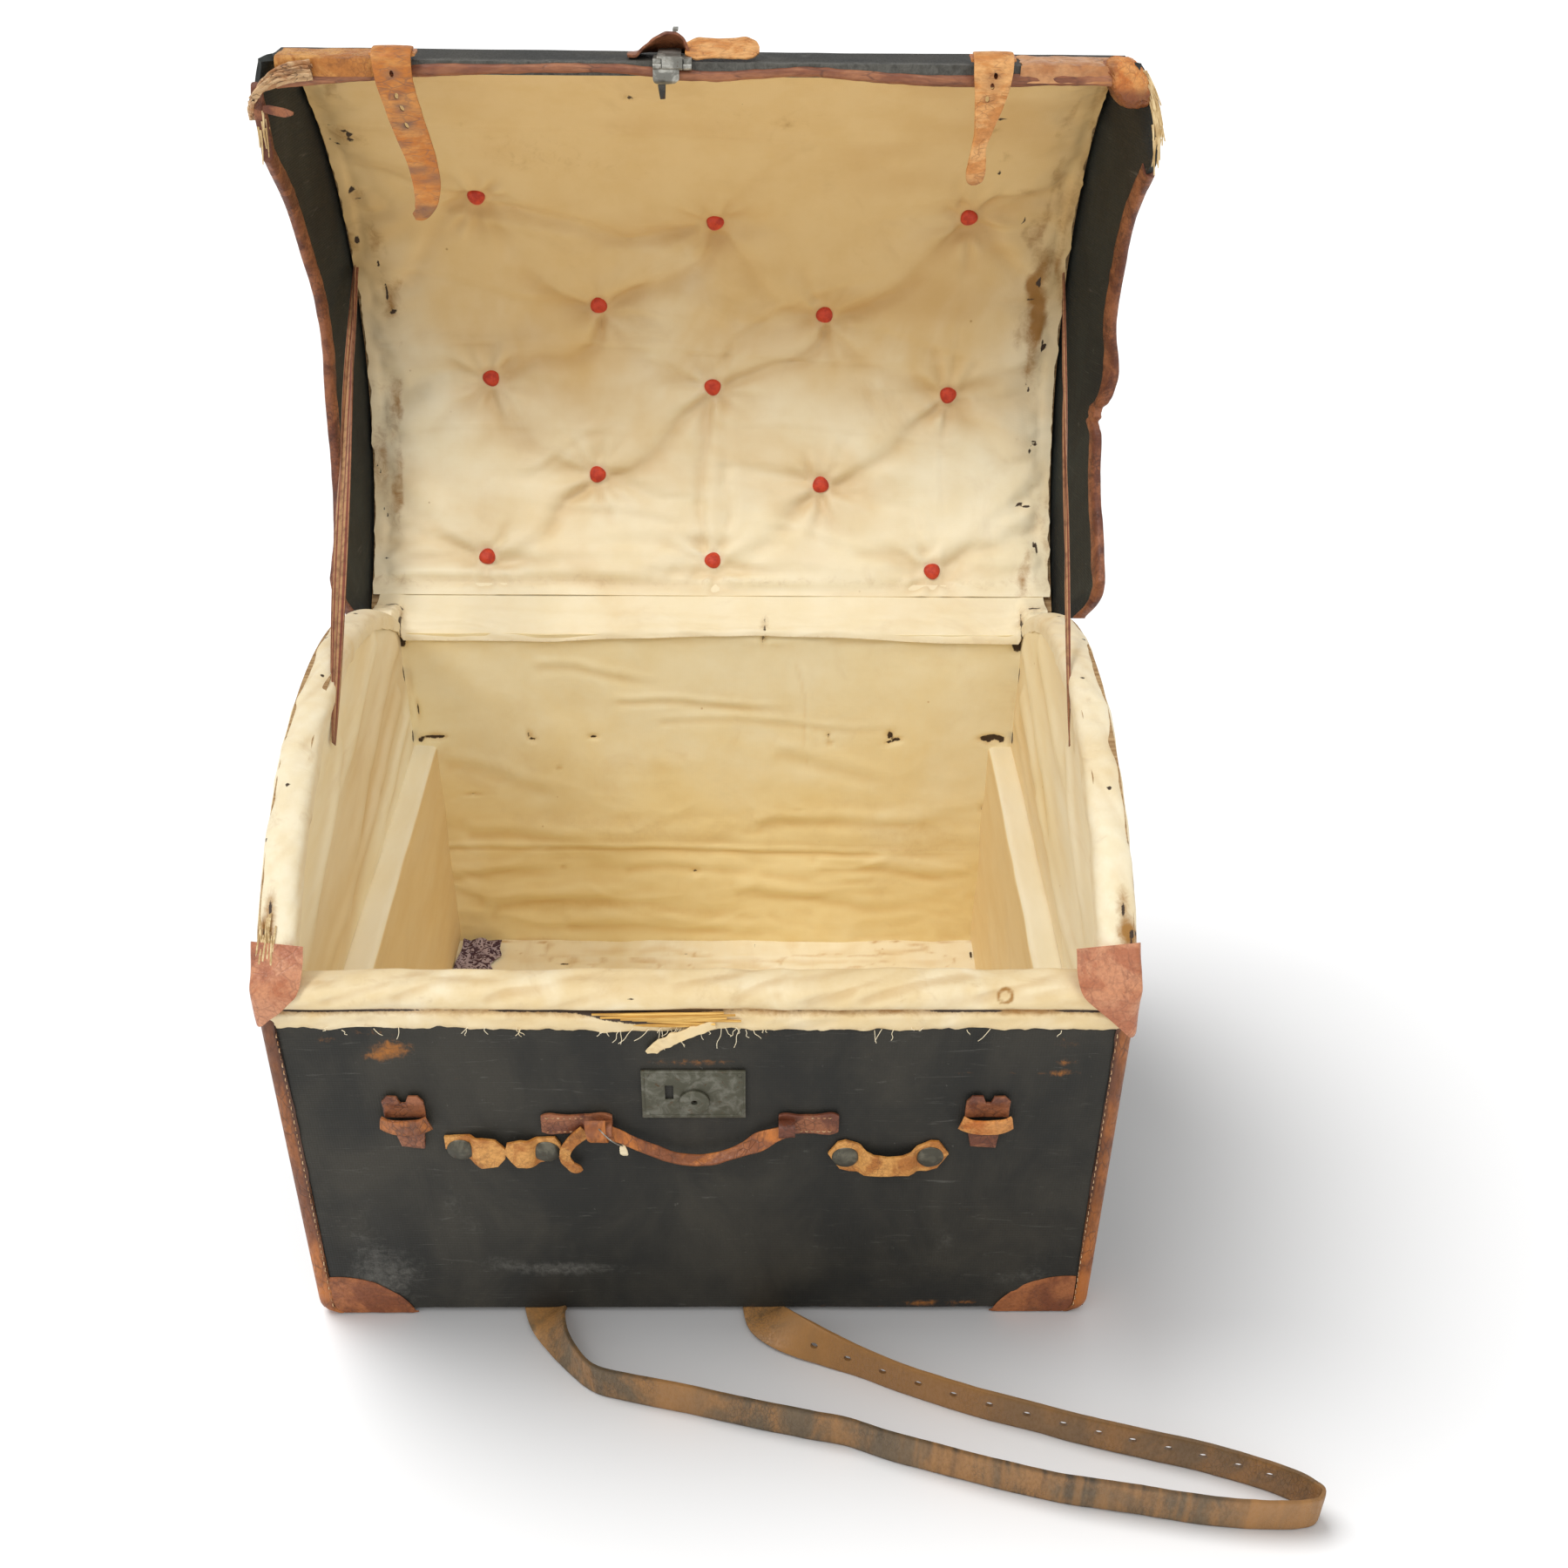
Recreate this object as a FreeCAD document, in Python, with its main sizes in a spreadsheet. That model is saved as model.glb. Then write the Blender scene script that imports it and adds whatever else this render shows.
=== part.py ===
import FreeCAD, Part
import Sketcher
import math
import os
import re

# Dome top travelling trunk: a cane and board body covered in waxed canvas, lined with glazed
# cotton, with leather edges, a domed lid on two butt hinges, a hasp lock, a carrying handle,
# billets and chapes for two straps, and one loose girth strap.
# Frame: millimetres, +X to the right, +Y to the back, +Z up, origin on the ground under the
# middle of the trunk. The lid is drawn closed and stored open, turned back about its hinge.

V = FreeCAD.Vector
doc = FreeCAD.newDocument("DomeTopTrunk")

# ---------------------------------------------------------------- driving dimensions
DIMENSIONS = {
    "width": 610,              # outside width of the canvas body
    "depth": 464,              # outside depth of the canvas body
    "ground_gap": 5,           # height of the runners under the body
    "canvas": 1.5,             # canvas skin
    "leather": 1.5,            # leather edging
    "bottom_board": 6.5,       # floor board
    "floor_cloth": 2,          # floor lining
    "wall_cloth": 2.5,         # wall lining
    "end_core": 20.5,          # thickness of the end walls' cane core
    "front_core": 17.5,        # thickness of the front wall's core
    "back_core": 11,           # thickness of the back wall's core
    "front_height": 340,       # top of the front rim
    "back_height": 370,        # top of the back wall
    "canvas_top": 308,         # where the canvas gives way to the rim cloth in front
    "rim_cloth": 3,            # padded cloth over the rim
    "rim_drop": 38,            # how far the rim cloth comes down the end walls
    "front_rim_inside": 300,   # lower edge of the front rim cloth inside the trunk
    "arch_radius": 322.5,      # arched top of the end walls
    "arch_y": 13.5,
    "arch_z": 136,
    "ledge_height": 250,       # tray ledge along both end walls
    "ledge_width": 21.5,
    "lid_radius": 300,         # inside of the lid's cane core
    "lid_y": 6,
    "lid_z": 180,
    "lid_core": 6,
    "lid_cloth": 3.5,          # padded lining of the dome
    "lid_front": 237,          # inside of the lid's front wall, measured forward
    "lid_edge": 314,           # lower edge of the lid's front wall when closed
    "lid_back_edge": 377,      # lower edge of the lid at the hinges when closed
    "lid_half_width": 309,
    "lid_cloth_half_width": 307,
    "lid_cloth_back": 222,
    "front_cloth": 1.5,        # lining of the lid's front wall
    "skirt_radius": 222,       # lower edge of the lid's end skirts
    "skirt_flare_left": 13,    # how far the skirts lean out at their lower edges
    "skirt_flare_right": 26,
    "skirt_wall": 5,
    "skirt_front_z": 306,
    "skirt_back_y": 214,
    "skirt_back_z": 328,
    "hinge_y": 240,
    "hinge_z": 372,
    "hinge_x": 190,
    "hinge_width": 50,
    "lid_open": 90.5,          # degrees from closed to the stays' full length
    "strap_width": 32,
    "strap_thick": 4,
    "plate_left": 42,
    "plate_right": 33,
    "plate_bottom": 218,
    "plate_top": 264,
    "plate_thick": 2,
    "tab_axis_y": 248,
    "tab_axis_z": 310.5,
    "tab_left_length": 117,
    "tab_right_length": 88,
    "hasp_axis_y": 242.5,
    "hasp_axis_z": 309.5,
    "hasp_length": 67,
    "button_radius": 6.5,
}
SHEET = doc.addObject("Spreadsheet::Sheet", "Sizes")
for row, (alias, number) in enumerate(DIMENSIONS.items(), start=1):
    SHEET.set(f"A{row}", alias)
    SHEET.set(f"B{row}", str(number))
    SHEET.setAlias(f"B{row}", alias)
doc.recompute()

WORD = re.compile(r"[a-z][a-z_]*")
X_AXIS = FreeCAD.Rotation(V(0, 1, 0), 90)
Y_AXIS = FreeCAD.Rotation(V(1, 0, 0), -90)
Z_AXIS = FreeCAD.Rotation()
AXES = {"x": X_AXIS, "y": Y_AXIS, "z": Z_AXIS}
SIDES = (("left", -1), ("right", 1))
PARTS = []


def cells(text):
    """Turn the names in a formula into references to the sheet."""
    return WORD.sub(lambda word: "Sizes." + word.group(), str(text))


def size(alias):
    """The value of one driving dimension."""
    return float(SHEET.get(alias))


def mirrored(span, side):
    """A span along X on the right (side 1) or its mirror image on the left (side -1)."""
    low, high = span
    return (low, high) if side > 0 else (f"-({high})", f"-({low})")


def slab(name, x, y, z):
    """A block between two formulas along each axis."""
    block = doc.addObject("Part::Box", name)
    for length, base, (low, high) in (("Length", "x", x), ("Width", "y", y), ("Height", "z", z)):
        block.setExpression(length, cells(f"({high}) - ({low})"))
        block.setExpression(f"Placement.Base.{base}", cells(low))
    return block


def rod(name, axis, start, length, radius):
    """A cylinder from a start point (three formulas) along an axis."""
    cylinder = doc.addObject("Part::Cylinder", name)
    cylinder.Placement = FreeCAD.Placement(V(), AXES[axis])
    cylinder.setExpression("Radius", cells(radius))
    cylinder.setExpression("Height", cells(length))
    for base, formula in zip("xyz", start):
        cylinder.setExpression(f"Placement.Base.{base}", cells(formula))
    return cylinder


def arch(name, radius, y="arch_y", z="arch_z"):
    """A full cylinder across the trunk, whose top is an arch of the body or the lid."""
    return rod(name, "x", ("-400", y, z), "800", radius)


def cut(name, base, *tools):
    """The base less its tools."""
    result = doc.addObject("Part::Cut", name)
    result.Base = base
    result.Tool = tools[0] if len(tools) == 1 else fuse(name + "_cutters", *tools)
    return result


def common(name, first, second):
    """What two objects share."""
    result = doc.addObject("Part::Common", name)
    result.Base = first
    result.Tool = second
    return result


def fuse(name, *shapes):
    """One object out of several that touch or overlap."""
    result = doc.addObject("Part::MultiFuse", name)
    result.Shapes = list(shapes)
    result.Refine = True
    return result


def group(name, *solids):
    """Several separate solids that share one node."""
    result = doc.addObject("Part::Compound", name)
    result.Links = list(solids)
    return result


def custom(name, shape):
    """A piece whose outline neither a primitive nor a sketch gives."""
    feature = doc.addObject("Part::Feature", name)
    feature.Shape = shape
    return feature


HINGE = V(0, size("hinge_y"), size("hinge_z"))
OPEN = FreeCAD.Placement(V(), FreeCAD.Rotation(V(1, 0, 0), -size("lid_open")), HINGE)


def keep(label, feature, on_lid=False):
    """Name a finished piece, and swing it open with the lid where it belongs to the lid."""
    feature.Label = label
    if on_lid:
        feature.Placement = OPEN.multiply(feature.Placement)
    PARTS.append(feature)
    return feature


def sketched(name, plane, outline, depth, offset="0", holes=()):
    """A PartDesign body: a straight-sided outline on an origin plane, padded, with round holes."""
    body = doc.addObject("PartDesign::Body", name)
    origin_plane = next(item for item in body.Origin.OriginFeatures if item.Role == plane)
    sketch = body.newObject("Sketcher::SketchObject", name + "_outline")
    sketch.AttachmentSupport = [(origin_plane, "")]
    sketch.MapMode = "FlatFace"
    sketch.setExpression("AttachmentOffset.Base.z", cells(offset))
    count = len(outline)
    ring = [V(math.cos(math.tau * k / count), math.sin(math.tau * k / count), 0) for k in range(count)]
    for index, corner in enumerate(ring):
        sketch.addGeometry(Part.LineSegment(corner, ring[(index + 1) % count]))
    for index in range(count):
        sketch.addConstraint(Sketcher.Constraint("Coincident", index, 2, (index + 1) % count, 1))
    for index, (across, up) in enumerate(outline):
        for kind, start, formula in (("DistanceX", ring[index].x, across), ("DistanceY", ring[index].y, up)):
            number = sketch.addConstraint(Sketcher.Constraint(kind, -1, 1, index, 1, start))
            sketch.setExpression(f"Constraints[{number}]", cells(formula))
    for across, up, radius in holes:
        circle = sketch.addGeometry(Part.Circle(V(), V(0, 0, 1), 1))
        for kind, formula in (("DistanceX", across), ("DistanceY", up)):
            number = sketch.addConstraint(Sketcher.Constraint(kind, -1, 1, circle, 3, 1))
            sketch.setExpression(f"Constraints[{number}]", cells(formula))
        number = sketch.addConstraint(Sketcher.Constraint("Radius", circle, 1))
        sketch.setExpression(f"Constraints[{number}]", cells(radius))
    pad = body.newObject("PartDesign::Pad", name + "_pad")
    pad.Profile = sketch
    pad.setExpression("Length", cells(depth))
    return body


# ---------------------------------------------------------------- body: boards and cane cores
INSIDE_X = "width / 2 - canvas - end_core"
CORE_X = "width / 2 - canvas"
CORE_Y = "depth / 2 - canvas"
FRONT_IN = "-depth / 2 + canvas + front_core"
BACK_IN = "depth / 2 - canvas - back_core"
FLOOR_Z = "ground_gap + canvas + bottom_board"
TOP = "470"


def across(half):
    """A span centred on the trunk."""
    return (f"-({half})", half)


keep("floor_board", slab("floor_board", across(CORE_X), across(CORE_Y), ("ground_gap + canvas", FLOOR_Z)))
keep("base_runners", group("base_runners", *[
    slab(f"runner_{number}", (f"{place} - 18", f"{place} + 18"), across("depth / 2 - 14"), ("0", "ground_gap"))
    for number, place in enumerate((-215, 0, 215))]))

LOCK_X = ("-plate_left + 6", "plate_right - 6")
LOCK_Z = ("plate_bottom + 6", "plate_top - 6")
LOCK_BACK = "-depth / 2 + 12"
keep("front_core", cut(
    "front_core",
    slab("front_block", across(INSIDE_X), (f"-({CORE_Y})", FRONT_IN), (FLOOR_Z, "front_height - rim_cloth")),
    slab("lock_recess", LOCK_X, ("-depth / 2", LOCK_BACK), LOCK_Z)))
keep("back_core", slab("back_core", across(INSIDE_X), (BACK_IN, CORE_Y), (FLOOR_Z, "back_height")))

end_cores = {}
for word, side in SIDES:
    end_cores[side] = keep(f"{word}_end_core", common(
        f"{word}_end_core",
        slab(f"{word}_end_block", mirrored((INSIDE_X, CORE_X), side), across(CORE_Y), (FLOOR_Z, TOP)),
        arch(f"{word}_end_arch", "arch_radius - rim_cloth")))

# ---------------------------------------------------------------- body: canvas outside
LOW_Z = "ground_gap"


def below_rim(name, x, y, bottom):
    """The part of a wall skin that lies under the rim cloth."""
    low = common(name + "_low", slab(name + "_low_block", x, y, (bottom, TOP)),
                 arch(name + "_low_arch", "arch_radius - rim_drop"))
    return fuse(name, low, slab(name + "_foot", x, y, (bottom, "canvas_top")))


canvas_front = cut(
    "canvas_front",
    slab("canvas_front_sheet", across("width / 2"), ("-depth / 2", f"-({CORE_Y})"), (LOW_Z, "canvas_top")),
    slab("canvas_lock_window", LOCK_X, ("-depth / 2", f"-({CORE_Y})"), LOCK_Z))
canvas_back = slab("canvas_back", across("width / 2"), (CORE_Y, "depth / 2"), (LOW_Z, "back_height"))
canvas_ends = [below_rim(f"canvas_{word}", mirrored((CORE_X, "width / 2"), side), across(CORE_Y), LOW_Z)
               for word, side in SIDES]
keep("canvas_cover", fuse("canvas_cover", canvas_front, canvas_back, *canvas_ends))
keep("canvas_base", slab("canvas_base", across(CORE_X), across(CORE_Y), (LOW_Z, "ground_gap + canvas")))

# ---------------------------------------------------------------- body: cloth rims
FRONT_CLOTH_Y = f"{FRONT_IN} + wall_cloth"
BACK_CLOTH_Y = f"{BACK_IN} - wall_cloth"
INNER_X = f"{INSIDE_X} - wall_cloth"

keep("rim_front", cut(
    "rim_front",
    slab("rim_front_block", across(INSIDE_X), ("-depth / 2", FRONT_CLOTH_Y), ("front_rim_inside", "front_height")),
    slab("rim_front_core", across("width"), (f"-({CORE_Y})", FRONT_IN), ("0", "front_height - rim_cloth")),
    slab("rim_front_canvas", across("width"), ("-depth / 2", f"-({CORE_Y})"), ("0", "canvas_top"))))

for word, side in SIDES:
    over = common(f"rim_{word}_over",
                  slab(f"rim_{word}_wide", mirrored((INSIDE_X, "width / 2"), side),
                       ("-depth / 2", CORE_Y), ("front_rim_inside", TOP)),
                  arch(f"rim_{word}_arch", "arch_radius"))
    inner = common(f"rim_{word}_inner",
                   slab(f"rim_{word}_leg", mirrored((INNER_X, INSIDE_X), side),
                        (FRONT_CLOTH_Y, BACK_CLOTH_Y), ("front_rim_inside", TOP)),
                   arch(f"rim_{word}_inner_arch", "arch_radius"))
    core = common(f"rim_{word}_core",
                  slab(f"rim_{word}_core_block", mirrored((INSIDE_X, CORE_X), side), across(CORE_Y), ("0", TOP)),
                  arch(f"rim_{word}_core_arch", "arch_radius - rim_cloth"))
    keep(f"rim_{word}", cut(
        f"rim_{word}", fuse(f"rim_{word}_whole", over, inner), core,
        arch(f"rim_{word}_below", "arch_radius - rim_drop"),
        slab(f"rim_{word}_foot", across("width"), across("depth"), ("0", "canvas_top"))))

# ---------------------------------------------------------------- body: lining and tray ledges
CLOTH_FLOOR = f"{FLOOR_Z} + floor_cloth"
keep("lining_floor", slab("lining_floor", across(INSIDE_X), (FRONT_IN, BACK_IN), (FLOOR_Z, CLOTH_FLOOR)))
keep("lining_front", slab("lining_front", across(INSIDE_X), (FRONT_IN, FRONT_CLOTH_Y),
                          (CLOTH_FLOOR, "front_rim_inside")))
keep("lining_back", slab("lining_back", across(INSIDE_X), (BACK_CLOTH_Y, BACK_IN), (CLOTH_FLOOR, "back_height")))

LEDGE_IN = f"{INNER_X} - ledge_width"
for word, side in SIDES:
    keep(f"ledge_board_{word}", slab(
        f"ledge_board_{word}", mirrored((f"{LEDGE_IN} + wall_cloth", INSIDE_X), side),
        (FRONT_CLOTH_Y, BACK_CLOTH_Y), (CLOTH_FLOOR, "ledge_height - wall_cloth")))
    face = slab(f"ledge_face_{word}", mirrored((LEDGE_IN, f"{LEDGE_IN} + wall_cloth"), side),
                (FRONT_CLOTH_Y, BACK_CLOTH_Y), (CLOTH_FLOOR, "ledge_height"))
    top = slab(f"ledge_top_{word}", mirrored((LEDGE_IN, INSIDE_X), side),
               (FRONT_CLOTH_Y, BACK_CLOTH_Y), ("ledge_height - wall_cloth", "ledge_height"))
    upper = below_rim(f"lining_upper_{word}", mirrored((INNER_X, INSIDE_X), side),
                      (FRONT_CLOTH_Y, BACK_CLOTH_Y), "ledge_height")
    keep(f"lining_{word}", fuse(f"lining_{word}", face, top, upper))

# ---------------------------------------------------------------- body: leather edges and corners
OUT_X = "width / 2 + leather"
OUT_Y = "depth / 2 + leather"
PATCH_BOTTOM = "303"


def corner_strip(word, side, back):
    """A leather strip folded around one upright corner."""
    name = f"corner_{word}_{'back' if back else 'front'}"
    end = "back_height - 4" if back else PATCH_BOTTOM
    face_y = ("depth / 2", OUT_Y) if back else (f"-({OUT_Y})", "-depth / 2")
    side_y = ("depth / 2 - 22", "depth / 2") if back else ("-depth / 2", "-depth / 2 + 22")
    return fuse(name, slab(name + "_face", mirrored(("width / 2 - 12", OUT_X), side), face_y, ("1", end)),
                slab(name + "_side", mirrored(("width / 2", OUT_X), side), side_y, ("1", end)))


def foot_patch(word, side, back):
    """A leather patch with a rounded edge on a bottom corner of the front or back."""
    name = f"foot_patch_{word}_{'back' if back else 'front'}"
    y = ("depth / 2", OUT_Y) if back else (f"-({OUT_Y})", "-depth / 2")
    plate = slab(name + "_plate", mirrored(("width / 2 - 77", "width / 2 - 12"), side), y, ("1", "43"))
    centre = f"{side} * (width / 2 - 17)"
    rounding = rod(name + "_round", "y", (centre, "-depth", "-20"), "2 * depth", "62")
    return common(name, plate, rounding)


keep("corner_bindings_front", group("corner_bindings_front", *[corner_strip(w, s, False) for w, s in SIDES]))
keep("corner_bindings_back", group("corner_bindings_back", *[corner_strip(w, s, True) for w, s in SIDES]))
keep("bottom_corner_patches", group("bottom_corner_patches", *[
    foot_patch(word, side, back) for word, side in SIDES for back in (False, True)]))

caps = []
for word, side in SIDES:
    reach = "-depth / 2 + 40"
    face = slab(f"cap_{word}_face", mirrored(("width / 2 - 43", INSIDE_X), side), (f"-({OUT_Y})", "-depth / 2"),
                (PATCH_BOTTOM, "front_height + leather"))
    corner = common(f"cap_{word}_corner",
                    slab(f"cap_{word}_corner_block", mirrored((INSIDE_X, OUT_X), side), (f"-({OUT_Y})", "-depth / 2"),
                         (PATCH_BOTTOM, TOP)),
                    arch(f"cap_{word}_corner_arch", "arch_radius + leather"))
    cheek = common(f"cap_{word}_cheek",
                   slab(f"cap_{word}_cheek_block", mirrored(("width / 2", OUT_X), side), ("-depth / 2", reach),
                        (PATCH_BOTTOM, TOP)),
                   arch(f"cap_{word}_cheek_arch", "arch_radius"))
    crown = cut(f"cap_{word}_crown",
                common(f"cap_{word}_crown_common",
                       slab(f"cap_{word}_crown_block", mirrored((INSIDE_X, OUT_X), side), (f"-({OUT_Y})", reach),
                            (PATCH_BOTTOM, TOP)),
                       arch(f"cap_{word}_crown_arch", "arch_radius + leather")),
                common(f"cap_{word}_under",
                       slab(f"cap_{word}_under_block", across("width / 2"), across("depth / 2"), ("0", TOP)),
                       arch(f"cap_{word}_under_arch", "arch_radius")))
    lip = slab(f"cap_{word}_lip", mirrored(("width / 2 - 43", INSIDE_X), side), (f"-({OUT_Y})", FRONT_CLOTH_Y),
               ("front_height", "front_height + leather"))
    caps.append(fuse(f"cap_{word}", face, corner, cheek, crown, lip))
keep("top_corner_patches", group("top_corner_patches", *caps))

# ---------------------------------------------------------------- lock on the front wall
PLATE_FACE = "-depth / 2 - plate_thick"
plate = cut(
    "lock_plate_slotted",
    slab("lock_plate_sheet", ("-plate_left", "plate_right"), (PLATE_FACE, "-depth / 2"), ("plate_bottom", "plate_top")),
    slab("lock_slot", ("-25", "-19"), ("-depth", "0"), ("236", "250")),
    rod("lock_keyhole", "y", ("-4", "-depth", "235"), "depth", "2.2"))
keep("lock_plate", plate)
keep("lock_case", cut(
    "lock_case",
    slab("lock_case_block", LOCK_X, ("-depth / 2", LOCK_BACK), LOCK_Z),
    slab("lock_case_hollow", ("-plate_left + 7.2", "plate_right - 7.2"), ("-depth / 2", "-depth / 2 + 10.8"),
         ("plate_bottom + 7.2", "plate_top - 7.2"))))
keep("lock_bolt", fuse(
    "lock_bolt",
    slab("bolt_nose", ("-18", "8"), ("-depth / 2 + 0.3", "-depth / 2 + 2.2"), ("239", "247")),
    slab("bolt_tail", ("0", "8"), ("-depth / 2 + 2.2", "-depth / 2 + 9"), ("237", "249"))))
keep("keyhole_boss", cut(
    "keyhole_boss",
    rod("boss_disc", "y", ("-4", f"{PLATE_FACE} - 2.5", "235"), "2.5", "11"),
    rod("boss_hole", "y", ("-4", "-depth", "235"), "depth", "2.2")))

# ---------------------------------------------------------------- carrying handle
HANDLE_Z = "212"
HANDLE_Y = "-depth / 2 - 7"


def handle_tab(name, x, loop):
    """A stitched leather tab whose inner end is rolled into a loop for the handle."""
    plate_part = slab(name + "_plate", x, ("-depth / 2 - 2.5", "-depth / 2"), ("201", "223"))
    roll = rod(name + "_roll", "x", (loop, HANDLE_Y, HANDLE_Z), "12", "6.5")
    web = slab(name + "_web", (loop, f"{loop} + 12"), (HANDLE_Y, "-depth / 2"), ("205.5", "218.5"))
    bore = rod(name + "_bore", "x", (f"{loop} - 1", HANDLE_Y, HANDLE_Z), "14", "4.1")
    return cut(name, fuse(name + "_whole", plate_part, roll, web), bore)


keep("handle_tabs", group("handle_tabs", handle_tab("handle_tab_left", ("-116", "-64"), "-76"),
                          handle_tab("handle_tab_right", ("57", "101"), "57")))
grip_ring = cut("grip_ring",
                rod("grip_outer", "y", ("-3.5", "-depth / 2 - 12", "236"), "9.5", "59"),
                rod("grip_inner", "y", ("-3.5", "-depth / 2 - 12", "236"), "9.5", "50"))
grip_bow = common("grip_bow", grip_ring,
                  slab("grip_window", ("-60", "53"), ("-depth", "0"), ("150", "216")))
keep("handle_strap", fuse(
    "handle_strap", grip_bow,
    rod("grip_left_end", "x", ("-78", HANDLE_Y, HANDLE_Z), "23", "4"),
    rod("grip_right_end", "x", ("48", HANDLE_Y, HANDLE_Z), "23", "4")))

# ---------------------------------------------------------------- strap loops, chapes and keepers
LOOP_TOP = "-depth / 2 - 7.5"


def loop_half(name, x_flat, x_bridge, z):
    """A leather loop end: flat under its rivet, then stood off the wall to let a strap pass."""
    flat = slab(name + "_flat", x_flat, ("-depth / 2 - 2.5", "-depth / 2"), z)
    riser_x = (x_bridge[0], f"{x_bridge[0]} + 2.5") if float(x_bridge[0]) > float(x_flat[0]) \
        else (f"{x_bridge[1]} - 2.5", x_bridge[1])
    riser = slab(name + "_riser", riser_x, (LOOP_TOP, "-depth / 2"), z)
    bridge = slab(name + "_bridge", x_bridge, (LOOP_TOP, "-depth / 2 - 5"), z)
    return fuse(name, flat, riser, bridge)


right_outer = loop_half("loop_right_a", ("94", "121"), ("118.5", "139"), ("163", "194"))
right_inner = loop_half("loop_right_b", ("156", "183"), ("139", "158.5"), ("163", "194"))
keep("belt_loop_right", fuse("belt_loop_right", right_outer, right_inner))
left_outer = loop_half("loop_left_a", ("-188", "-164"), ("-166.5", "-147"), ("171", "200"))
left_inner = loop_half("loop_left_b", ("-127", "-103"), ("-144", "-124.5"), ("169", "198"))
keep("belt_loop_left", group("belt_loop_left", left_outer, left_inner))

rivets = []
for number, (x, z) in enumerate(((-177, 186), (-114, 184), (107, 178), (170, 178))):
    dome = rod(f"rivet_dome_{number}", "y", (x, "-depth / 2 - 5.5", z), "3", "10")
    ball = doc.addObject("Part::Sphere", f"rivet_ball_{number}")
    ball.setExpression("Radius", cells("18"))
    for base, formula in (("x", x), ("y", "-depth / 2 - 5.5 + 18"), ("z", z)):
        ball.setExpression(f"Placement.Base.{base}", cells(formula))
    rivets.append(common(f"rivet_{number}", dome, ball))
keep("belt_loop_rivets", group("belt_loop_rivets", *rivets))

for word, low, high in (("left", -232, -196), ("right", 190, 228)):
    pad = sketched(f"chape_{word}", "XZ_Plane", (
        (f"{low + 3}", "188"), (f"{high - 3}", "188"), (f"{high}", "206"), (f"{high}", "240"),
        (f"{(low + high) / 2 + 3}", "240"), (f"{(low + high) / 2}", "233"), (f"{(low + high) / 2 - 3}", "240"),
        (f"{low}", "240"), (f"{low}", "206")), "2.5", "depth / 2")
    keep(f"chape_{word}", pad)
    keeper_x = (low - 3.5, high + 3.5)
    hoop = slab(f"keeper_{word}_hoop", keeper_x, ("-depth / 2 - 10", "-depth / 2"), ("207", "222"))
    hollow = slab(f"keeper_{word}_hollow", (keeper_x[0] + 2.5, keeper_x[1] - 2.5),
                  ("-depth / 2 - 7.7", "0"), ("200", "230"))
    keep(f"keeper_{word}", cut(f"keeper_{word}", hoop, hollow))

# ---------------------------------------------------------------- lid: dome, front wall and lining
DOME = ("lid_y", "lid_z")


def lid_solid(name, radius, front, half):
    """A solid of the closed lid's side shape: domed over a low front wall, open to the hinges."""
    mass = fuse(name + "_mass",
                slab(name + "_mass_front", across(half), (f"-({front})", "lid_y"), ("lid_edge", "520")),
                slab(name + "_mass_back", across(half), ("lid_y", "340"), ("lid_back_edge", "520")))
    return common(name, mass, arch(name + "_dome", radius, *DOME))


def lid_hollow(name, radius, front):
    """The space inside the lid, taken well below its edges."""
    return common(name, slab(name + "_room", across("400"), (f"-({front})", "340"), ("100", "520")),
                  arch(name + "_dome", radius, *DOME))


OUT_RADIUS = "lid_radius + lid_core"
OUT_FRONT = "lid_front + lid_core"
SKIRT_X = "lid_half_width + skirt_wall"
keep("lid_core", cut("lid_core", lid_solid("lid_core_solid", OUT_RADIUS, OUT_FRONT, "lid_half_width"),
                     lid_hollow("lid_core_hollow", "lid_radius", "lid_front")), on_lid=True)
keep("lid_canvas", cut(
    "lid_canvas", lid_solid("lid_canvas_solid", f"{OUT_RADIUS} + canvas", f"{OUT_FRONT} + canvas", SKIRT_X),
    lid_hollow("lid_canvas_hollow", OUT_RADIUS, OUT_FRONT)), on_lid=True)
keep("lid_lining", cut(
    "lid_lining",
    common("lid_lining_solid", lid_solid("lid_lining_mass", "lid_radius", "lid_front", "lid_cloth_half_width"),
           slab("lid_lining_reach", across("400"), ("-300", "lid_cloth_back"), ("lid_edge + leather + 9", "520"))),
    lid_hollow("lid_lining_hollow", "lid_radius - lid_cloth", "lid_front - front_cloth")), on_lid=True)

# Tufting buttons in five rows, in threes and twos: place along X, degrees around the dome.
TUFTS = ((-194, 113.8), (4, 109.3), (218, 110.6), (-99, 94.1), (99, 92.7), (-198, 81.3), (0, 80), (212, 78.9),
         (-105, 64.8), (98, 63.2), (-205, 50.2), (0, 49.7), (200, 47.9))
buttons = []
for number, (x, angle) in enumerate(TUFTS):
    turn = FreeCAD.Rotation(V(1, 0, 0), angle - 90)
    outward = turn.multVec(V(0, 0, 1))
    seat = V(0, size("lid_y"), size("lid_z")) + outward * (size("lid_radius") - size("lid_cloth") - 3.6)
    button = doc.addObject("Part::Cylinder", f"button_{number}")
    button.setExpression("Radius", cells("button_radius"))
    button.setExpression("Height", cells("3.5"))
    button.Placement = FreeCAD.Placement(V(x, seat.y, seat.z), turn)
    buttons.append(button)
keep("lid_buttons", group("lid_buttons", *buttons), on_lid=True)

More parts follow.
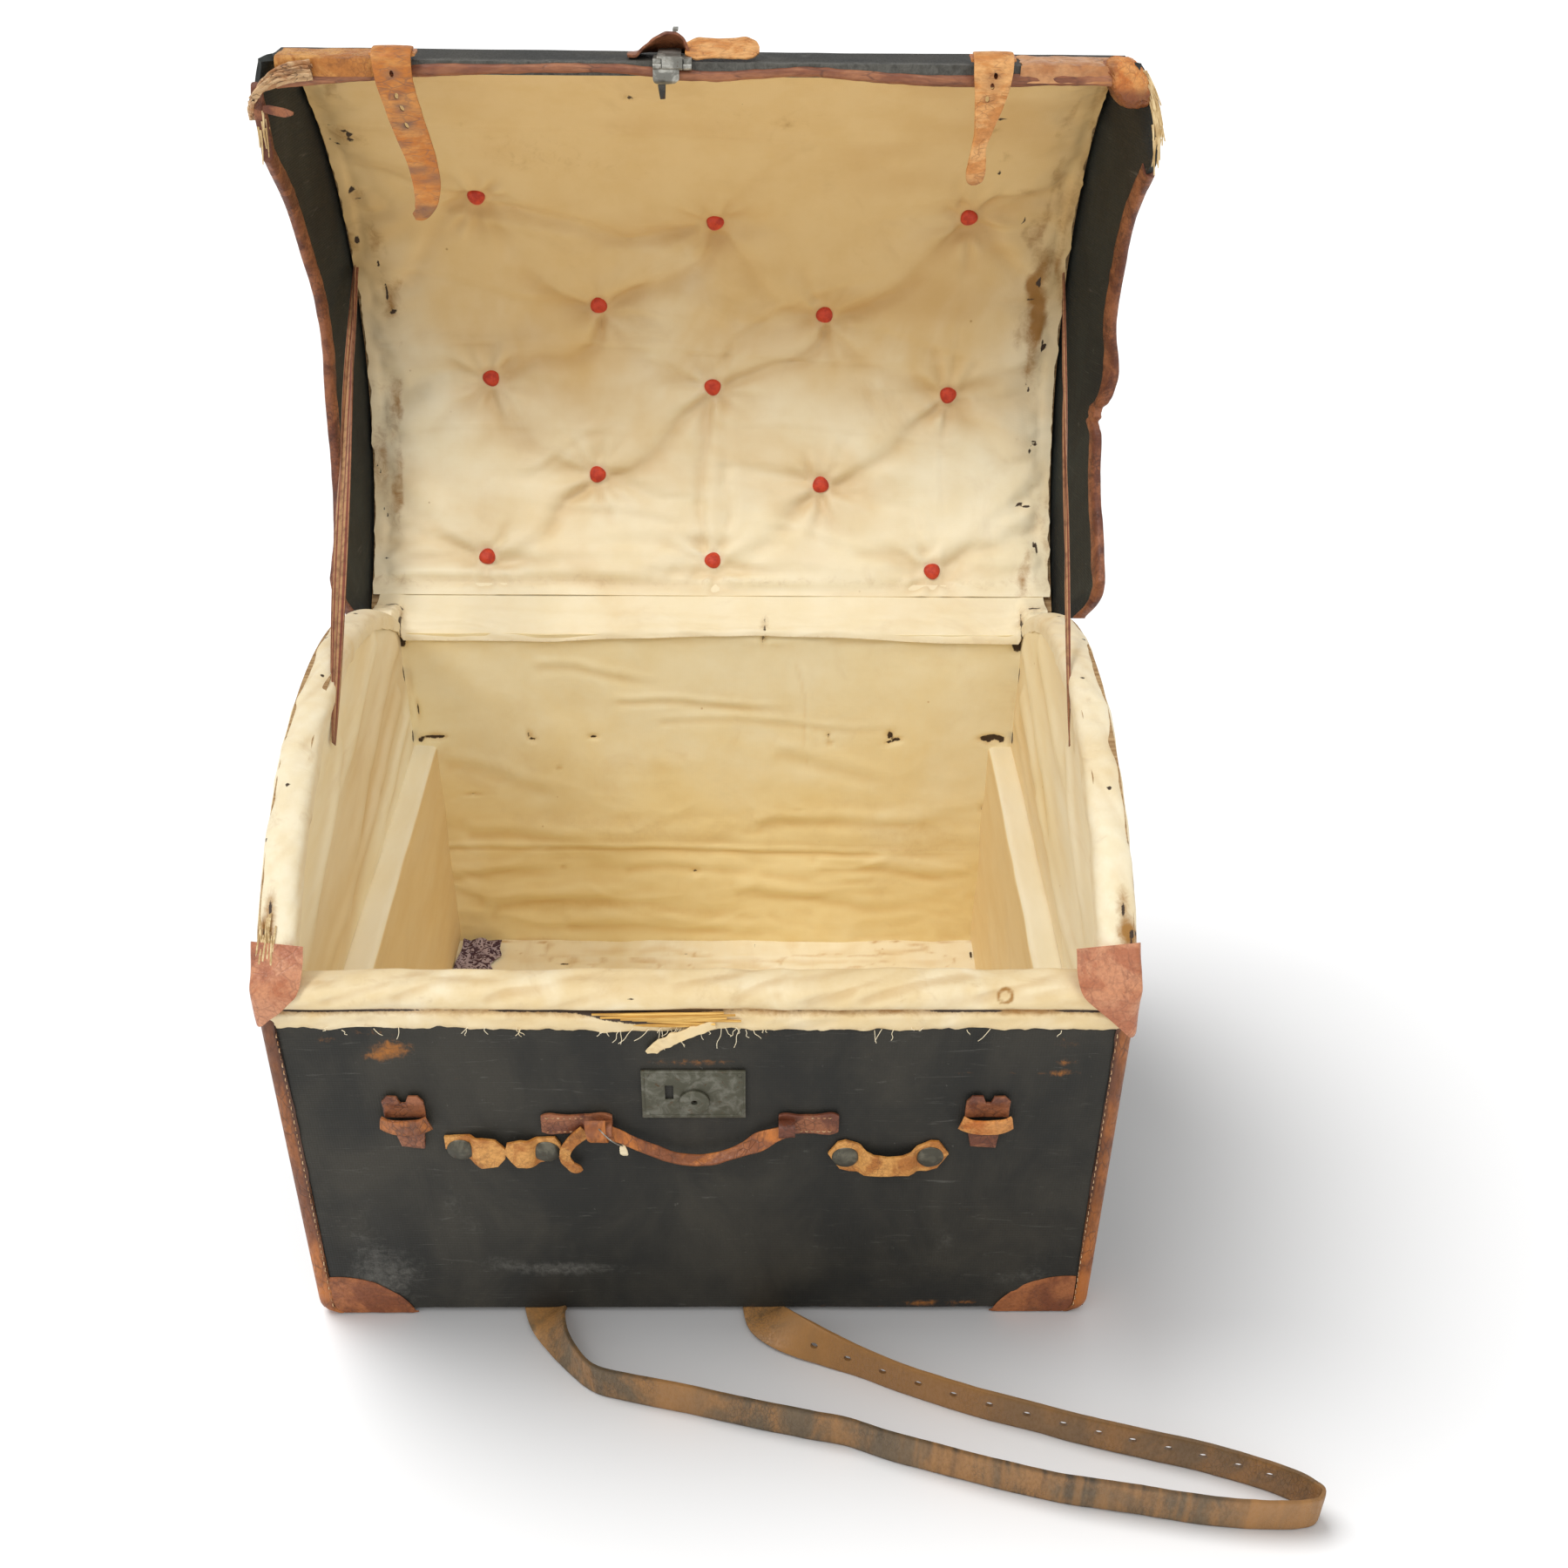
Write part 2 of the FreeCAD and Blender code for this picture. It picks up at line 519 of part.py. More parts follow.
# ---------------------------------------------------------------- lid: flared end skirts
TOP_RADIUS = size("lid_radius") + size("lid_core")
CENTRE_Y = size("lid_y")
CENTRE_Z = size("lid_z")
TOP_X = size("lid_half_width")
FRONT_Y = -(size("lid_front") + size("lid_core"))
FRONT_TURN = math.acos((FRONT_Y - CENTRE_Y) / TOP_RADIUS)
BACK_TURN = math.asin((size("lid_back_edge") - CENTRE_Z) / TOP_RADIUS)
BACK_TOP = V(TOP_X, CENTRE_Y + TOP_RADIUS * math.cos(BACK_TURN), size("lid_back_edge"))


def around(x, radius, turn):
    """A point on a circle about the lid's centre line."""
    return V(x, CENTRE_Y + radius * math.cos(turn), CENTRE_Z + radius * math.sin(turn))


def between(start, end, share):
    """A point a share of the way from start to end."""
    return start + (end - start) * share


def skirt_level(flare, share):
    """The skirt's line at a share of the way from the dome (0) to its rim (1)."""
    radius = TOP_RADIUS + (size("skirt_radius") - TOP_RADIUS) * share
    x = TOP_X + flare * share
    arc = Part.Arc(around(x, radius, FRONT_TURN), around(x, radius, (FRONT_TURN + BACK_TURN) / 2),
                   around(x, radius, BACK_TURN)).toShape()
    front = between(V(TOP_X, FRONT_Y, size("lid_edge")), V(TOP_X + flare, FRONT_Y, size("skirt_front_z")), share)
    back = between(BACK_TOP, V(TOP_X + flare, size("skirt_back_y"), size("skirt_back_z")), share)
    return arc, front, back


def skirt_band(flare, upper, lower, inside, outside):
    """The skirt between two levels, as thick as from inside to outside along X."""
    top_arc, top_front, top_back = skirt_level(flare, upper)
    low_arc, low_front, low_back = skirt_level(flare, lower)
    top_ends = [vertex.Point for vertex in top_arc.Vertexes]
    low_ends = [vertex.Point for vertex in low_arc.Vertexes]
    faces = [Part.makeRuledSurface(top_arc, low_arc),
             Part.makeRuledSurface(Part.makeLine(top_front, top_ends[0]), Part.makeLine(low_front, low_ends[0]))]
    corners = [top_ends[1], low_ends[1], low_back]
    if upper > 0:
        corners.append(top_back)
    faces.append(Part.Face(Part.makePolygon(corners + [corners[0]])))
    push = V(outside - inside, 0, 0)
    solids = []
    for face in faces:
        face.translate(V(inside, 0, 0))
        solid = face.extrude(push)
        solids.append(solid if solid.Volume > 0 else solid.reversed())
    return solids[0].multiFuse(solids[1:])


def on_side(shape, side):
    """A right-hand shape, or its mirror image for the left."""
    return shape if side > 0 else shape.mirror(V(), V(1, 0, 0))


WALL = size("skirt_wall")
LEATHER = size("leather")
cheeks = {}
for word, side in SIDES:
    flare = size(f"skirt_flare_{word}")
    skirt = skirt_band(flare, 0, 1, 0, WALL)
    edging = skirt_band(flare, 0.85, 1.02, -LEATHER, WALL + LEATHER).cut(skirt)
    near_corner = Part.makeBox(60, 34, 150, V(300, -250, 290))
    cheeks[word] = skirt_band(flare, 0, 0.85, WALL, WALL + LEATHER).common(near_corner)
    keep(f"lid_skirt_{word}", custom(f"lid_skirt_{word}", on_side(skirt, side)), on_lid=True)
    keep(f"lid_binding_{word}", custom(f"lid_binding_{word}", on_side(edging, side)), on_lid=True)

# ---------------------------------------------------------------- lid: leather edge and corner caps
LID_FACE = f"-({OUT_FRONT} + canvas)"
binding_half = "lid_half_width"
keep("lid_binding_front", cut(
    "lid_binding_front",
    slab("lid_binding_block", across(binding_half), (f"{LID_FACE} - leather", "-lid_front + front_cloth"),
         ("lid_edge - leather", "lid_edge + 12")),
    slab("lid_binding_wall", across("400"), (LID_FACE, "-lid_front"), ("lid_edge", "400")),
    slab("lid_binding_inside", across("400"), ("-lid_front", "0"), ("lid_edge + leather + 9", "400"))), on_lid=True)
lid_caps = []
for word, side in SIDES:
    lid_caps.append(slab(f"lid_cap_{word}_face", mirrored(("268", SKIRT_X), side),
                         (f"{LID_FACE} - leather", LID_FACE), ("lid_edge + 12", "350")))
    lid_caps.append(custom(f"lid_cap_{word}_cheek", on_side(cheeks[word], side)))
keep("lid_corner_caps", group("lid_corner_caps", *lid_caps), on_lid=True)

# ---------------------------------------------------------------- lid: strap billets
TAB_Y = "-tab_axis_y"
# Each billet narrows from its root (two places along X) to its rounded tip.
TAB_OUTLINES = (("left", (-239, -208), (-226, -203)), ("right", (191, 220), (196, 214)))
anchors = [slab(f"tab_anchor_{word}", (root[0], root[1]), (f"{LID_FACE} - leather - 2.5", f"{LID_FACE} - leather"),
                ("lid_edge", "lid_edge + 12")) for word, root, tip in TAB_OUTLINES]
keep("lid_tab_anchors", group("lid_tab_anchors", *anchors), on_lid=True)
for word, root, tip in TAB_OUTLINES:
    reach = f"tab_{word}_length - tab_axis_y"
    roll = rod(f"tab_roll_{word}", "x", (root[0], TAB_Y, "tab_axis_z"), f"{root[1] - root[0]}", "1.5")
    billet = sketched(f"tab_billet_{word}", "XY_Plane", (
        (f"{root[0]}", TAB_Y), (f"{root[1]}", TAB_Y), (f"{tip[1]}", f"{reach} - 9"), (f"{tip[1] - 5}", reach),
        (f"{tip[0] + 5}", reach), (f"{tip[0]}", f"{reach} - 9")), "3", "tab_axis_z - 1.5")
    keep(f"lid_tab_{word}", fuse(f"lid_tab_{word}", roll, billet), on_lid=True)

# ---------------------------------------------------------------- lid: hasp
HASP_Y = "-hasp_axis_y"
HASP_Z = "hasp_axis_z"
LEAF_Y = (f"{LID_FACE} - leather - 1.5", f"{LID_FACE} - leather")
fixed_knuckles = []
for number, (low, high) in enumerate((("-36", "-30"), ("-14", "-8"))):
    fixed_knuckles.append(rod(f"hasp_knuckle_{number}", "x", (low, HASP_Y, HASP_Z), "6", "2.4"))
    fixed_knuckles.append(slab(f"hasp_web_{number}", (low, high), (LEAF_Y[0], HASP_Y),
                               (HASP_Z, "lid_edge - leather")))
    fixed_knuckles.append(slab(f"hasp_ear_{number}", (low, high), LEAF_Y, (HASP_Z, "lid_edge + 12")))
leaf = slab("hasp_leaf", ("-36", "-8"), LEAF_Y, ("lid_edge - leather", "lid_edge + 12"))
keep("hasp_plate", cut("hasp_plate", fuse("hasp_plate_whole", leaf, *fixed_knuckles),
                       rod("hasp_bore", "x", ("-40", HASP_Y, HASP_Z), "36", "1.2")), on_lid=True)
keep("hasp_pin", group("hasp_pin", rod("hasp_pin_rod", "x", ("-36.5", HASP_Y, HASP_Z), "29", "1.2")), on_lid=True)
PLATE_Y = (f"{HASP_Y} - 7", f"{HASP_Y} - 5.4")
tongue_plate = slab("tongue_plate", ("-33", "-16"), PLATE_Y, (f"{HASP_Z} - 2", f"{HASP_Z} + hasp_length + 6"))
tongue_arm = slab("tongue_arm", ("-29.5", "-14.5"), (PLATE_Y[0], HASP_Y), (f"{HASP_Z} - 2", f"{HASP_Z} - 0.5"))
tongue_roll = rod("tongue_roll", "x", ("-29.5", HASP_Y, HASP_Z), "15", "2.4")
staple = cut("staple",
             slab("staple_bar", ("-24", "-20"), (f"{HASP_Y} - 15", PLATE_Y[0]),
                  (f"{HASP_Z} + hasp_length - 6", f"{HASP_Z} + hasp_length + 4")),
             slab("staple_notch", ("-21.5", "0"), (f"{HASP_Y} - 13.2", f"{HASP_Y} - 10.2"),
                  (f"{HASP_Z} + hasp_length - 10", f"{HASP_Z} + hasp_length + 10")))
keep("hasp_tongue", cut("hasp_tongue", fuse("tongue_whole", tongue_plate, tongue_arm, tongue_roll, staple),
                        rod("tongue_bore", "x", ("-40", HASP_Y, HASP_Z), "36", "1.25")), on_lid=True)

# A torn leather loop stands over the tongue, and its loose end lies on the lid beside it.


def folded_strip(name, path, thick, offset, depth):
    """A leather strip that follows a path across the lid's front wall, as wide as its depth."""
    inner = [(f"{x}", f"{LID_FACE} - {rise}") for x, rise in path]
    outer = [(f"{x}", f"{LID_FACE} - {rise} - {thick}") for x, rise in reversed(path)]
    return sketched(name, "XY_Plane", inner + outer, depth, offset)


LOOP_PATH = ((-54, 0), (-45, 0), (-38, 6.5), (-24, 13), (-16, 13), (-9, 8.5), (-5, 0))
FLAP_PATH = ((-4, 0), (3, 0), (8, 3.5), (40, 4.5), (47, 2))
keep("hasp_leather", group("hasp_leather", folded_strip("hasp_loop", LOOP_PATH, 2.2, "lid_edge + 14", "20")),
     on_lid=True)
keep("hasp_flap", group("hasp_flap", folded_strip("hasp_loose_end", FLAP_PATH, 2.2, "lid_edge + 14", "22")),
     on_lid=True)

# ---------------------------------------------------------------- lid hinges
PIN = "1.9"
BARREL = "4"
lid_leaves = []
body_leaves = []
pins = []
for word, side in SIDES:
    left = f"{side} * hinge_x - hinge_width / 2"
    axis = ("hinge_y", "hinge_z")
    pins.append(rod(f"pin_{word}", "x", (f"{left} - 1", *axis), "hinge_width + 2", PIN))
    bore = rod(f"body_bore_{word}", "x", (f"{left} - 5", *axis), "hinge_width + 10", PIN)
    knuckle_a = rod(f"body_knuckle_a_{word}", "x", (left, *axis), "15", BARREL)
    knuckle_b = rod(f"body_knuckle_b_{word}", "x", (f"{left} + hinge_width - 15", *axis), "15", BARREL)
    plate_y = ("depth / 2", "depth / 2 + 2")
    whole = (left, f"{left} + hinge_width")
    plate = slab(f"body_plate_{word}", whole, plate_y, ("hinge_z - 44", "hinge_z - 6"))
    webs = [slab(f"body_web_{word}_{number}", (low, f"{low} + 15"), ("depth / 2", "hinge_y"),
                 ("hinge_z - 8", "hinge_z - 2"))
            for number, low in enumerate((left, f"{left} + hinge_width - 15"))]
    body_leaves.append(cut(f"body_leaf_{word}", fuse(f"body_leaf_whole_{word}", plate, knuckle_a, knuckle_b, *webs),
                           bore))
    mid = (f"{left} + 15.3", f"{left} + hinge_width - 15.3")
    roll = rod(f"lid_roll_{word}", "x", (mid[0], *axis), "hinge_width - 30.6", BARREL)
    wrap = common(f"lid_wrap_{word}",
                  slab(f"lid_wrap_block_{word}", whole, ("lid_y", "300"), ("lid_back_edge", "lid_back_edge + 30")),
                  cut(f"lid_wrap_ring_{word}", arch(f"lid_wrap_out_{word}", f"{OUT_RADIUS} + canvas + 2", *DOME),
                      arch(f"lid_wrap_in_{word}", f"{OUT_RADIUS} + canvas", *DOME)))
    web = cut(f"lid_web_{word}",
              slab(f"lid_web_block_{word}", mid, ("hinge_y", "hinge_y + 5"), ("hinge_z", "hinge_z + 8")),
              arch(f"lid_web_dome_{word}", f"{OUT_RADIUS} + canvas", *DOME))
    web_low = slab(f"lid_web_low_{word}", mid, ("hinge_y", "hinge_y + 5"), ("hinge_z", "lid_back_edge"))
    lid_leaves.append(cut(f"lid_leaf_{word}", fuse(f"lid_leaf_whole_{word}", roll, wrap, web, web_low),
                          rod(f"lid_bore_{word}", "x", (f"{left} - 5", *axis), "hinge_width + 10", f"{PIN} + 0.05")))
keep("hinge_pins", group("hinge_pins", *pins))
keep("hinge_body_leaves", group("hinge_body_leaves", *body_leaves))
keep("hinge_lid_leaves", group("hinge_lid_leaves", *lid_leaves), on_lid=True)

# ---------------------------------------------------------------- cloth and tapes across the hinge


def ribbon(start, end, width, thick):
    """A flat strip from start to end, its width along X for a cloth or along Y for a tape."""
    along = end - start
    across_strip = V(1, 0, 0) if width[0] == "x" else V(0, 1, 0)
    normal = along.cross(across_strip)
    normal.normalize()
    side_step = normal.cross(along)
    side_step.normalize()
    half = side_step * (width[1] / 2)
    lift = normal * (thick / 2)
    corners = [start - half - lift, start + half - lift, start + half + lift, start - half + lift]
    section = Part.Face(Part.makePolygon(corners + [corners[0]]))
    return section.extrude(along)


lid_cloth_end = OPEN.multVec(V(0, size("lid_cloth_back"), CENTRE_Z + math.sqrt(
    (size("lid_radius") - 2) ** 2 - (size("lid_cloth_back") - CENTRE_Y) ** 2)))
back_top = V(0, size("depth") / 2 - size("canvas") - size("back_core"), size("back_height") + 2)
gap = (lid_cloth_end - back_top)
gap.normalize()
keep("hinge_gusset", custom("hinge_gusset", ribbon(back_top, lid_cloth_end - gap * 1.5, ("x", 548), 1.2)))
STAY_TOP = OPEN.multVec(V(0, -48, 462))
for word, side in SIDES:
    low_end = V(side * 274, -52, 424)
    high_end = V(side * 305, STAY_TOP.y, STAY_TOP.z)
    keep(f"stay_{word}", custom(f"stay_{word}", ribbon(low_end, high_end, ("y", 12), 1.5)))

# ---------------------------------------------------------------- loose girth strap
STRAP_W = size("strap_width")
STRAP_T = size("strap_thick")
ROUTE = [V(-84, -305), V(-17, -324), V(36, -337), V(82, -348), V(107, -353), V(136, -364), V(176, -377),
         V(223, -391), V(268, -402), V(314, -410), V(360, -418), V(405, -422), V(428, -421.5), V(440, -418),
         V(443, -412), V(437, -405), V(418, -394), V(398, -386), V(368, -376), V(329, -365.5), V(286, -353.5),
         V(245, -340.5), V(198, -325.5), V(149, -306)]


def strap_edge(points, offset):
    """The route shifted sideways, as one smooth curve."""
    shifted = []
    for index, point in enumerate(points):
        ahead = points[min(index + 1, len(points) - 1)] - points[max(index - 1, 0)]
        normal = V(-ahead.y, ahead.x)
        normal.normalize()
        shifted.append(point + normal * offset)
    curve = Part.BSplineCurve()
    curve.interpolate(shifted)
    return curve.toShape()


def strap_section(spot, side, roll):
    """The strap's cross-section over a spot, rolled from flat (0) to upright (90) on the ground."""
    lean = math.radians(roll)
    width_dir = side * math.cos(lean) + V(0, 0, math.sin(lean))
    thick_dir = side * -math.sin(lean) + V(0, 0, math.cos(lean))
    half = width_dir * (STRAP_W / 2)
    lift = thick_dir * (STRAP_T / 2)
    rise = STRAP_W / 2 * math.sin(lean) + STRAP_T / 2 * math.cos(lean)
    centre = V(spot.x, spot.y, rise)
    corners = [centre - half - lift, centre + half - lift, centre + half + lift, centre - half + lift]
    return Part.makePolygon(corners + [corners[0]])


left_edge = strap_edge(ROUTE, STRAP_T / 2)
right_edge = strap_edge(ROUTE, -STRAP_T / 2)
caps_lines = [Part.makeLine(left_edge.Vertexes[n].Point, right_edge.Vertexes[n].Point) for n in (0, -1)]
plan = Part.Face(Part.Wire(Part.__sortEdges__([left_edge, right_edge, *caps_lines])))
strap_body = plan.extrude(V(0, 0, STRAP_W))


def twist(mouth, bend, start, heading, haste):
    """The stretch that turns from lying flat under the trunk to standing on its edge."""
    sections = [strap_section(mouth + V(0, 66), V(1, 0, 0), 0)]
    for share in (0, 0.12, 0.25, 0.4, 0.6, 0.8, 1):
        first = between(mouth, bend, share)
        second = between(bend, start, share)
        ahead = heading if share == 1 else second - first
        side = V(-ahead.y, ahead.x)
        side.normalize()
        sections.append(strap_section(between(first, second, share), side, 90 * share ** haste))
    return Part.makeLoft(sections, True, True)


near_end = twist(V(-131, -238), V(-122, -272), ROUTE[0], ROUTE[1] - ROUTE[0], 0.6)
far_end = twist(V(46, -238), V(46, -272), ROUTE[-1], ROUTE[-2] - ROUTE[-1], 1.35)
keep("long_strap", custom("long_strap", strap_body.multiFuse([near_end, far_end])))

# ---------------------------------------------------------------- check and write
doc.recompute()
faults = [item.Name for item in doc.Objects if "Invalid" in item.State or "Error" in item.State]
if faults:
    raise RuntimeError("failed objects: " + ", ".join(faults))
os.makedirs("parts", exist_ok=True)
for part in PARTS:
    if part.Shape.isNull() or not part.Shape.isValid():
        raise RuntimeError("bad shape: " + part.Label)
    part.Shape.exportStep(f"parts/{part.Label}.step")
    box = part.Shape.BoundBox
    print(f"{part.Label}: solids {len(part.Shape.Solids)} volume {part.Shape.Volume:.0f} "
          f"x {box.XMin:.1f}..{box.XMax:.1f} y {box.YMin:.1f}..{box.YMax:.1f} z {box.ZMin:.1f}..{box.ZMax:.1f}")
print("pieces", len(PARTS))
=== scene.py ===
import itertools
import logging
import math
from dataclasses import dataclass, field
from enum import Enum
from typing import Callable, Optional, Sequence

import bpy
import numpy as np
from mathutils import Matrix, Vector


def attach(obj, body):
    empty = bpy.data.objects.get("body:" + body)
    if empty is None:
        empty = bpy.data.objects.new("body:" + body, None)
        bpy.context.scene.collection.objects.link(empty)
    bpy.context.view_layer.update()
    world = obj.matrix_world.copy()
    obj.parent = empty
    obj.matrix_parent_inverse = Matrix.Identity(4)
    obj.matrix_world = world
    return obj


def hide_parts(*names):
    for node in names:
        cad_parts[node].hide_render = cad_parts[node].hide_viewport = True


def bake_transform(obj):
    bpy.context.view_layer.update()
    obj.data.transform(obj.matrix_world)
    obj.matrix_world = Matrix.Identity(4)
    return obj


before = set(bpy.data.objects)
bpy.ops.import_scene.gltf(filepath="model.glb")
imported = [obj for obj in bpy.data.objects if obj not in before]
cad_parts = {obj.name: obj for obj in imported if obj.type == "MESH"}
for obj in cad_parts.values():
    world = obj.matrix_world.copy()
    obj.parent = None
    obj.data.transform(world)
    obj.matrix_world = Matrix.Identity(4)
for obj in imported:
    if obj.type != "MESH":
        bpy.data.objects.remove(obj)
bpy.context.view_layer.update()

LOG = logging.getLogger("trunk")
MM = 0.001
Colour = tuple[float, float, float]
Shape = Callable[[np.ndarray, np.ndarray], np.ndarray]


class Body(Enum):
    """The moving bodies that a piece can ride on."""
    TRUNK = "trunk"
    LID = "lid"
    TAB_LEFT = "lid_tab_left"
    TAB_RIGHT = "lid_tab_right"
    HASP = "hasp"
    HANDLE = "handle"


class Slot(Enum):
    """The material slots of the trunk."""
    WOOD = "wood"
    CANE = "cane"
    CANVAS = "canvas"
    LINING = "lining"
    TAPE = "tape"
    BUTTON = "button"
    LEATHER = "leather"
    STRAP = "strap_leather"
    LOCK = "lock_metal"
    IRON = "iron"


# ---------------------------------------------------------------- sizes shared by several pieces
HALF_WIDTH = 305.0
HALF_DEPTH = 232.0
WALL_Y = -232.2
ARCH_Y = 13.5
ARCH_Z = 136.0
ARCH_RADIUS = 322.5
RIM_DROP = 38.0
LID_Y = 6.0
LID_Z = 180.0
LID_RADIUS = 306.0
LID_FRONT_Y = -243.0
LID_FACE_Y = -244.5
LID_BACK_Z = 377.0
HINGE_Y = 240.0
HINGE_Z = 372.0
OPEN_ANGLE = math.radians(-90.5)
SIDES = (("left", -1), ("right", 1))
# One whole wave of a wave pattern, as its phase counts it.
WAVE = 6.2832
# Large primes that scatter the cells of the random relief.
CELL_PRIMES = np.array((73856093, 19349663, 83492791))


# ---------------------------------------------------------------- sums on points
def column(x: np.ndarray, y: np.ndarray, z: np.ndarray) -> np.ndarray:
    """Stack three coordinates into an array of points."""
    x, y, z = np.broadcast_arrays(x, y, z)
    return np.stack([x, y, z], axis=-1).astype(float)


def plane(first: np.ndarray, second: np.ndarray) -> np.ndarray:
    """Points of a flat sheet, from its own two coordinates."""
    return column(first, second, 0)


def along_x(x: np.ndarray) -> np.ndarray:
    """Points on the X axis, for relief that varies along one line."""
    return column(x, 0, 0)


def lid_open(points: np.ndarray) -> np.ndarray:
    """Turn points of the closed lid about the hinge line to the open lid.

    Args:
        points: Points on the closed lid in millimetres.

    Returns:
        The same points on the open lid.
    """
    points = np.asarray(points, float)
    y, z = points[..., 1] - HINGE_Y, points[..., 2] - HINGE_Z
    c, s = math.cos(OPEN_ANGLE), math.sin(OPEN_ANGLE)
    return column(points[..., 0], HINGE_Y + y * c - z * s, HINGE_Z + y * s + z * c)


def ease(value: np.ndarray, low: float, high: float) -> np.ndarray:
    """A smooth step from 0 at low to 1 at high."""
    share = np.clip((np.asarray(value, float) - low) / (high - low), 0, 1)
    return share * share * (3 - 2 * share)


def rumple(points: np.ndarray, size: float | Sequence[float], seed: int = 0, octaves: int = 3) -> np.ndarray:
    """Smooth random relief, the same for a seed on every run.

    Args:
        points: Points in millimetres.
        size: Size of the largest bumps, one number or one for each axis.
        seed: Choice of relief.
        octaves: Number of layers, each half the size and height of the one before.

    Returns:
        A value from about -1 to 1 for each point.
    """
    spots = np.asarray(points, float) / np.asarray(size, float)
    total = np.zeros(len(spots))
    gain, reach = 1.0, 0.0
    for octave in range(octaves):
        cell = spots * 2 ** octave + seed * 17.31 + octave * 5.7
        base = np.floor(cell).astype(np.int64)
        part = cell - base
        part = part * part * (3 - 2 * part)
        for corner in itertools.product((0, 1), repeat=3):
            key = base + np.array(corner)
            code = np.bitwise_xor.reduce(key * CELL_PRIMES, axis=1) ^ (seed + octave) * 9176213
            code = ((code ^ (code >> 13)) * 1274126177) & 0x7FFFFFFF
            code = ((code ^ (code >> 15)) * 668265263) & 0x7FFFFFFF
            weight = np.prod(np.where(np.array(corner) == 1, part, 1 - part), axis=1)
            total += gain * weight * (code / 0x3FFFFFFF - 1)
        reach += gain
        gain *= 0.5
    return total / reach * 1.6


def crumple(points: np.ndarray, size: float | Sequence[float], seed: int, octaves: int = 3) -> np.ndarray:
    """Relief of sharp crests and soft hollows, as in creased cloth, from about -1 to 1."""
    warped = points + drift(points, float(np.max(size)) * 0.8, seed + 5) * float(np.min(size)) * 0.5
    return 1 - 2.2 * np.abs(rumple(warped, size, seed, octaves))


def drift(points: np.ndarray, size: float, seed: int) -> np.ndarray:
    """Three reliefs as one displacement for each point."""
    return np.stack([rumple(points, size, seed + step, 2) for step in (0, 31, 62)], axis=-1)


def hollows(lift: np.ndarray, columns: int, deep: float, reach: int = 3) -> np.ndarray:
    """How far each point of a grid lies below the mean of its neighbours.

    Args:
        lift: Height of each point, row by row.
        columns: Cells in a row.
        deep: Depth that counts as 1.
        reach: Neighbours on each side.

    Returns:
        A value from 0 to 1 for each point.
    """
    heights = lift.reshape(-1, columns + 1)
    mean = heights
    for axis in (0, 1):
        pad = np.pad(mean, [(reach, reach) if a == axis else (0, 0) for a in (0, 1)], mode="edge")
        size = mean.shape[axis]
        shifted = (np.take(pad, range(k, k + size), axis=axis) for k in range(2 * reach + 1))
        mean = sum(shifted) / (2 * reach + 1)
    return np.clip((mean - heights) / deep, 0, 1).ravel()


def smooth_line(points: Sequence[Sequence[float]], shares: np.ndarray) -> np.ndarray:
    """Sample a smooth curve through points.

    Args:
        points: Points or rows of numbers to pass through.
        shares: Places along the curve from 0 to 1.

    Returns:
        The curve's rows at those places.
    """
    knots = np.asarray(points, float)
    steps = np.linalg.norm(np.diff(knots[:, :3], axis=0), axis=1)
    at = np.concatenate([[0], np.cumsum(np.maximum(steps, 1e-6))])
    slopes = np.gradient(knots, at, axis=0)
    where = np.clip(shares, 0, 1) * at[-1]
    span = np.clip(np.searchsorted(at, where, side="right") - 1, 0, len(knots) - 2)
    width = (at[span + 1] - at[span])[:, None]
    t = (where - at[span])[:, None] / width
    h00, h10 = 2 * t ** 3 - 3 * t ** 2 + 1, t ** 3 - 2 * t ** 2 + t
    h01, h11 = -2 * t ** 3 + 3 * t ** 2, t ** 3 - t ** 2
    start = h00 * knots[span] + h10 * width * slopes[span]
    return start + h01 * knots[span + 1] + h11 * width * slopes[span + 1]


def section(turn: np.ndarray, half_width: np.ndarray, half_thick: np.ndarray,
            square: float = 0.3) -> tuple[np.ndarray, np.ndarray]:
    """Points round a flat strip's rounded cross-section.

    Args:
        turn: Place round the section from 0 to 1.
        half_width: Half the strip's width.
        half_thick: Half its thickness.
        square: 1 for an ellipse, near 0 for a rectangle.

    Returns:
        The offsets across the strip and through it.
    """
    c, s = np.cos(2 * np.pi * turn), np.sin(2 * np.pi * turn)
    return (np.sign(c) * np.abs(c) ** square * half_width, np.sign(s) * np.abs(s) ** square * half_thick)


# ---------------------------------------------------------------- modelling by hand
def deselect() -> None:
    """Leave edit mode and select nothing."""
    if bpy.context.object and bpy.context.object.mode != "OBJECT":
        bpy.ops.object.mode_set(mode="OBJECT")
    bpy.ops.object.select_all(action="DESELECT")


def take(piece: bpy.types.Object) -> None:
    """Make the piece the only selected and the active one."""
    deselect()
    piece.select_set(True)
    bpy.context.view_layer.objects.active = piece


def edit(piece: bpy.types.Object) -> None:
    """Open the piece in edit mode with everything selected.

    Args:
        piece: Object to work on.
    """
    take(piece)
    bpy.ops.object.mode_set(mode="EDIT")
    bpy.ops.mesh.select_mode(type="VERT")
    bpy.ops.mesh.select_all(action="SELECT")


def leave() -> None:
    """Go back to object mode."""
    bpy.ops.object.mode_set(mode="OBJECT")


def outward(piece: bpy.types.Object) -> None:
    """Make the faces of a closed piece look outward."""
    edit(piece)
    bpy.ops.mesh.normals_make_consistent(inside=False)
    leave()


def spots(piece: bpy.types.Object) -> np.ndarray:
    """The piece's points in millimetres."""
    flat = np.empty(len(piece.data.vertices) * 3)
    piece.data.vertices.foreach_get("co", flat)
    return flat.reshape(-1, 3) / MM


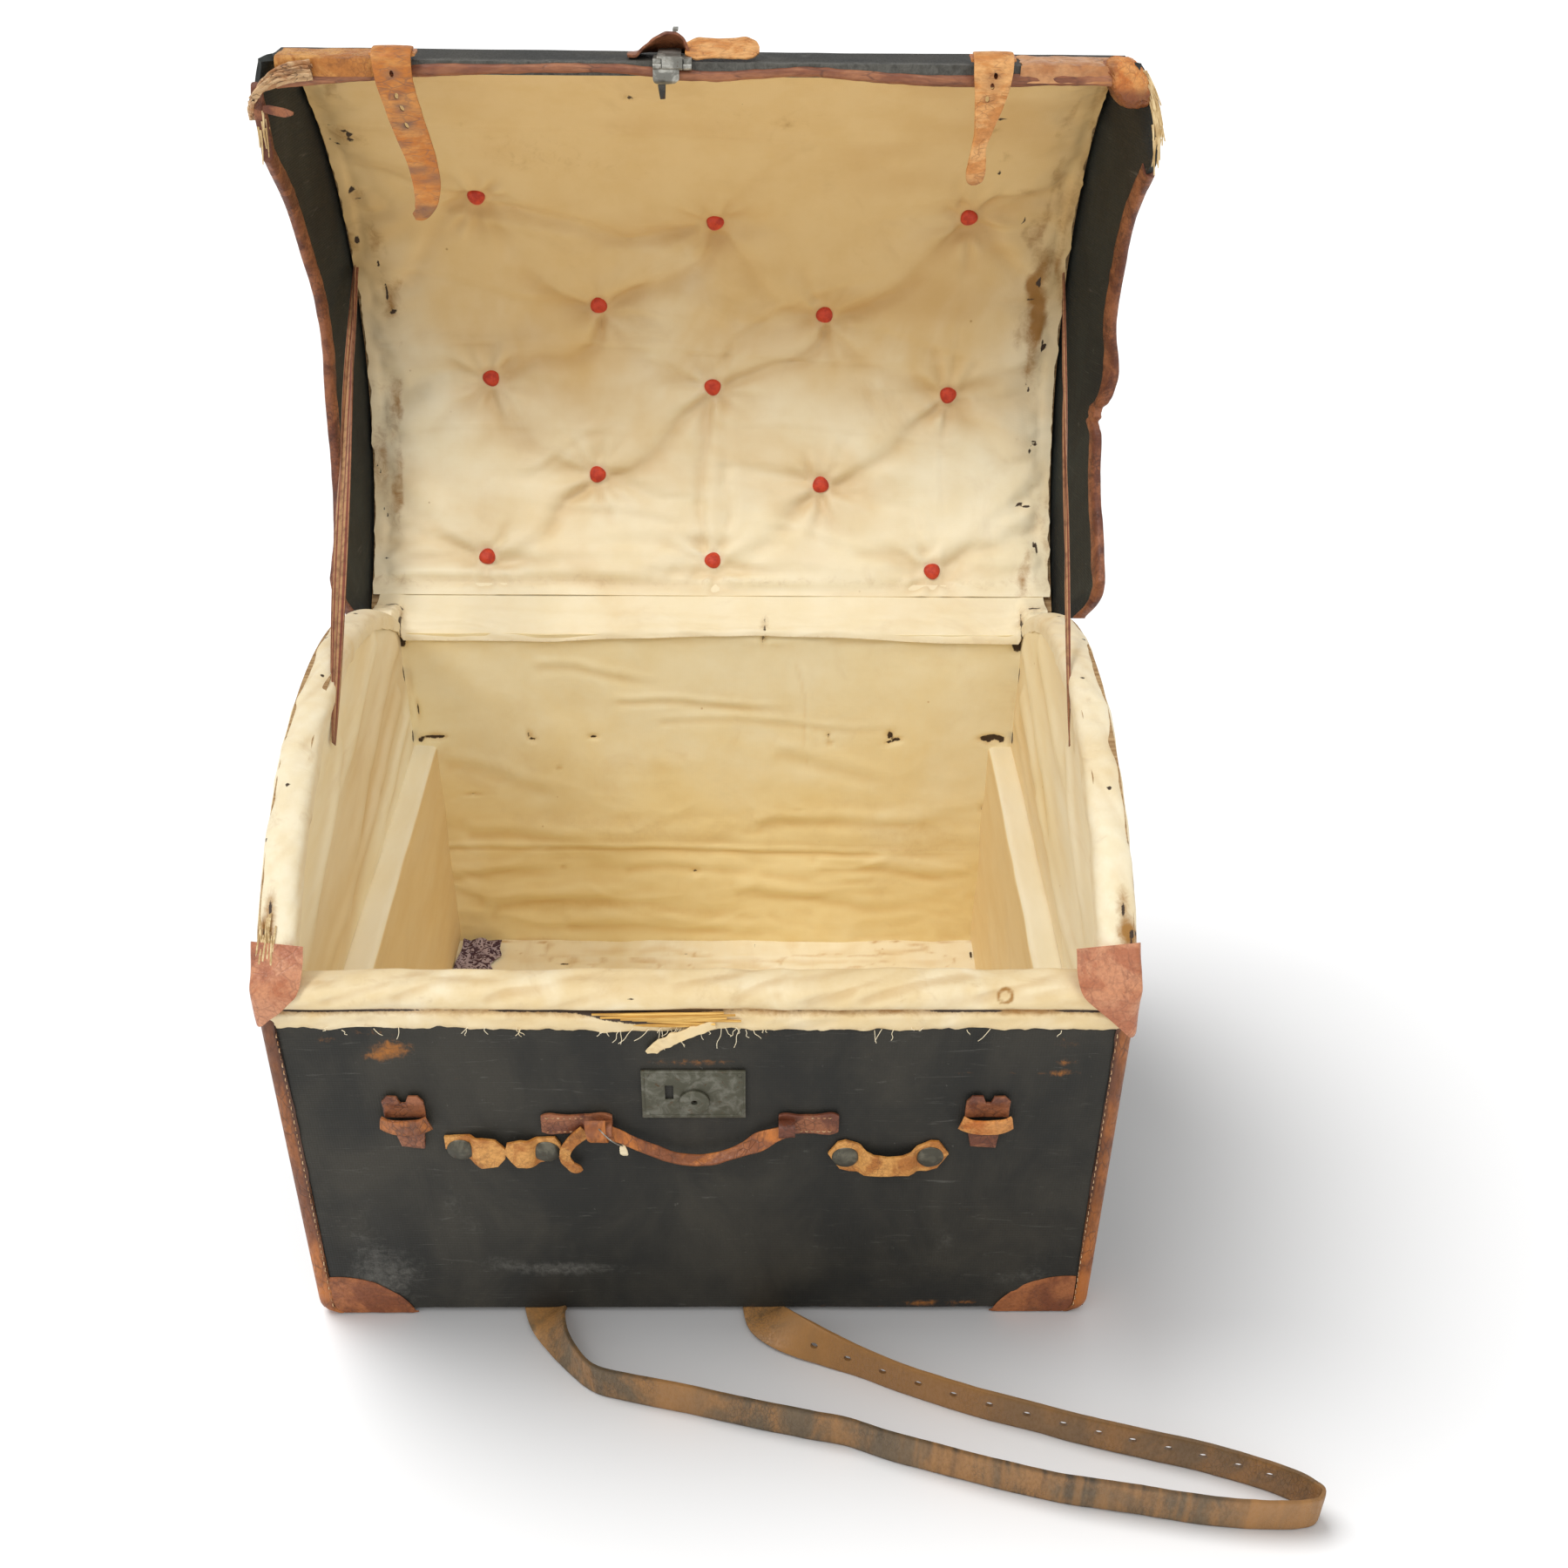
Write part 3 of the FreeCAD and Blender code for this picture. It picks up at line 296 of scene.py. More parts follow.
def move(piece: bpy.types.Object, points: np.ndarray) -> None:
    """Put the piece's points at these places in millimetres."""
    piece.data.vertices.foreach_set("co", (points * MM).ravel())
    piece.data.update()


def press(piece: bpy.types.Object, limit: float) -> None:
    """Keep the piece's points in front of a depth along Y."""
    points = spots(piece)
    points[:, 1] = np.minimum(points[:, 1], limit)
    move(piece, points)


def paint(piece: bpy.types.Object, name: str, values: np.ndarray) -> None:
    """Store one number for each point, for a material to read."""
    layer = piece.data.attributes.new(name, "FLOAT", "POINT")
    layer.data.foreach_set("value", np.clip(values, 0, 1).astype(np.float32))


def taken(piece: bpy.types.Object, name: str) -> np.ndarray:
    """Read the numbers stored for each point under this name and remove them.

    Args:
        piece: Object to work on.
        name: Name that they are stored under.

    Returns:
        One number for each point.
    """
    layer = piece.data.attributes[name]
    values = np.empty(len(piece.data.vertices), np.float32)
    layer.data.foreach_get("value", values)
    piece.data.attributes.remove(layer)
    return values.astype(float)


def named(name: str) -> bpy.types.Object:
    """Name the newly added primitive and its mesh.

    Args:
        name: Name of the piece.

    Returns:
        The primitive.
    """
    piece = bpy.context.object
    piece.name = name
    piece.data.name = name
    return piece


def apply(piece: bpy.types.Object, kind: str, **settings: object) -> None:
    """Add a modifier, set it and apply it.

    Args:
        piece: Object to change.
        kind: Modifier type.
        **settings: Its properties.
    """
    take(piece)
    modifier = piece.modifiers.new(kind.title(), kind)
    for key, value in settings.items():
        setattr(modifier, key, value)
    bpy.ops.object.modifier_apply(modifier=modifier.name)


def bevel(piece: bpy.types.Object, width: float, segments: int = 2, angle: float = 35) -> None:
    """Round the piece's edges by a width in millimetres."""
    apply(piece, "BEVEL", width=width * MM, segments=segments, limit_method="ANGLE",
          angle_limit=math.radians(angle))


def thicken(piece: bpy.types.Object, thick: float, offset: float = -1) -> None:
    """Give a sheet its thickness in millimetres, away from its face unless offset is 1."""
    apply(piece, "SOLIDIFY", thickness=thick * MM, offset=offset)


def turn_to(piece: bpy.types.Object, way: Sequence[float]) -> None:
    """Flip the faces if they look away from a direction on the whole.

    Args:
        piece: Object to work on.
        way: Direction to look in.
    """
    total = sum((face.normal * face.area for face in piece.data.polygons), Vector())
    if total.dot(Vector(way)) < 0:
        edit(piece)
        bpy.ops.mesh.flip_normals()
        leave()


def grid(name: str, columns: int, rows: int, shape: Shape) -> bpy.types.Object:
    """Add a grid and put each point where the shape says, from its two shares.

    Args:
        name: Name of the piece.
        columns: Cells along the first direction.
        rows: Cells along the second.
        shape: Gives the place of each point from its two shares.

    Returns:
        The new object.
    """
    deselect()
    bpy.ops.mesh.primitive_grid_add(x_subdivisions=columns, y_subdivisions=rows, size=1)
    piece = named(name)
    start = spots(piece) * MM + 0.5
    move(piece, shape(start[:, 0], start[:, 1]))
    return piece


def ball(name: str, radius: float, segments: int, rings: int) -> bpy.types.Object:
    """Add a ball in millimetres at the origin.

    Args:
        name: Name of the piece.
        radius: Its radius.
        segments: Divisions round it.
        rings: Divisions from pole to pole.

    Returns:
        The new object.
    """
    deselect()
    bpy.ops.mesh.primitive_uv_sphere_add(segments=segments, ring_count=rings, radius=radius * MM,
                                         location=(0, 0, 0))
    return named(name)


def dome_of(name: str, radius: float, cut: float, segments: int, rings: int) -> bpy.types.Object:
    """Add a ball cut level at a height, for the head of a button or a rivet.

    Args:
        name: Name of the piece.
        radius: Radius of the ball.
        cut: Height of the cut.
        segments: Divisions round it.
        rings: Divisions from pole to pole.

    Returns:
        The new object.
    """
    piece = ball(name, radius, segments, rings)
    edit(piece)
    bpy.ops.mesh.bisect(plane_co=(0, 0, cut * MM), plane_no=(0, 0, 1), use_fill=True, clear_inner=True)
    leave()
    return piece


def block(name: str, cuts: int) -> bpy.types.Object:
    """Add a finely divided cube that reaches 1 metre each way, to be shaped.

    Args:
        name: Name of the piece.
        cuts: Cuts in each edge.

    Returns:
        The new object.
    """
    deselect()
    bpy.ops.mesh.primitive_cube_add(size=2, location=(0, 0, 0))
    piece = named(name)
    edit(piece)
    bpy.ops.mesh.subdivide(number_cuts=cuts)
    leave()
    return piece


def rod(name: str, sides: int, radius: float, length: float) -> bpy.types.Object:
    """Add an upright cylinder in millimetres at the origin.

    Args:
        name: Name of the piece.
        sides: Number of sides.
        radius: Its radius.
        length: Its length.

    Returns:
        The new object.
    """
    deselect()
    bpy.ops.mesh.primitive_cylinder_add(vertices=sides, radius=radius * MM, depth=length * MM,
                                        location=(0, 0, 0))
    return named(name)


def cut_out(piece: bpy.types.Object, tool: bpy.types.Object) -> None:
    """Cut a tool's shape out of a piece and remove the tool."""
    apply(piece, "BOOLEAN", operation="DIFFERENCE", object=tool, solver="EXACT")
    bpy.data.objects.remove(tool)


def sheet(name: str, columns: int, rows: int, shape: Shape, way: Sequence[float]) -> bpy.types.Object:
    """Model an open sheet from a grid.

    Args:
        name: Name of the piece.
        columns: Cells along the first direction.
        rows: Cells along the second.
        shape: Gives the place of each point from its two shares.
        way: Direction that the sheet's face looks on the whole.

    Returns:
        The new object.
    """
    piece = grid(name, columns, rows, shape)
    turn_to(piece, way)
    return piece


def band(name: str, columns: int, rows: int, shape: Shape) -> bpy.types.Object:
    """Model a closed strip or bar from a grid whose rows go round it.

    Args:
        name: Name of the piece.
        columns: Cells along it.
        rows: Cells round it.
        shape: Gives the place of each point from its share along and its share round.

    Returns:
        The new object.
    """
    piece = grid(name, columns, rows, shape)
    edit(piece)
    bpy.ops.mesh.remove_doubles(threshold=2e-6)
    bpy.ops.mesh.fill_holes(sides=0)
    bpy.ops.mesh.normals_make_consistent(inside=False)
    leave()
    return piece


@dataclass(frozen=True)
class Strip:
    """A flat strip of leather or tape along a smooth line.

    Each knot is x, y, z, then the direction across the strip as three numbers,
    then its width and thickness, in millimetres.
    """
    name: str
    knots: Sequence[Sequence[float]]
    cells: int = 40
    girth: int = 20
    square: float = 0.3

    def build(self) -> bpy.types.Object:
        """Model the strip and return it.

        Returns:
            The new object.
        """
        def shape(along: np.ndarray, turn: np.ndarray) -> np.ndarray:
            """Points round the strip at each place along it.

            Args:
                along: Share along the piece for each point.
                turn: Share round its cross-section for each point.

            Returns:
                The points in millimetres.
            """
            rows = smooth_line(self.knots, along)
            ahead = smooth_line(self.knots, along + 1e-3) - smooth_line(self.knots, along - 1e-3)
            ahead = ahead[:, :3] / np.linalg.norm(ahead[:, :3], axis=1)[:, None]
            across = rows[:, 3:6] - ahead * np.sum(rows[:, 3:6] * ahead, axis=1)[:, None]
            across /= np.linalg.norm(across, axis=1)[:, None]
            through = np.cross(ahead, across)
            a, b = section(turn, rows[:, 6] / 2, rows[:, 7] / 2, self.square)
            return rows[:, :3] + across * a[:, None] + through * b[:, None]
        return band(self.name, self.cells, self.girth, shape)


def weather(piece: bpy.types.Object, amount: float, size: float, seed: int) -> None:
    """Push the piece out of true by smooth amounts in millimetres."""
    points = spots(piece)
    move(piece, points + drift(points, size, seed) * amount)


def copy_of(node: str, name: str) -> bpy.types.Object:
    """Copy a solid as a clean mesh.

    Args:
        node: Name of the solid.
        name: Name of the copy.

    Returns:
        The copy, riding on nothing.
    """
    deselect()
    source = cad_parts[node]
    piece = bpy.data.objects.new(name, source.data.copy())
    piece.data.name = name
    piece.data.materials.clear()
    bpy.context.scene.collection.objects.link(piece)
    edit(piece)
    bpy.ops.mesh.remove_doubles(threshold=2e-5)
    bpy.ops.mesh.dissolve_limited(angle_limit=math.radians(1.5))
    bpy.ops.mesh.normals_make_consistent(inside=False)
    leave()
    return piece


def join(pieces: Sequence[bpy.types.Object], name: str) -> bpy.types.Object:
    """Join pieces into one object of this name.

    Args:
        pieces: Objects to join.
        name: Name of the piece.

    Returns:
        The joined object.
    """
    take(pieces[0])
    for piece in pieces:
        piece.select_set(True)
    bpy.ops.object.join()
    return named(name)


def dress(piece: bpy.types.Object, material: bpy.types.Material,
          body: Optional[Body] = Body.TRUNK, nodes: Sequence[str] = (),
          smooth: float = 45) -> bpy.types.Object:
    """Give a finished piece its material and its place on a body.

    Args:
        piece: Finished piece.
        material: Its finish.
        body: Body that it moves with, or None for a piece that rides on no body.
        nodes: Solids that it stands for.
        smooth: Largest angle in degrees over which its faces are shaded as one.

    Returns:
        The same piece.
    """
    take(piece)
    bpy.ops.object.shade_smooth_by_angle(angle=math.radians(smooth))
    piece.data.materials.clear()
    piece.data.materials.append(material)
    if body:
        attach(piece, body.value)
    if nodes:
        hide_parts(*nodes)
    return piece


def coat(nodes: Sequence[str], material: bpy.types.Material) -> None:
    """Give solids that stay as they are a finish.

    Args:
        nodes: Names of the solids.
        material: Their finish.
    """
    for node in nodes:
        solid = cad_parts[node]
        solid.data.materials.clear()
        solid.data.materials.append(material)


# ---------------------------------------------------------------- finishes
def add_node(tree: bpy.types.NodeTree, kind: str, inputs: dict, output: int | str = 0,
             **settings: object) -> Optional[bpy.types.NodeSocket]:
    """Add a node to a tree.

    Args:
        tree: Tree of a material or of the world.
        kind: Node type.
        inputs: Values or outputs of other nodes for its inputs.
        output: Which output to return.
        **settings: Its properties.

    Returns:
        The chosen output, or None for a node that has none.
    """
    node = tree.nodes.new(kind)
    for key, value in settings.items():
        setattr(node, key, value)
    for key, value in inputs.items():
        if isinstance(value, bpy.types.NodeSocket):
            tree.links.new(value, node.inputs[key])
        else:
            node.inputs[key].default_value = value
    return node.outputs[output] if node.outputs else None


class Recipe:
    """A material being mixed: each method adds one step and returns its output."""

    def __init__(self, name: str) -> None:
        """Start a material that reads places on the object itself.

        Args:
            name: Name of the material.
        """
        self.material = bpy.data.materials.new(name)
        self.material.use_nodes = True
        self.tree = self.material.node_tree
        self.tree.nodes.clear()
        self.place = self.step("ShaderNodeTexCoord", {}, "Object")

    def step(self, kind: str, inputs: dict, output: int | str = 0,
             **settings: object) -> Optional[bpy.types.NodeSocket]:
        """Add a node to this material, as add_node does."""
        return add_node(self.tree, kind, inputs, output, **settings)

    def share(self, value: bpy.types.NodeSocket, amount: object) -> bpy.types.NodeSocket:
        """A value times an amount."""
        return self.sum("MULTIPLY", value, amount)

    def scaled(self, size: float | Sequence[float], turn: float = 0,
               shift: float = 0) -> bpy.types.NodeSocket:
        """Coordinates in which a feature of this size in millimetres is one unit.

        Args:
            size: Size of a feature, one number or one for each axis.
            turn: Turn about Y in radians.
            shift: Offset that gives another pattern.

        Returns:
            The coordinates.
        """
        sizes = (size,) * 3 if isinstance(size, (int, float)) else size
        return self.step("ShaderNodeMapping", {
            "Vector": self.place, "Scale": [1000 / s for s in sizes], "Rotation": (0, turn, 0),
            "Location": (shift, shift * 0.7, shift * 1.3)})

    def noise(self, size: float | Sequence[float], detail: float = 3, rough: float = 0.5,
              warp: float = 0, shift: float = 0, turn: float = 0) -> bpy.types.NodeSocket:
        """Cloudy variation with features of this size in millimetres."""
        return self.step("ShaderNodeTexNoise", {
            "Vector": self.scaled(size, turn, shift), "Scale": 1.0, "Detail": detail, "Roughness": rough,
            "Distortion": warp})

    def cells(self, size: float | Sequence[float], edge: bool = True) -> bpy.types.NodeSocket:
        """Cell pattern: distance to the nearest edge, or to the nearest centre."""
        return self.step("ShaderNodeTexVoronoi", {"Vector": self.scaled(size), "Scale": 1.0},
                         "Distance", feature="DISTANCE_TO_EDGE" if edge else "F1")

    def threads(self, spacing: float) -> bpy.types.NodeSocket:
        """A plain weave's relief, from threads this far apart along each axis.

        Args:
            spacing: Distance between threads in millimetres.

        Returns:
            The relief.
        """
        total = None
        for axis in "XYZ":
            wave = self.step("ShaderNodeTexWave", {"Vector": self.scaled(spacing * WAVE), "Scale": 1.0,
                                                   "Distortion": 0.0}, "Fac", bands_direction=axis)
            total = wave if total is None else self.sum("ADD", total, wave)
        return total

    def band(self, value: bpy.types.NodeSocket, low: float, high: float, bottom: float = 0,
             top: float = 1) -> bpy.types.NodeSocket:
        """A smooth step of the value from low to high, mapped to bottom and top."""
        return self.step("ShaderNodeMapRange", {
            "Value": value, "From Min": low, "From Max": high, "To Min": bottom, "To Max": top},
            interpolation_type="SMOOTHSTEP")

    def sum(self, operation: str, first: object, second: object = 0.0) -> bpy.types.NodeSocket:
        """Arithmetic on two values."""
        return self.step("ShaderNodeMath", {0: first, 1: second}, operation=operation)

    def mix(self, share: object, first: object, second: object, blend: str = "MIX") -> bpy.types.NodeSocket:
        """Blend two colours by a share.

        Args:
            share: How much of the second colour.
            first: First colour.
            second: Second colour.
            blend: How they are blended.

        Returns:
            The blended colour.
        """
        first, second = (value if isinstance(value, bpy.types.NodeSocket) else (*value, 1)
                         for value in (first, second))
        return self.step("ShaderNodeMix", {0: share, 6: first, 7: second}, 2, data_type="RGBA",
                         blend_type=blend)

    def layer(self, name: str) -> bpy.types.NodeSocket:
        """The number stored on the mesh under this name, or 0 where there is none."""
        return self.step("ShaderNodeAttribute", {}, "Fac", attribute_name=name)

    def bump(self, relief: bpy.types.NodeSocket, depth: float, strength: float = 1,
             over: Optional[bpy.types.NodeSocket] = None) -> bpy.types.NodeSocket:
        """Surface relief of this depth in millimetres.

        Args:
            relief: Height pattern from 0 to 1.
            depth: Depth of the relief.
            strength: How much of it shows.
            over: Relief that it lies on.

        Returns:
            The relief.
        """
        inputs = {"Height": relief, "Distance": depth * MM, "Strength": strength}
        if over:
            inputs["Normal"] = over
        return self.step("ShaderNodeBump", inputs)

    def done(self, colour: object, rough: object, normal: Optional[bpy.types.NodeSocket] = None,
             **shader: float) -> bpy.types.Material:
        """Finish the material.

        Args:
            colour: Base colour.
            rough: Roughness.
            normal: Relief.
            **shader: Other shader values, with underscores for spaces.

        Returns:
            The finished material.
        """
        inputs = {"Base Color": colour, "Roughness": rough}
        if normal:
            inputs["Normal"] = normal
        inputs.update({key.replace("_", " "): value for key, value in shader.items()})
        surface = self.step("ShaderNodeBsdfPrincipled", inputs)
        self.step("ShaderNodeOutputMaterial", {"Surface": surface})
        return self.material


@dataclass(frozen=True)
class Cotton:
    """Glazed cotton lining gone yellow, with water stains, specks and faint creases, and painted shade in its
    creases, holes and shaded faces.
    """
    name: str
    pale: Colour
    tan: Colour
    stain: Colour = (0.36, 0.17, 0.035)
    # Near-black painted into tears and holes as the shade of the gap behind them.
    black: Colour = (0.05, 0.028, 0.015)
    blotch: float = 0.2
    cloud: float = 140
    speck: float = 0.6
    stretch: Sequence[float] = (40, 40, 30)
    crease: float = 1.2
    # Colour multiplied into creases and hollows as painted shade.
    fold: Colour = (0.66, 0.47, 0.25)
    ragged: float = 0.9
    along: float = 1.0

    def size(self, share: float) -> list[float]:
        """A share of the cloud size, drawn out from front to back."""
        return [self.cloud * share, self.cloud * share * self.along, self.cloud * share]

    def make(self) -> bpy.types.Material:
        """Mix the material and return it.

        Returns:
            The finished material.
        """
        mix = Recipe(self.name)
        # Painted shade and yellowing: the stored age layer turns the cloth tan where it has aged and where
        # shade is painted.
        cloud = mix.sum("ADD", mix.noise(self.size(1), 4, 0.55, 0.6), mix.share(mix.layer("age"), 0.5))
        colour = mix.mix(mix.band(cloud, 0.42, 0.86), self.pale, self.tan)
        mottle = mix.band(mix.noise(self.size(0.25), 4, 0.6, shift=3), 0.3, 0.75)
        colour = mix.mix(mottle, colour, (0.96, 0.93, 0.86), "MULTIPLY")
        # Painted shade: where the mesh marks creases, hollows and shaded corners, the colour is multiplied by
        # the fold colour.
        colour = mix.mix(mix.layer("crease"), colour, self.fold, "MULTIPLY")
        rings = mix.band(mix.noise(self.size(0.55), 5, 0.62, 0.9, shift=9), 0.54, 0.72)
        colour = mix.mix(mix.share(rings, self.blotch), colour, self.stain)
        dots = mix.band(mix.cells(30, False), 0.05, 0.02)
        keep = mix.band(mix.noise(60, 2, shift=21), 0.54, 0.60)
        colour = mix.mix(mix.share(mix.share(dots, keep), self.speck), colour, self.stain)
        ragged = mix.noise(9, 6, 0.72, 0.8, shift=5)
        wisp = mix.share(mix.sum("SUBTRACT", ragged, 0.5), self.ragged)
        # Stained where soil is marked; along the front rim's groove this darkening is painted shade.
        seen = mix.band(mix.layer("soil_and_shade"), 0.02, 0.12)
        soiled = mix.band(mix.sum("ADD", mix.layer("soil_and_shade"), wisp), 0.12, 0.95)
        colour = mix.mix(mix.share(soiled, seen), colour, self.stain)
        # Painted shade: tears, holes and slits are painted near-black for the dark gap behind them.
        shred = mix.noise(3.4, 5, 0.75, 0.5, shift=6)
        torn = mix.band(mix.share(mix.layer("tear"), mix.sum("ADD", shred, 0.42)), 0.50, 0.66)
        colour = mix.mix(torn, colour, self.black)
        relief = mix.bump(mix.noise(self.stretch, 3, 0.5, 0.5, shift=2), self.crease, 0.6)
        relief = mix.bump(mix.noise(2.6, 3, 0.6, shift=8), 0.05, 0.5, relief)
        relief = mix.bump(mix.threads(0.7), 0.05, 0.25, relief)
        return mix.done(colour, mix.band(mottle, 0, 1, 0.50, 0.66), relief, Specular_IOR_Level=0.35,
                        Sheen_Weight=0.06, Sheen_Roughness=0.5)


@dataclass(frozen=True)
class WaxedCanvas:
    """Blackened canvas, rubbed grey and rust-marked."""
    name: str
    dark: Colour = (0.009, 0.0088, 0.0066)
    faded: Colour = (0.034, 0.030, 0.021)
    dust: Colour = (0.13, 0.125, 0.108)
    rust: Colour = (0.36, 0.13, 0.02)

    def make(self) -> bpy.types.Material:
        """Mix the material and return it.

        Returns:
            The finished material.
        """
        mix = Recipe(self.name)
        colour = mix.mix(mix.band(mix.noise((70, 70, 120), 5, 0.6, 0.5), 0.34, 0.7), self.dark, self.faded)
        streak = mix.band(mix.noise((3.2, 3.2, 90), 3, 0.6, shift=4), 0.35, 0.75)
        colour = mix.mix(mix.share(streak, 0.04), colour, self.faded)
        grain = mix.band(mix.noise(1.6, 2, 0.6, shift=1), 0.35, 0.7)
        colour = mix.mix(mix.share(grain, 0.22), colour, (0.05, 0.048, 0.040))
        scuff = mix.band(mix.noise((46, 46, 5), 5, 0.7, 1.2, shift=12, turn=0.5), 0.60, 0.74)
        fleck = mix.band(mix.noise(5, 3, 0.6, 0.6, shift=15), 0.70, 0.76)
        colour = mix.mix(mix.share(fleck, 0.4), colour, self.dust)
        colour = mix.mix(mix.share(scuff, 0.45), colour, self.dust)
        ragged = mix.noise(6, 5, 0.72, 0.6, shift=5)
        wisp = mix.share(mix.sum("SUBTRACT", ragged, 0.5), 1.4)
        pale = mix.band(mix.sum("ADD", mix.layer("tear"), wisp), 0.20, 1.25)
        colour = mix.mix(mix.share(pale, mix.band(mix.layer("tear"), 0.03, 0.5)), colour, self.dust)
        marked = mix.band(mix.sum("ADD", mix.layer("soil_and_shade"), wisp), 0.3, 1.0)
        colour = mix.mix(mix.share(marked, mix.band(mix.layer("soil_and_shade"), 0.05, 0.4)), colour, self.rust)
        relief = mix.bump(mix.noise((55, 55, 35), 3, 0.5, 0.4, shift=7), 1.6, 0.6)
        relief = mix.bump(mix.noise(4, 4, 0.6, shift=3), 0.16, 0.6, relief)
        relief = mix.bump(mix.threads(1.0), 0.14, 0.5, relief)
        return mix.done(colour, mix.band(grain, 0, 1, 0.62, 0.76), relief, Specular_IOR_Level=0.4)


@dataclass(frozen=True)
class Leather:
    """Old hide, rubbed pale on its high places and dark in its cracks."""
    name: str
    base: Colour
    worn: Colour
    dark: Colour
    patch: float = 26
    crack: float = 5
    cracks: float = 0.55
    gloss: float = 0.52
    grain: Sequence[float] = (1, 1, 1)
    wear: float = 0.5

    def make(self) -> bpy.types.Material:
        """Mix the material and return it.

        Returns:
            The finished material.
        """
        mix = Recipe(self.name)
        stretch = [self.patch * g for g in self.grain]
        shade = mix.band(mix.noise(stretch, 5, 0.62, 0.8), 0.40, 0.60)
        colour = mix.mix(shade, self.base, self.worn)
        deep = mix.band(mix.noise([s * 0.45 for s in stretch], 4, 0.65, 0.6, shift=6), 0.52, 0.72)
        colour = mix.mix(mix.share(deep, self.wear), colour, self.dark)
        fine = mix.band(mix.noise([2.2 * g for g in self.grain], 4, 0.7, shift=2), 0.35, 0.7)
        colour = mix.mix(mix.share(fine, 0.3), colour, self.dark)
        net = mix.band(mix.cells([self.crack * g for g in self.grain]), 0.09, 0.0)
        some = mix.band(mix.noise(self.patch * 0.8, 2, shift=14), 0.42, 0.6)
        lines = mix.share(net, some)
        colour = mix.mix(mix.share(lines, self.cracks), colour, self.dark)
        # Darker where soil is marked; round the billets' punched holes and similar places this is painted
        # shade.
        colour = mix.mix(mix.layer("soil_and_shade"), colour, self.dark)
        colour = mix.mix(mix.layer("rub"), colour, self.worn)
        relief = mix.bump(mix.noise([self.patch * 0.3 * g for g in self.grain], 4, 0.6, 0.4), 0.7, 0.6)
        relief = mix.bump(fine, 0.16, 0.6, relief)
        relief = mix.bump(mix.sum("SUBTRACT", 1.0, lines), 0.35, self.cracks, relief)
        return mix.done(colour, mix.band(fine, 0, 1, self.gloss - 0.08, self.gloss + 0.14), relief,
                        Specular_IOR_Level=0.45)


@dataclass(frozen=True)
class Metal:
    """Tarnished metal with a dull skin and rust in its pits."""
    name: str
    skin: Colour
    bright: Colour
    rust: Colour = (0.10, 0.045, 0.015)
    metallic: float = 0.75
    gloss: float = 0.42

    def make(self) -> bpy.types.Material:
        """Mix the material and return it.

        Returns:
            The finished material.
        """
        mix = Recipe(self.name)
        shade = mix.band(mix.noise(11, 5, 0.65, 0.6), 0.42, 0.66)
        colour = mix.mix(shade, self.skin, self.bright)
        pits = mix.band(mix.noise(4, 5, 0.7, 0.8, shift=5), 0.58, 0.70)
        colour = mix.mix(mix.share(pits, 0.7), colour, self.rust)
        scratch = mix.band(mix.noise((9, 9, 0.6), 2, 0.5, shift=3, turn=0.7), 0.66, 0.74)
        colour = mix.mix(mix.share(scratch, 0.4), colour, self.bright)
        relief = mix.bump(mix.noise(3, 4, 0.65), 0.12, 0.6)
        return mix.done(colour, mix.band(pits, 0, 1, self.gloss, 0.8), relief, Metallic=self.metallic)


@dataclass(frozen=True)
class Timber:
    """Sawn pine or split cane, streaked along one axis."""
    name: str
    light: Colour
    dark: Colour
    run: Sequence[float] = (60, 3, 3)

    def make(self) -> bpy.types.Material:
        """Mix the material and return it.

        Returns:
            The finished material.
        """
        mix = Recipe(self.name)
        rings = mix.band(mix.noise(self.run, 5, 0.6, 0.4), 0.35, 0.65)
        colour = mix.mix(rings, self.light, self.dark)
        pores = mix.band(mix.noise([r * 0.3 for r in self.run], 3, 0.7, shift=4), 0.55, 0.75)
        colour = mix.mix(mix.share(pores, 0.5), colour, self.dark)
        return mix.done(colour, mix.band(rings, 0, 1, 0.55, 0.75), mix.bump(rings, 0.2, 0.5),
                        Specular_IOR_Level=0.35)


@dataclass(frozen=True)
class StripedTape:
    """Woven tape with red and tan stripes along it, which follow its own map."""
    name: str
    red: Colour = (0.22, 0.055, 0.028)
    tan: Colour = (0.46, 0.25, 0.11)
    stripes: float = 6

    def make(self) -> bpy.types.Material:
        """Mix the material and return it.

        Returns:
            The finished material.
        """
        mix = Recipe(self.name)
        own = mix.step("ShaderNodeTexCoord", {}, "UV")
        across = mix.step("ShaderNodeSeparateXYZ", {"Vector": own}, "Y")
        wave = mix.sum("SINE", mix.share(across, WAVE * self.stripes))
        colour = mix.mix(mix.band(wave, -0.2, 0.4), self.red, self.tan)
        dirt = mix.band(mix.noise((6, 6, 24), 4, 0.65), 0.4, 0.7)
        colour = mix.mix(mix.share(dirt, 0.55), colour, (0.10, 0.035, 0.02))
        return mix.done(colour, mix.band(dirt, 0, 1, 0.8, 0.9), mix.bump(mix.noise((1, 1, 1.6), 2), 0.2, 0.7),
                        Sheen_Weight=0.1)


@dataclass(frozen=True)
class Scrap:
    """Worn printed cotton: small dark leaves on plum."""
    name: str

    def make(self) -> bpy.types.Material:
        """Mix the material and return it.

        Returns:
            The finished material.
        """
        mix = Recipe(self.name)
        leaves = mix.band(mix.noise(7, 2, 0.5, 2.2), 0.47, 0.53)
        colour = mix.mix(leaves, (0.05, 0.02, 0.035), (0.42, 0.34, 0.38))
        colour = mix.mix(mix.band(mix.noise(18, 4, 0.6, shift=3), 0.5, 0.7), colour, (0.11, 0.06, 0.08))
        return mix.done(colour, mix.band(leaves, 0, 1, 0.8, 0.9), mix.bump(mix.noise(6, 4), 0.6, 0.7))


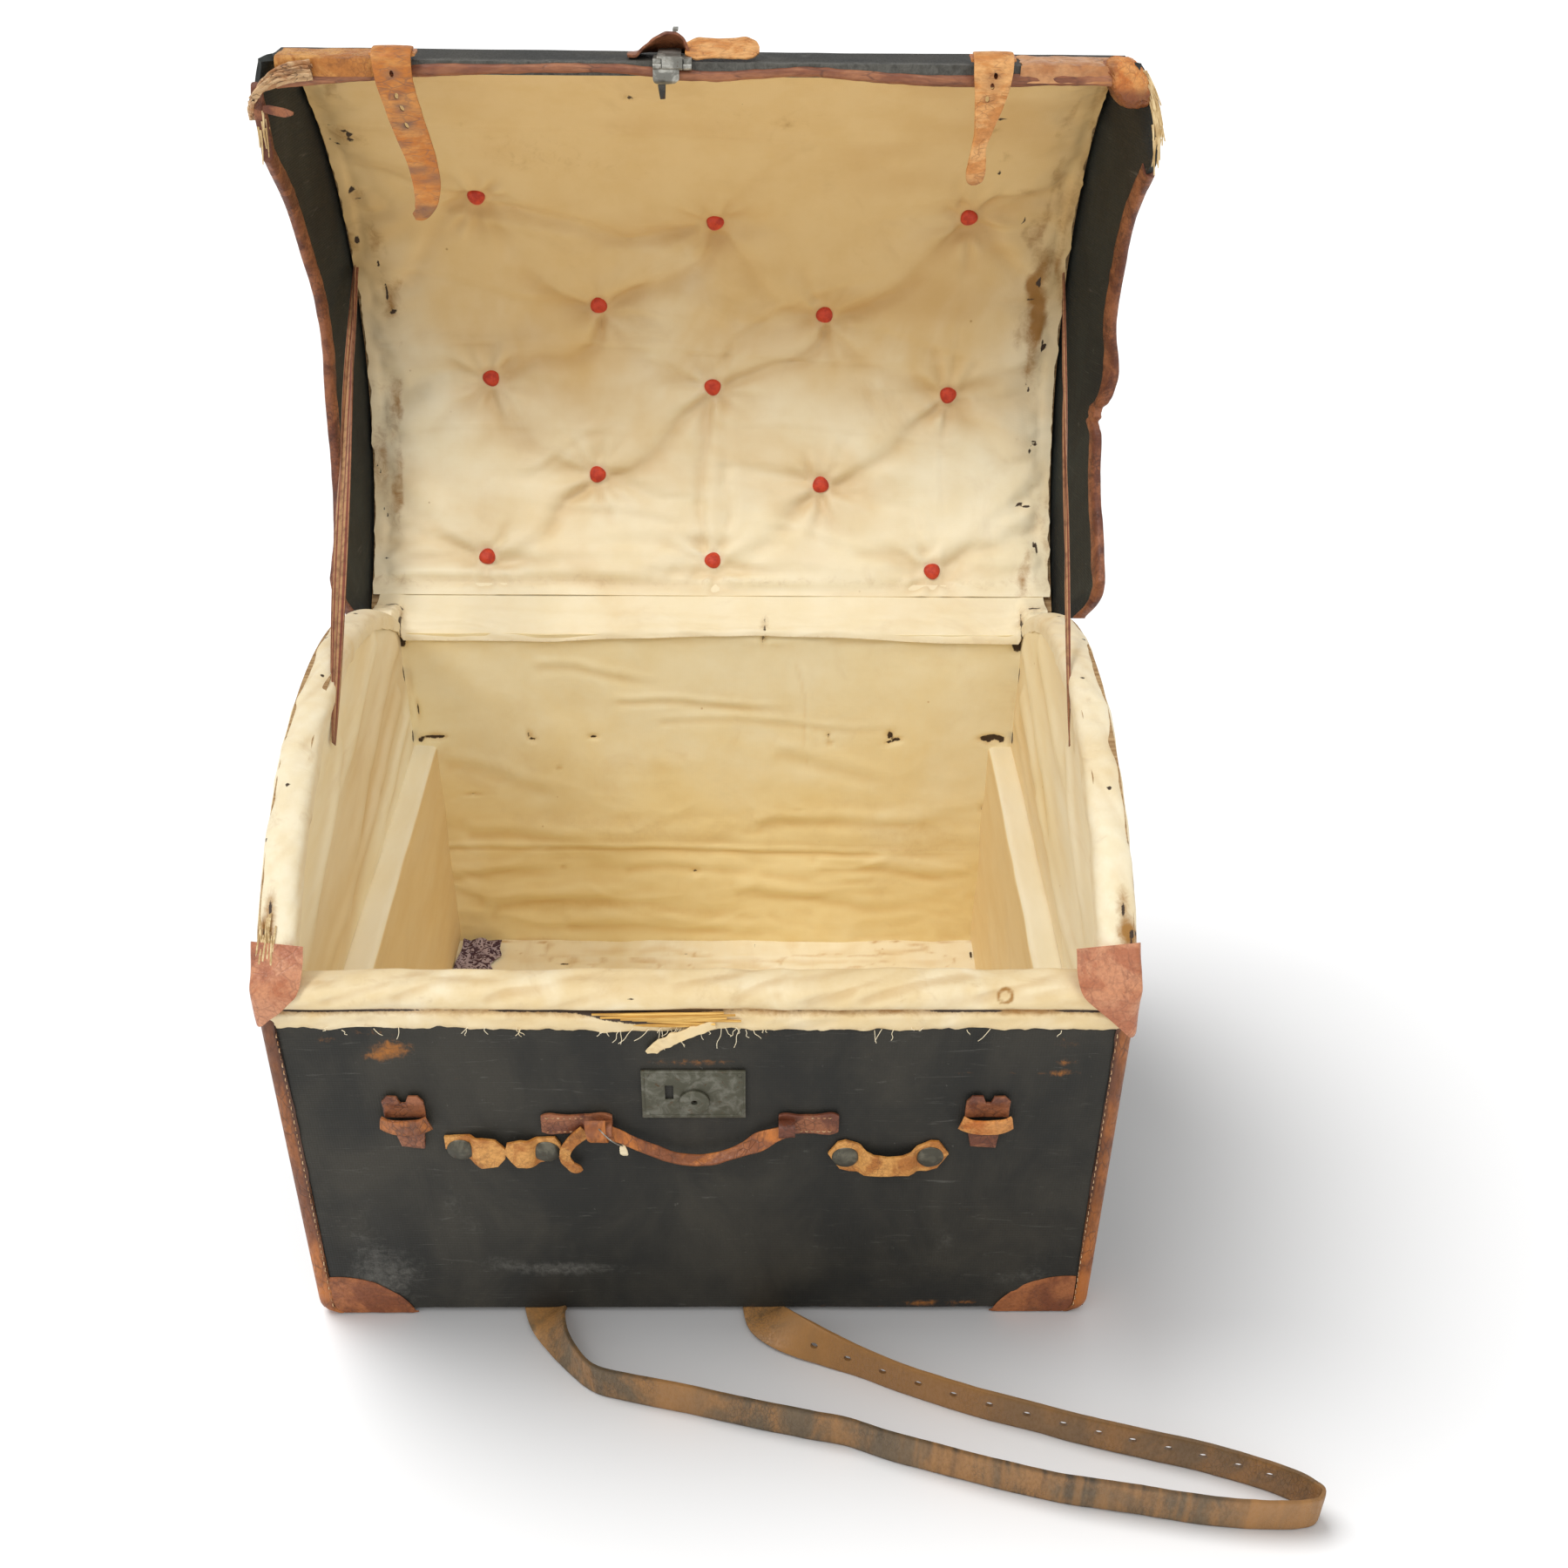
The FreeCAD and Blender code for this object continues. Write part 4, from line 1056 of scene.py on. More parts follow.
@dataclass(frozen=True)
class ButtonCloth:
    """Scarlet cloth drawn over the tufting buttons."""
    name: str

    def make(self) -> bpy.types.Material:
        """Mix the material and return it.

        Returns:
            The finished material.
        """
        mix = Recipe(self.name)
        shade = mix.band(mix.noise(5, 4, 0.6), 0.35, 0.7)
        colour = mix.mix(shade, (0.62, 0.045, 0.006), (0.42, 0.022, 0.004))
        relief = mix.bump(mix.threads(0.6), 0.08, 0.5)
        return mix.done(colour, mix.band(shade, 0, 1, 0.5, 0.65), relief, Sheen_Weight=0.12)


class Finishes:
    """Every finish on the trunk, mixed once."""

    def __init__(self) -> None:
        """Mix them all."""
        self.lid_cotton = Cotton("lid_cotton", (0.92, 0.82, 0.59), (0.76, 0.54, 0.25), blotch=0.12, cloud=170,
                                 stretch=(60, 40, 40), crease=1.2, fold=(0.66, 0.48, 0.26)).make()
        # Painted light: the wall and end linings get paler copies of the cotton, brighter than the lid's, to
        # make up for the shade inside the trunk.
        self.wall_cotton_lightened = Cotton("wall_cotton_lightened", (0.97, 0.88, 0.62), (0.94, 0.78, 0.43), (0.58, 0.34, 0.10),
                                  blotch=0.12, stretch=(60, 40, 30), crease=1.2, fold=(0.78, 0.60, 0.36),
                                  ragged=0.4).make()
        self.side_cotton_lightened = Cotton("side_cotton_lightened", (0.97, 0.90, 0.70), (0.94, 0.80, 0.50), (0.58, 0.34, 0.10),
                                  blotch=0.16, cloud=110, stretch=(90, 220, 80), crease=0.8,
                                  fold=(0.76, 0.60, 0.38), ragged=0.4, along=3.6).make()
        self.rim_cotton = Cotton("rim_cotton", (0.90, 0.80, 0.58), (0.80, 0.63, 0.36), blotch=0.16, cloud=60,
                                 stretch=(30, 14, 14), crease=1.6, fold=(0.62, 0.44, 0.24)).make()
        self.canvas = WaxedCanvas("waxed_canvas").make()
        self.skirt = WaxedCanvas("skirt_canvas", (0.007, 0.0085, 0.0078), (0.021, 0.027, 0.025)).make()
        self.brown = Leather("edge_leather", (0.25, 0.074, 0.020), (0.52, 0.165, 0.028),
                             (0.065, 0.024, 0.011), patch=24, grain=(1, 1, 3), gloss=0.46).make()
        self.amber = Leather("amber_leather", (0.56, 0.165, 0.024), (0.74, 0.32, 0.085), (0.13, 0.035, 0.012),
                             patch=18, crack=6, cracks=0.35, gloss=0.42, wear=0.4).make()
        self.orange = Leather("tan_leather", (0.46, 0.165, 0.026), (0.70, 0.34, 0.085), (0.16, 0.05, 0.012),
                              patch=22, crack=4.5, cracks=0.4).make()
        self.billet = Leather("billet_leather", (0.52, 0.165, 0.018), (0.60, 0.25, 0.055),
                              (0.15, 0.085, 0.06), patch=13, crack=5, cracks=0.5, grain=(2.4, 1, 0.8),
                              wear=0.35).make()
        self.pale_hide = Leather("pale_hide", (0.62, 0.245, 0.055), (0.80, 0.42, 0.15), (0.24, 0.09, 0.03),
                                 patch=14, crack=4, cracks=0.5, grain=(2.0, 1, 0.8), wear=0.3).make()
        self.roll = Leather("roll_leather", (0.23, 0.075, 0.034), (0.42, 0.17, 0.075), (0.065, 0.026, 0.02),
                            patch=26, grain=(4, 1, 1), gloss=0.44).make()
        self.plate_hide = Leather("corner_hide", (0.46, 0.19, 0.065), (0.62, 0.31, 0.13), (0.20, 0.085, 0.04),
                                  patch=24, crack=12, cracks=0.5, grain=(2, 1, 1), gloss=0.42).make()
        self.red = Leather("red_leather", (0.15, 0.042, 0.018), (0.33, 0.115, 0.045), (0.045, 0.015, 0.008),
                           patch=24, gloss=0.46).make()
        self.patch = Leather("patch_leather", (0.22, 0.062, 0.019), (0.42, 0.14, 0.042), (0.06, 0.022, 0.010),
                             patch=40, crack=10, cracks=0.35).make()
        self.cap = Leather("cap_leather", (0.46, 0.155, 0.068), (0.62, 0.27, 0.135), (0.16, 0.055, 0.03),
                           patch=24, crack=9, cracks=0.3, gloss=0.42).make()
        self.frayed = Leather("frayed_leather", (0.44, 0.20, 0.075), (0.72, 0.48, 0.26), (0.12, 0.05, 0.022),
                              patch=10, crack=3, cracks=0.9, grain=(3, 1, 1)).make()
        self.strap = Leather("strap_leather", (0.145, 0.098, 0.050), (0.34, 0.165, 0.050),
                             (0.050, 0.034, 0.018), patch=52, crack=2.6, cracks=0.55, gloss=0.46,
                             grain=(1, 1, 2.4), wear=0.3).make()
        self.lock = Metal("lock_patina", (0.075, 0.072, 0.046), (0.16, 0.155, 0.12), metallic=0.35,
                          gloss=0.5).make()
        self.plate = Metal("hasp_steel", (0.20, 0.195, 0.17), (0.48, 0.47, 0.42), metallic=0.6).make()
        self.iron = Metal("old_iron", (0.045, 0.042, 0.036), (0.11, 0.10, 0.085), metallic=0.7).make()
        self.rivet = Metal("rivet_patina", (0.060, 0.055, 0.038), (0.13, 0.12, 0.085), metallic=0.4).make()
        self.wood = Timber("pine", (0.50, 0.33, 0.16), (0.30, 0.17, 0.07)).make()
        self.cane = Timber("split_cane", (0.86, 0.54, 0.15), (0.50, 0.25, 0.05), (40, 1.2, 1.2)).make()
        self.straw = Timber("straw", (0.80, 0.62, 0.34), (0.50, 0.33, 0.14), (3, 3, 14)).make()
        self.tape = StripedTape("striped_tape").make()
        self.scrap = Scrap("printed_scrap").make()
        self.button = ButtonCloth("button_cloth").make()


# ---------------------------------------------------------------- the room
@dataclass
class Studio:
    """Camera, floor and lamps."""
    lens: float = 38.922
    pitch: float = 0.594
    yaw: float = 0.020
    roll: float = -0.014
    eye: Sequence[float] = (0.0398, -1.1219, 1.1115)

    def camera(self) -> None:
        """Set the camera above and in front of the trunk."""
        ahead = Vector((math.sin(self.yaw) * math.cos(self.pitch), math.cos(self.yaw) * math.cos(self.pitch),
                        -math.sin(self.pitch)))
        level = Vector((math.cos(self.yaw), -math.sin(self.yaw), 0))
        down = ahead.cross(level)
        right = math.cos(self.roll) * level + math.sin(self.roll) * down
        up = math.sin(self.roll) * level - math.cos(self.roll) * down
        data = bpy.data.cameras.new("camera")
        data.sensor_width = 36
        data.lens = self.lens
        data.clip_end = 100
        camera = bpy.data.objects.new("camera", data)
        bpy.context.scene.collection.objects.link(camera)
        turned = [[right[i], up[i], -ahead[i], self.eye[i]] for i in range(3)]
        camera.matrix_world = Matrix(turned + [[0, 0, 0, 1]])
        bpy.context.scene.camera = camera

    def floor(self) -> None:
        """Lay a wide pale floor that keeps the trunk's soft shadow."""
        deselect()
        bpy.ops.mesh.primitive_plane_add(size=60, location=(0, 0, 0))
        self.ground = named("floor")
        mix = Recipe("floor_paint")
        shade = mix.step("ShaderNodeBsdfDiffuse", {"Color": (0.93, 0.93, 0.93, 1)})
        mix.step("ShaderNodeOutputMaterial", {"Surface": shade})
        self.ground.data.materials.append(mix.material)

    def lamps(self) -> None:
        """Light the trunk softly from the upper left, with a white surround."""
        world = bpy.data.worlds.new("surround")
        bpy.context.scene.world = world
        world.use_nodes = True
        tree = world.node_tree
        tree.nodes.clear()
        direct = add_node(tree, "ShaderNodeLightPath", {}, "Is Camera Ray")
        for name in ("Is Glossy Ray", "Is Transmission Ray"):
            ray = add_node(tree, "ShaderNodeLightPath", {}, name)
            direct = add_node(tree, "ShaderNodeMath", {0: direct, 1: ray}, operation="MAXIMUM")
        # The surround looks white and lights the trunk with a little less.
        bright = add_node(tree, "ShaderNodeMapRange", {"Value": direct, "To Min": 0.74, "To Max": 1.0})
        sky = add_node(tree, "ShaderNodeBackground", {"Strength": bright})
        add_node(tree, "ShaderNodeOutputWorld", {"Surface": sky})
        only = {name: bpy.data.collections.new(name) for name in ("floor_only", "all_but_floor")}
        for group in only.values():
            group.objects.link(self.ground)
        only["all_but_floor"].collection_objects[0].light_linking.link_state = "EXCLUDE"
        for name, power, angle, tilt, turn, group in (("key", 1.22, 20, 38, -52, "all_but_floor"),
                                                      ("fill", 0.62, 34, 32, 38, "all_but_floor"),
                                                      ("floor_key", 2.5, 38, 31, -128, "floor_only")):
            data = bpy.data.lights.new(name, "SUN")
            data.energy = power
            data.angle = math.radians(angle)
            lamp = bpy.data.objects.new(name, data)
            lamp.rotation_euler = (math.radians(tilt), 0, math.radians(turn))
            lamp.light_linking.receiver_collection = only[group]
            bpy.context.scene.collection.objects.link(lamp)

    def build(self) -> None:
        """Make the whole room."""
        bpy.context.scene.view_settings.view_transform = "Standard"
        self.camera()
        self.floor()
        self.lamps()


# ---------------------------------------------------------------- folds in cloth
@dataclass(frozen=True)
class Fold:
    """A crease in a flat sheet from one place to another, in the sheet's own millimetres."""
    start: tuple[float, float]
    end: tuple[float, float]
    high: float = 2.0
    wide: float = 5.0
    spread: float = 0.0
    bow: float = 0.0
    pinch: float = 1.0
    tied: bool = False

    def relief(self, x: np.ndarray, s: np.ndarray) -> np.ndarray:
        """Height of the crease at each place: a crest with a hollow on its lower side.

        Args:
            x: First coordinate of each place.
            s: Second coordinate.

        Returns:
            Height at each place.
        """
        x0, s0 = self.start
        dx, ds = self.end[0] - x0, self.end[1] - s0
        length = math.hypot(dx, ds)
        along = ((x - x0) * dx + (s - s0) * ds) / length
        beside = ((x - x0) * ds - (s - s0) * dx) / length
        if dx < 0:
            beside = -beside
        share = np.clip(along / length, 0, 1)
        beside = beside + self.bow * np.sin(2 * np.pi * share)
        wobble = rumple(along_x(along), 40, int(x0 * 7 + s0) & 255, 2) * self.wide * 0.3
        narrowing = self.pinch + (1 - self.pinch) * np.sin(np.pi * share)
        wide = self.wide * narrowing + self.spread * share * length
        d = (beside + wobble) / wide
        fade = ease(along, -5, 6) * ease(-along, -length - 4, -length * (0.96 if self.tied else 0.6))
        return self.high * fade * (np.exp(-d * d) - 0.8 * np.exp(-((d - 1.55) / 1.05) ** 2))


def creased(relief: np.ndarray, x: np.ndarray, s: np.ndarray, rows: Sequence[Sequence[float]],
            bow: float = 0.0) -> np.ndarray:
    """Add creases to a sheet's relief.

    Args:
        relief: Height at each place without them.
        x: First coordinate of each place.
        s: Second coordinate.
        rows: For each crease its start and end as four numbers, its height and its width.
        bow: Sideways bow of them all.

    Returns:
        The height with the creases.
    """
    for row in rows:
        relief = relief + Fold(row[:2], row[2:4], row[4], row[5], 0, bow).relief(x, s)
    return relief


def blots(x: np.ndarray, s: np.ndarray, marks: Sequence[Sequence[float]]) -> np.ndarray:
    """Soft round marks, each given as place, two radii and strength.

    Args:
        x: First coordinate of each place.
        s: Second coordinate.
        marks: The marks, as rows of five numbers.

    Returns:
        Strength at each place.
    """
    total = np.zeros_like(x)
    for mx, ms, rx, rs, strength in marks:
        total += strength * np.exp(-((x - mx) / rx) ** 2 - ((s - ms) / rs) ** 2)
    return total


# ---------------------------------------------------------------- lid lining
TUFTS = ((-194, 113.8), (4, 109.3), (218, 110.6), (-99, 94.1), (99, 92.7), (-198, 81.3), (0, 80), (212, 78.9),
         (-105, 64.8), (98, 63.2), (-205, 50.2), (0, 49.7), (200, 47.9))
# Buttons joined by a long crease, by their place in the list, with its height, width and sideways bow.
LINKS = ((2, 4, 5.6, 11, 4), (4, 6, 6.4, 10, -9), (6, 8, 6.4, 11, 5), (8, 10, 5.4, 10, 6),
         (1, 3, 5.6, 12, -7), (3, 5, 5.8, 11, -11), (7, 9, 3.4, 9, 6), (9, 11, 5.0, 11, 5),
         (6, 11, 5.2, 7, 2), (0, 3, 3.0, 12, 5), (11, 12, 2.8, 12, 8), (10, 11, 2.6, 14, 6),
         (5, 8, 2.8, 12, 4), (9, 12, 3.4, 11, -4), (1, 4, 4.0, 11, 5), (0, 1, 2.6, 13, 4),
         (7, 4, 3.0, 11, 5), (3, 6, 2.6, 10, 5))
# Creases in the cloth, as its own distances: start, end, height and width.
LID_CREASES = ((-305, 446, 300, 436, 1.0, 3), (-300, 232, 300, 214, 1.6, 2.4), (-280, 40, 290, 30, 1.8, 5),
               (-290, 20, 240, 12, 2.4, 5), (-120, 52, 150, 60, 1.8, 6), (120, 44, 300, 62, 2.4, 8),
               (-290, 60, -90, 30, 2.0, 7), (22, 62, 20, 196, 3.0, 7), (206, 70, 214, 330, 0.9, 2),
               (205, 330, 225, 470, 0.7, 2), (218, 364, 300, 290, 3.2, 9), (218, 364, 296, 400, 2.0, 7),
               (-194, 382, -300, 330, 3.4, 10), (-194, 382, -306, 270, 3.0, 9),
               (-194, 382, -306, 440, 2.0, 9), (212, 190, 304, 120, 3.2, 10), (212, 190, 304, 236, 2.0, 8),
               (-198, 203, -304, 150, 3.0, 11), (-198, 203, -304, 250, 2.0, 9),
               (-205, 40, -300, 132, 3.4, 10), (-205, 40, -304, 60, 2.0, 7), (200, 30, 304, 92, 3.0, 8),
               (200, 30, 304, 132, 2.6, 8), (200, 30, 304, 40, 2.2, 7), (4, 360, 120, 500, 1.2, 8),
               (-40, 520, -120, 370, 1.2, 8), (98, 110, 250, 110, 1.4, 8), (-300, 150, 0, 158, 0.9, 2.6),
               (0, 158, 300, 140, 0.9, 2.6), (-280, 300, -110, 270, 1.6, 4), (20, 240, 190, 330, 1.6, 4),
               (110, 250, 300, 210, 1.4, 4), (-90, 160, -190, 110, 1.6, 4), (30, 70, 180, 40, 1.6, 4),
               (-30, 70, -190, 96, 1.6, 4), (-290, 356, -60, 330, 1.4, 5), (-105, 118, -20, 96, 1.4, 8),
               (98, 110, 190, 170, 1.8, 9), (-99, 268, -194, 330, 1.2, 9))
# Stains and torn spots on the cloth: place along X, angle on the dome, two radii and strength.
LID_STAINS = ((-279, 95, 7, 17, 0.7), (-270, 98, 5, 12, 0.4), (288, 102.4, 11, 18, 0.65),
              (284, 93, 9, 20, 0.5), (-286, 127, 14, 9, 0.4), (-293, 113.6, 8, 9, 0.4),
              (-150, 126, 70, 18, 0.2), (40, 133, 90, 18, 0.16), (120, 104, 46, 16, 0.12),
              (-60, 119, 90, 14, 0.12), (286, 84, 8, 26, 0.35), (-288, 76, 8, 26, 0.3),
              (-288, 58, 7, 22, 0.3), (225, 130, 7, 5, 0.5), (-60, 138, 7, 6, 0.45),
              (-128, 122, 60, 10, 0.14), (274, 108, 8, 14, 0.6), (262, 116, 7, 8, 0.5),
              (282, 97, 8, 22, 0.7), (270, 90, 6, 16, 0.45), (240, 124, 6, 8, 0.4),
              (-284, 106, 7, 18, 0.5), (60, 131, 5, 5, 0.35), (-190, 131, 5, 5, 0.3))
LID_TEARS = ((-291, 128.4, 13, 2.2, 1), (-286, 126.6, 3, 7, 1), (-300, 125.4, 6, 2.4, 1),
             (-297, 114.6, 2.4, 6, 1), (-291, 113.0, 6, 2, 1), (-281, 96, 2.0, 12, 1),
             (-277, 93.6, 5, 2.2, 1), (-284, 102, 1.8, 7, 1), (286, 99, 2.0, 10, 1),
             (278, 96, 6, 1.8, 0.9), (-302, 106, 2.4, 6, 1), (293, 88, 1.8, 9, 1), (283, 80, 1.6, 8, 1),
             (292, 71, 5, 2.4, 1), (286, 69.5, 2, 4, 1), (284, 60, 7, 1.6, 1), (230, 133, 6, 2.4, 0.9),
             (238, 121, 3, 4, 0.9), (262, 110, 1.6, 8, 0.9), (-300, 58, 2, 8, 1), (-292, 50, 6, 1.8, 1),
             (296, 52, 2.2, 8, 1), (-300, 66, 1.8, 8, 1), (-60, 138, 3, 5, 1), (30, 136, 2, 2, 0.8))


@dataclass
class LidLining:
    """The buttoned cotton inside the lid."""
    finishes: Finishes
    half: float = 307.0
    radius: float = 296.5
    wall_y: float = -235.5
    wall_end: float = 324.5
    start: float = math.degrees(math.acos(216 / 296.5))
    columns: int = 110
    rows: int = 98

    @property
    def corner(self) -> float:
        """Angle at which the dome meets the front wall, in degrees."""
        return math.degrees(math.acos((self.wall_y - LID_Y) / self.radius))

    @property
    def arc(self) -> float:
        """Length of cloth over the dome."""
        return math.radians(self.corner - self.start) * self.radius

    @property
    def length(self) -> float:
        """Length of cloth from the hinges to the lid's front edge."""
        return self.arc + LID_Z + self.radius * math.sin(math.radians(self.corner)) - self.wall_end

    def run(self, angle: float) -> float:
        """Distance along the cloth to an angle on the dome."""
        return math.radians(angle - self.start) * self.radius

    def unrolled(self, rows: Sequence[Sequence[float]]) -> list[tuple[float, ...]]:
        """Marks with their angle on the dome turned into a distance along the cloth."""
        return [(x, self.run(angle), *rest) for x, angle, *rest in rows]

    def inset(self, x: np.ndarray, s: np.ndarray) -> np.ndarray:
        """Distance from each place to the cloth's nearest edge."""
        return np.minimum(np.minimum(self.half - np.abs(x), s), self.length - s)

    def nearest(self, x: np.ndarray, s: np.ndarray) -> np.ndarray:
        """Distance from each place to the nearest button."""
        return np.min([np.hypot(x - tx, s - self.run(angle)) for tx, angle in TUFTS], axis=0)

    def place(self, x: np.ndarray, s: np.ndarray, lift: np.ndarray) -> np.ndarray:
        """A point on the open lid's cloth, lifted towards the room inside.

        Args:
            x: Place along X of each point.
            s: Distance along the cloth of each point.
            lift: Height off the lid's inside.

        Returns:
            Points on the open lid.
        """
        turn = math.radians(self.start) + np.minimum(s, self.arc) / self.radius
        r = self.radius - lift
        y = LID_Y + r * np.cos(turn)
        z = LID_Z + r * np.sin(turn)
        down = np.maximum(s - self.arc, 0)
        on_wall = ease(s, self.arc - 14, self.arc + 14)
        wall = self.wall_y + lift * 0.4 + 2.0 * np.exp(-((s - self.arc) / 12) ** 2)
        y = np.maximum(y, wall) * (1 - on_wall) + on_wall * wall
        return lid_open(column(x, y, z - down))

    def relief(self, x: np.ndarray, s: np.ndarray) -> np.ndarray:
        """Creases, gathers and dimples over the whole cloth.

        Args:
            x: Place along X of each point.
            s: Distance along the cloth of each point.

        Returns:
            Height at each place.
        """
        total = np.zeros_like(x)
        free = np.ones_like(x)
        rng = np.random.default_rng(11)
        for tx, angle in TUFTS:
            ts = self.run(angle)
            near = np.hypot(x - tx, s - ts)
            total -= 3.6 * np.exp(-(near / 34) ** 2)
            free *= 1 - np.exp(-(near / 10.5) ** 4)
            for ray in range(10):
                turn = 2 * math.pi * (ray + rng.uniform(-0.3, 0.3)) / 10
                reach = rng.uniform(26, 66)
                total += Fold((tx, ts), (tx + reach * math.cos(turn), ts + reach * math.sin(turn)),
                              rng.uniform(1.0, 2.8), 2.8, 0.06).relief(x, s)
        for first, second, high, wide, bow in LINKS:
            start, end = self.unrolled((TUFTS[first], TUFTS[second]))
            total += Fold(start, end, high, wide, 0, bow, 0.35, True).relief(x, s)
        total = creased(total, x, s, LID_CREASES, 4)
        flat = plane(x, s)
        total += 1.3 * rumple(flat, (95, 60, 50), 5, 3) + 0.35 * crumple(flat, (44, 30, 50), 7)
        gathers = np.exp(-(s / 40) ** 2) * rumple(flat, (70, 9, 50), 9, 2)
        edge = ease(np.abs(x), 258, 300)
        frill = 1.2 * rumple(flat, (16, 26, 20), 15, 3) + 0.8 * crumple(flat, (22, 16, 50), 17)
        total += 2.2 * gathers + edge * frill
        return total * free

    def blown(self, piece: bpy.types.Object) -> np.ndarray:
        """Puff the cloth out between its buttons as padded fabric.

        Args:
            piece: Flat-lying cloth.

        Returns:
            How far each point is pushed off the dome, in millimetres.
        """
        start = spots(piece)
        x, s = self.flat.T
        pinned = (self.inset(x, s) < 7) | (self.nearest(x, s) < 5.2)
        group = piece.vertex_groups.new(name="held")
        group.add([int(i) for i in np.nonzero(pinned)[0]], 1.0, "REPLACE")
        take(piece)
        cloth = piece.modifiers.new("Cloth", "CLOTH")
        settings = cloth.settings
        settings.vertex_group_mass = "held"
        settings.quality = 5
        settings.mass = 0.25
        settings.tension_stiffness = settings.compression_stiffness = 25
        settings.bending_stiffness = 0.15
        settings.shrink_min = -0.012
        settings.use_pressure = True
        settings.uniform_pressure_force = 3.0
        settings.effector_weights.gravity = 0
        scene = bpy.context.scene
        for number in range(1, 21):
            scene.frame_set(number)
        bpy.ops.object.modifier_apply(modifier=cloth.name)
        scene.frame_set(1)
        shift = spots(piece) - start
        centre = lid_open(column(start[:, 0], LID_Y, LID_Z))
        inward = centre - start
        inward /= np.linalg.norm(inward, axis=1)[:, None]
        return np.clip(np.sum(shift * inward, axis=1), -3, 7)

    def marks(self, x: np.ndarray, s: np.ndarray) -> tuple[np.ndarray, np.ndarray]:
        """Soil and tears over the cloth.

        Args:
            x: Place along X of each point.
            s: Distance along the cloth of each point.

        Returns:
            Soil and tears at each place.
        """
        points = plane(x, s)
        moved = points + drift(points, 12, 45) * 4.5
        x, s = moved[:, 0], moved[:, 1]
        edge = ease(np.abs(x), 262, 312) * (0.12 + 0.6 * ease(rumple(points, (14, 50, 20), 21, 3), 0.0, 0.9))
        for middle, strength, seed in ((-284, 0.45, 25), (284, 0.42, 27)):
            worn = ease(rumple(points, (12, 44, 20), seed, 3), -0.1, 0.6)
            edge += strength * np.exp(-((x - middle) / 7) ** 2) * worn
        top = ease(s, self.length - 60, self.length) * 0.16
        stains = blots(x, s, self.unrolled(LID_STAINS))
        tears = blots(x, s, self.unrolled(LID_TEARS) + [(-126, self.length - 22, 3, 5, 0.8)])
        seams = 0.22 * np.exp(-((s - 12) / 5) ** 2)
        return edge + top + stains + seams, tears

    def cloth(self) -> None:
        """Make the cloth, puff it and crease it."""
        def flat(u: np.ndarray, v: np.ndarray) -> np.ndarray:
            """The cloth on the dome before it is puffed."""
            self.flat = np.stack([(u * 2 - 1) * self.half, v * self.length], axis=-1)
            return self.place(self.flat[:, 0], self.flat[:, 1], np.zeros_like(u))

        cloth = sheet("lid_lining_cloth", self.columns, self.rows, flat, (0, -1, 0))
        puff = self.blown(cloth)
        paint(cloth, "puff", puff / 14 + 0.5)
        paint(cloth, "flat_x", (self.flat[:, 0] + 400) / 1000)
        paint(cloth, "flat_s", self.flat[:, 1] / 1000)
        move(cloth, self.place(self.flat[:, 0], self.flat[:, 1], np.zeros(len(self.flat))))
        apply(cloth, "SUBSURF", subdivision_type="SIMPLE", levels=1, render_levels=1)
        puff, x, s = (taken(cloth, name) for name in ("puff", "flat_x", "flat_s"))
        x, s = x * 1000 - 400, s * 1000
        relief, near = self.relief(x, s), self.nearest(x, s)
        lift = (puff - 0.5) * 14 + relief
        lift = 1.6 + 8.5 * np.tanh(lift / 8.5) * (0.35 + 0.65 * ease(self.inset(x, s), 0, 14))
        lift = np.maximum(lift + (0.4 - lift) * np.exp(-(near / 8.5) ** 4), -2.5)
        ragged = 1.6 * rumple(plane(x, s), 12, 40, 3) * ease(np.abs(x), 292, 306) * np.sign(x)
        move(cloth, self.place(x + ragged, s, lift))
        soil_and_shade, tear = self.marks(x, s)
        # Painted shade: the hollows of the creases and the dimples round the buttons are marked for
        # darkening, with broad random tone on top.
        shade = 0.30 * np.clip(-relief / 4.2 - 0.12, 0, 1) + 0.12 * np.exp(-(near / 18) ** 2)
        paint(cloth, "soil_and_shade", soil_and_shade)
        paint(cloth, "crease", shade + 0.25 * ease(rumple(plane(x, s), (120, 60, 50), 43, 3), 0.0, 0.9))
        # Painted shade and yellowing: the cloth turns tan towards the lid's front edge, which faces down on
        # the open lid, and in a broad patch on the left.
        paint(cloth, "age", ease(s, 60, 440) + 0.25 * blots(x, s, ((-170, 250, 130, 120, 1),)))
        paint(cloth, "tear", tear)
        turn_to(cloth, (0, -1, 0))
        thicken(cloth, 1.0)
        dress(cloth, self.finishes.lid_cotton, Body.LID, ["lid_lining"], 60)

    def buttons(self) -> None:
        """Cover the tufting buttons: domed, with a rolled edge and a dimple."""
        made = []
        for number, (x, angle) in enumerate(TUFTS):
            button = dome_of(f"button_{number}", 7.4, -1.2, 24, 16)
            points = spots(button)
            around = np.hypot(points[:, 0], points[:, 1])
            dimple = 0.4 * np.exp(-(around / 2.2) ** 2) * (points[:, 2] > 0)
            points[:, 2] = (points[:, 2] + 1.2) * 0.56 - dimple
            points[:, :2] *= (1 + 0.05 * np.sin(3 * np.arctan2(points[:, 1], points[:, 0]) + number))[:, None]
            turn = math.radians(angle)
            r = self.radius - 0.6 - points[:, 2]
            closed = column(x + points[:, 0], LID_Y + r * math.cos(turn) - points[:, 1] * math.sin(turn),
                            LID_Z + r * math.sin(turn) + points[:, 1] * math.cos(turn))
            move(button, lid_open(closed))
            outward(button)
            made.append(button)
        dress(join(made, "tufting_buttons"), self.finishes.button, Body.LID, ["lid_buttons"])

    def build(self) -> None:
        """Line the lid and button the lining."""
        self.cloth()
        self.buttons()


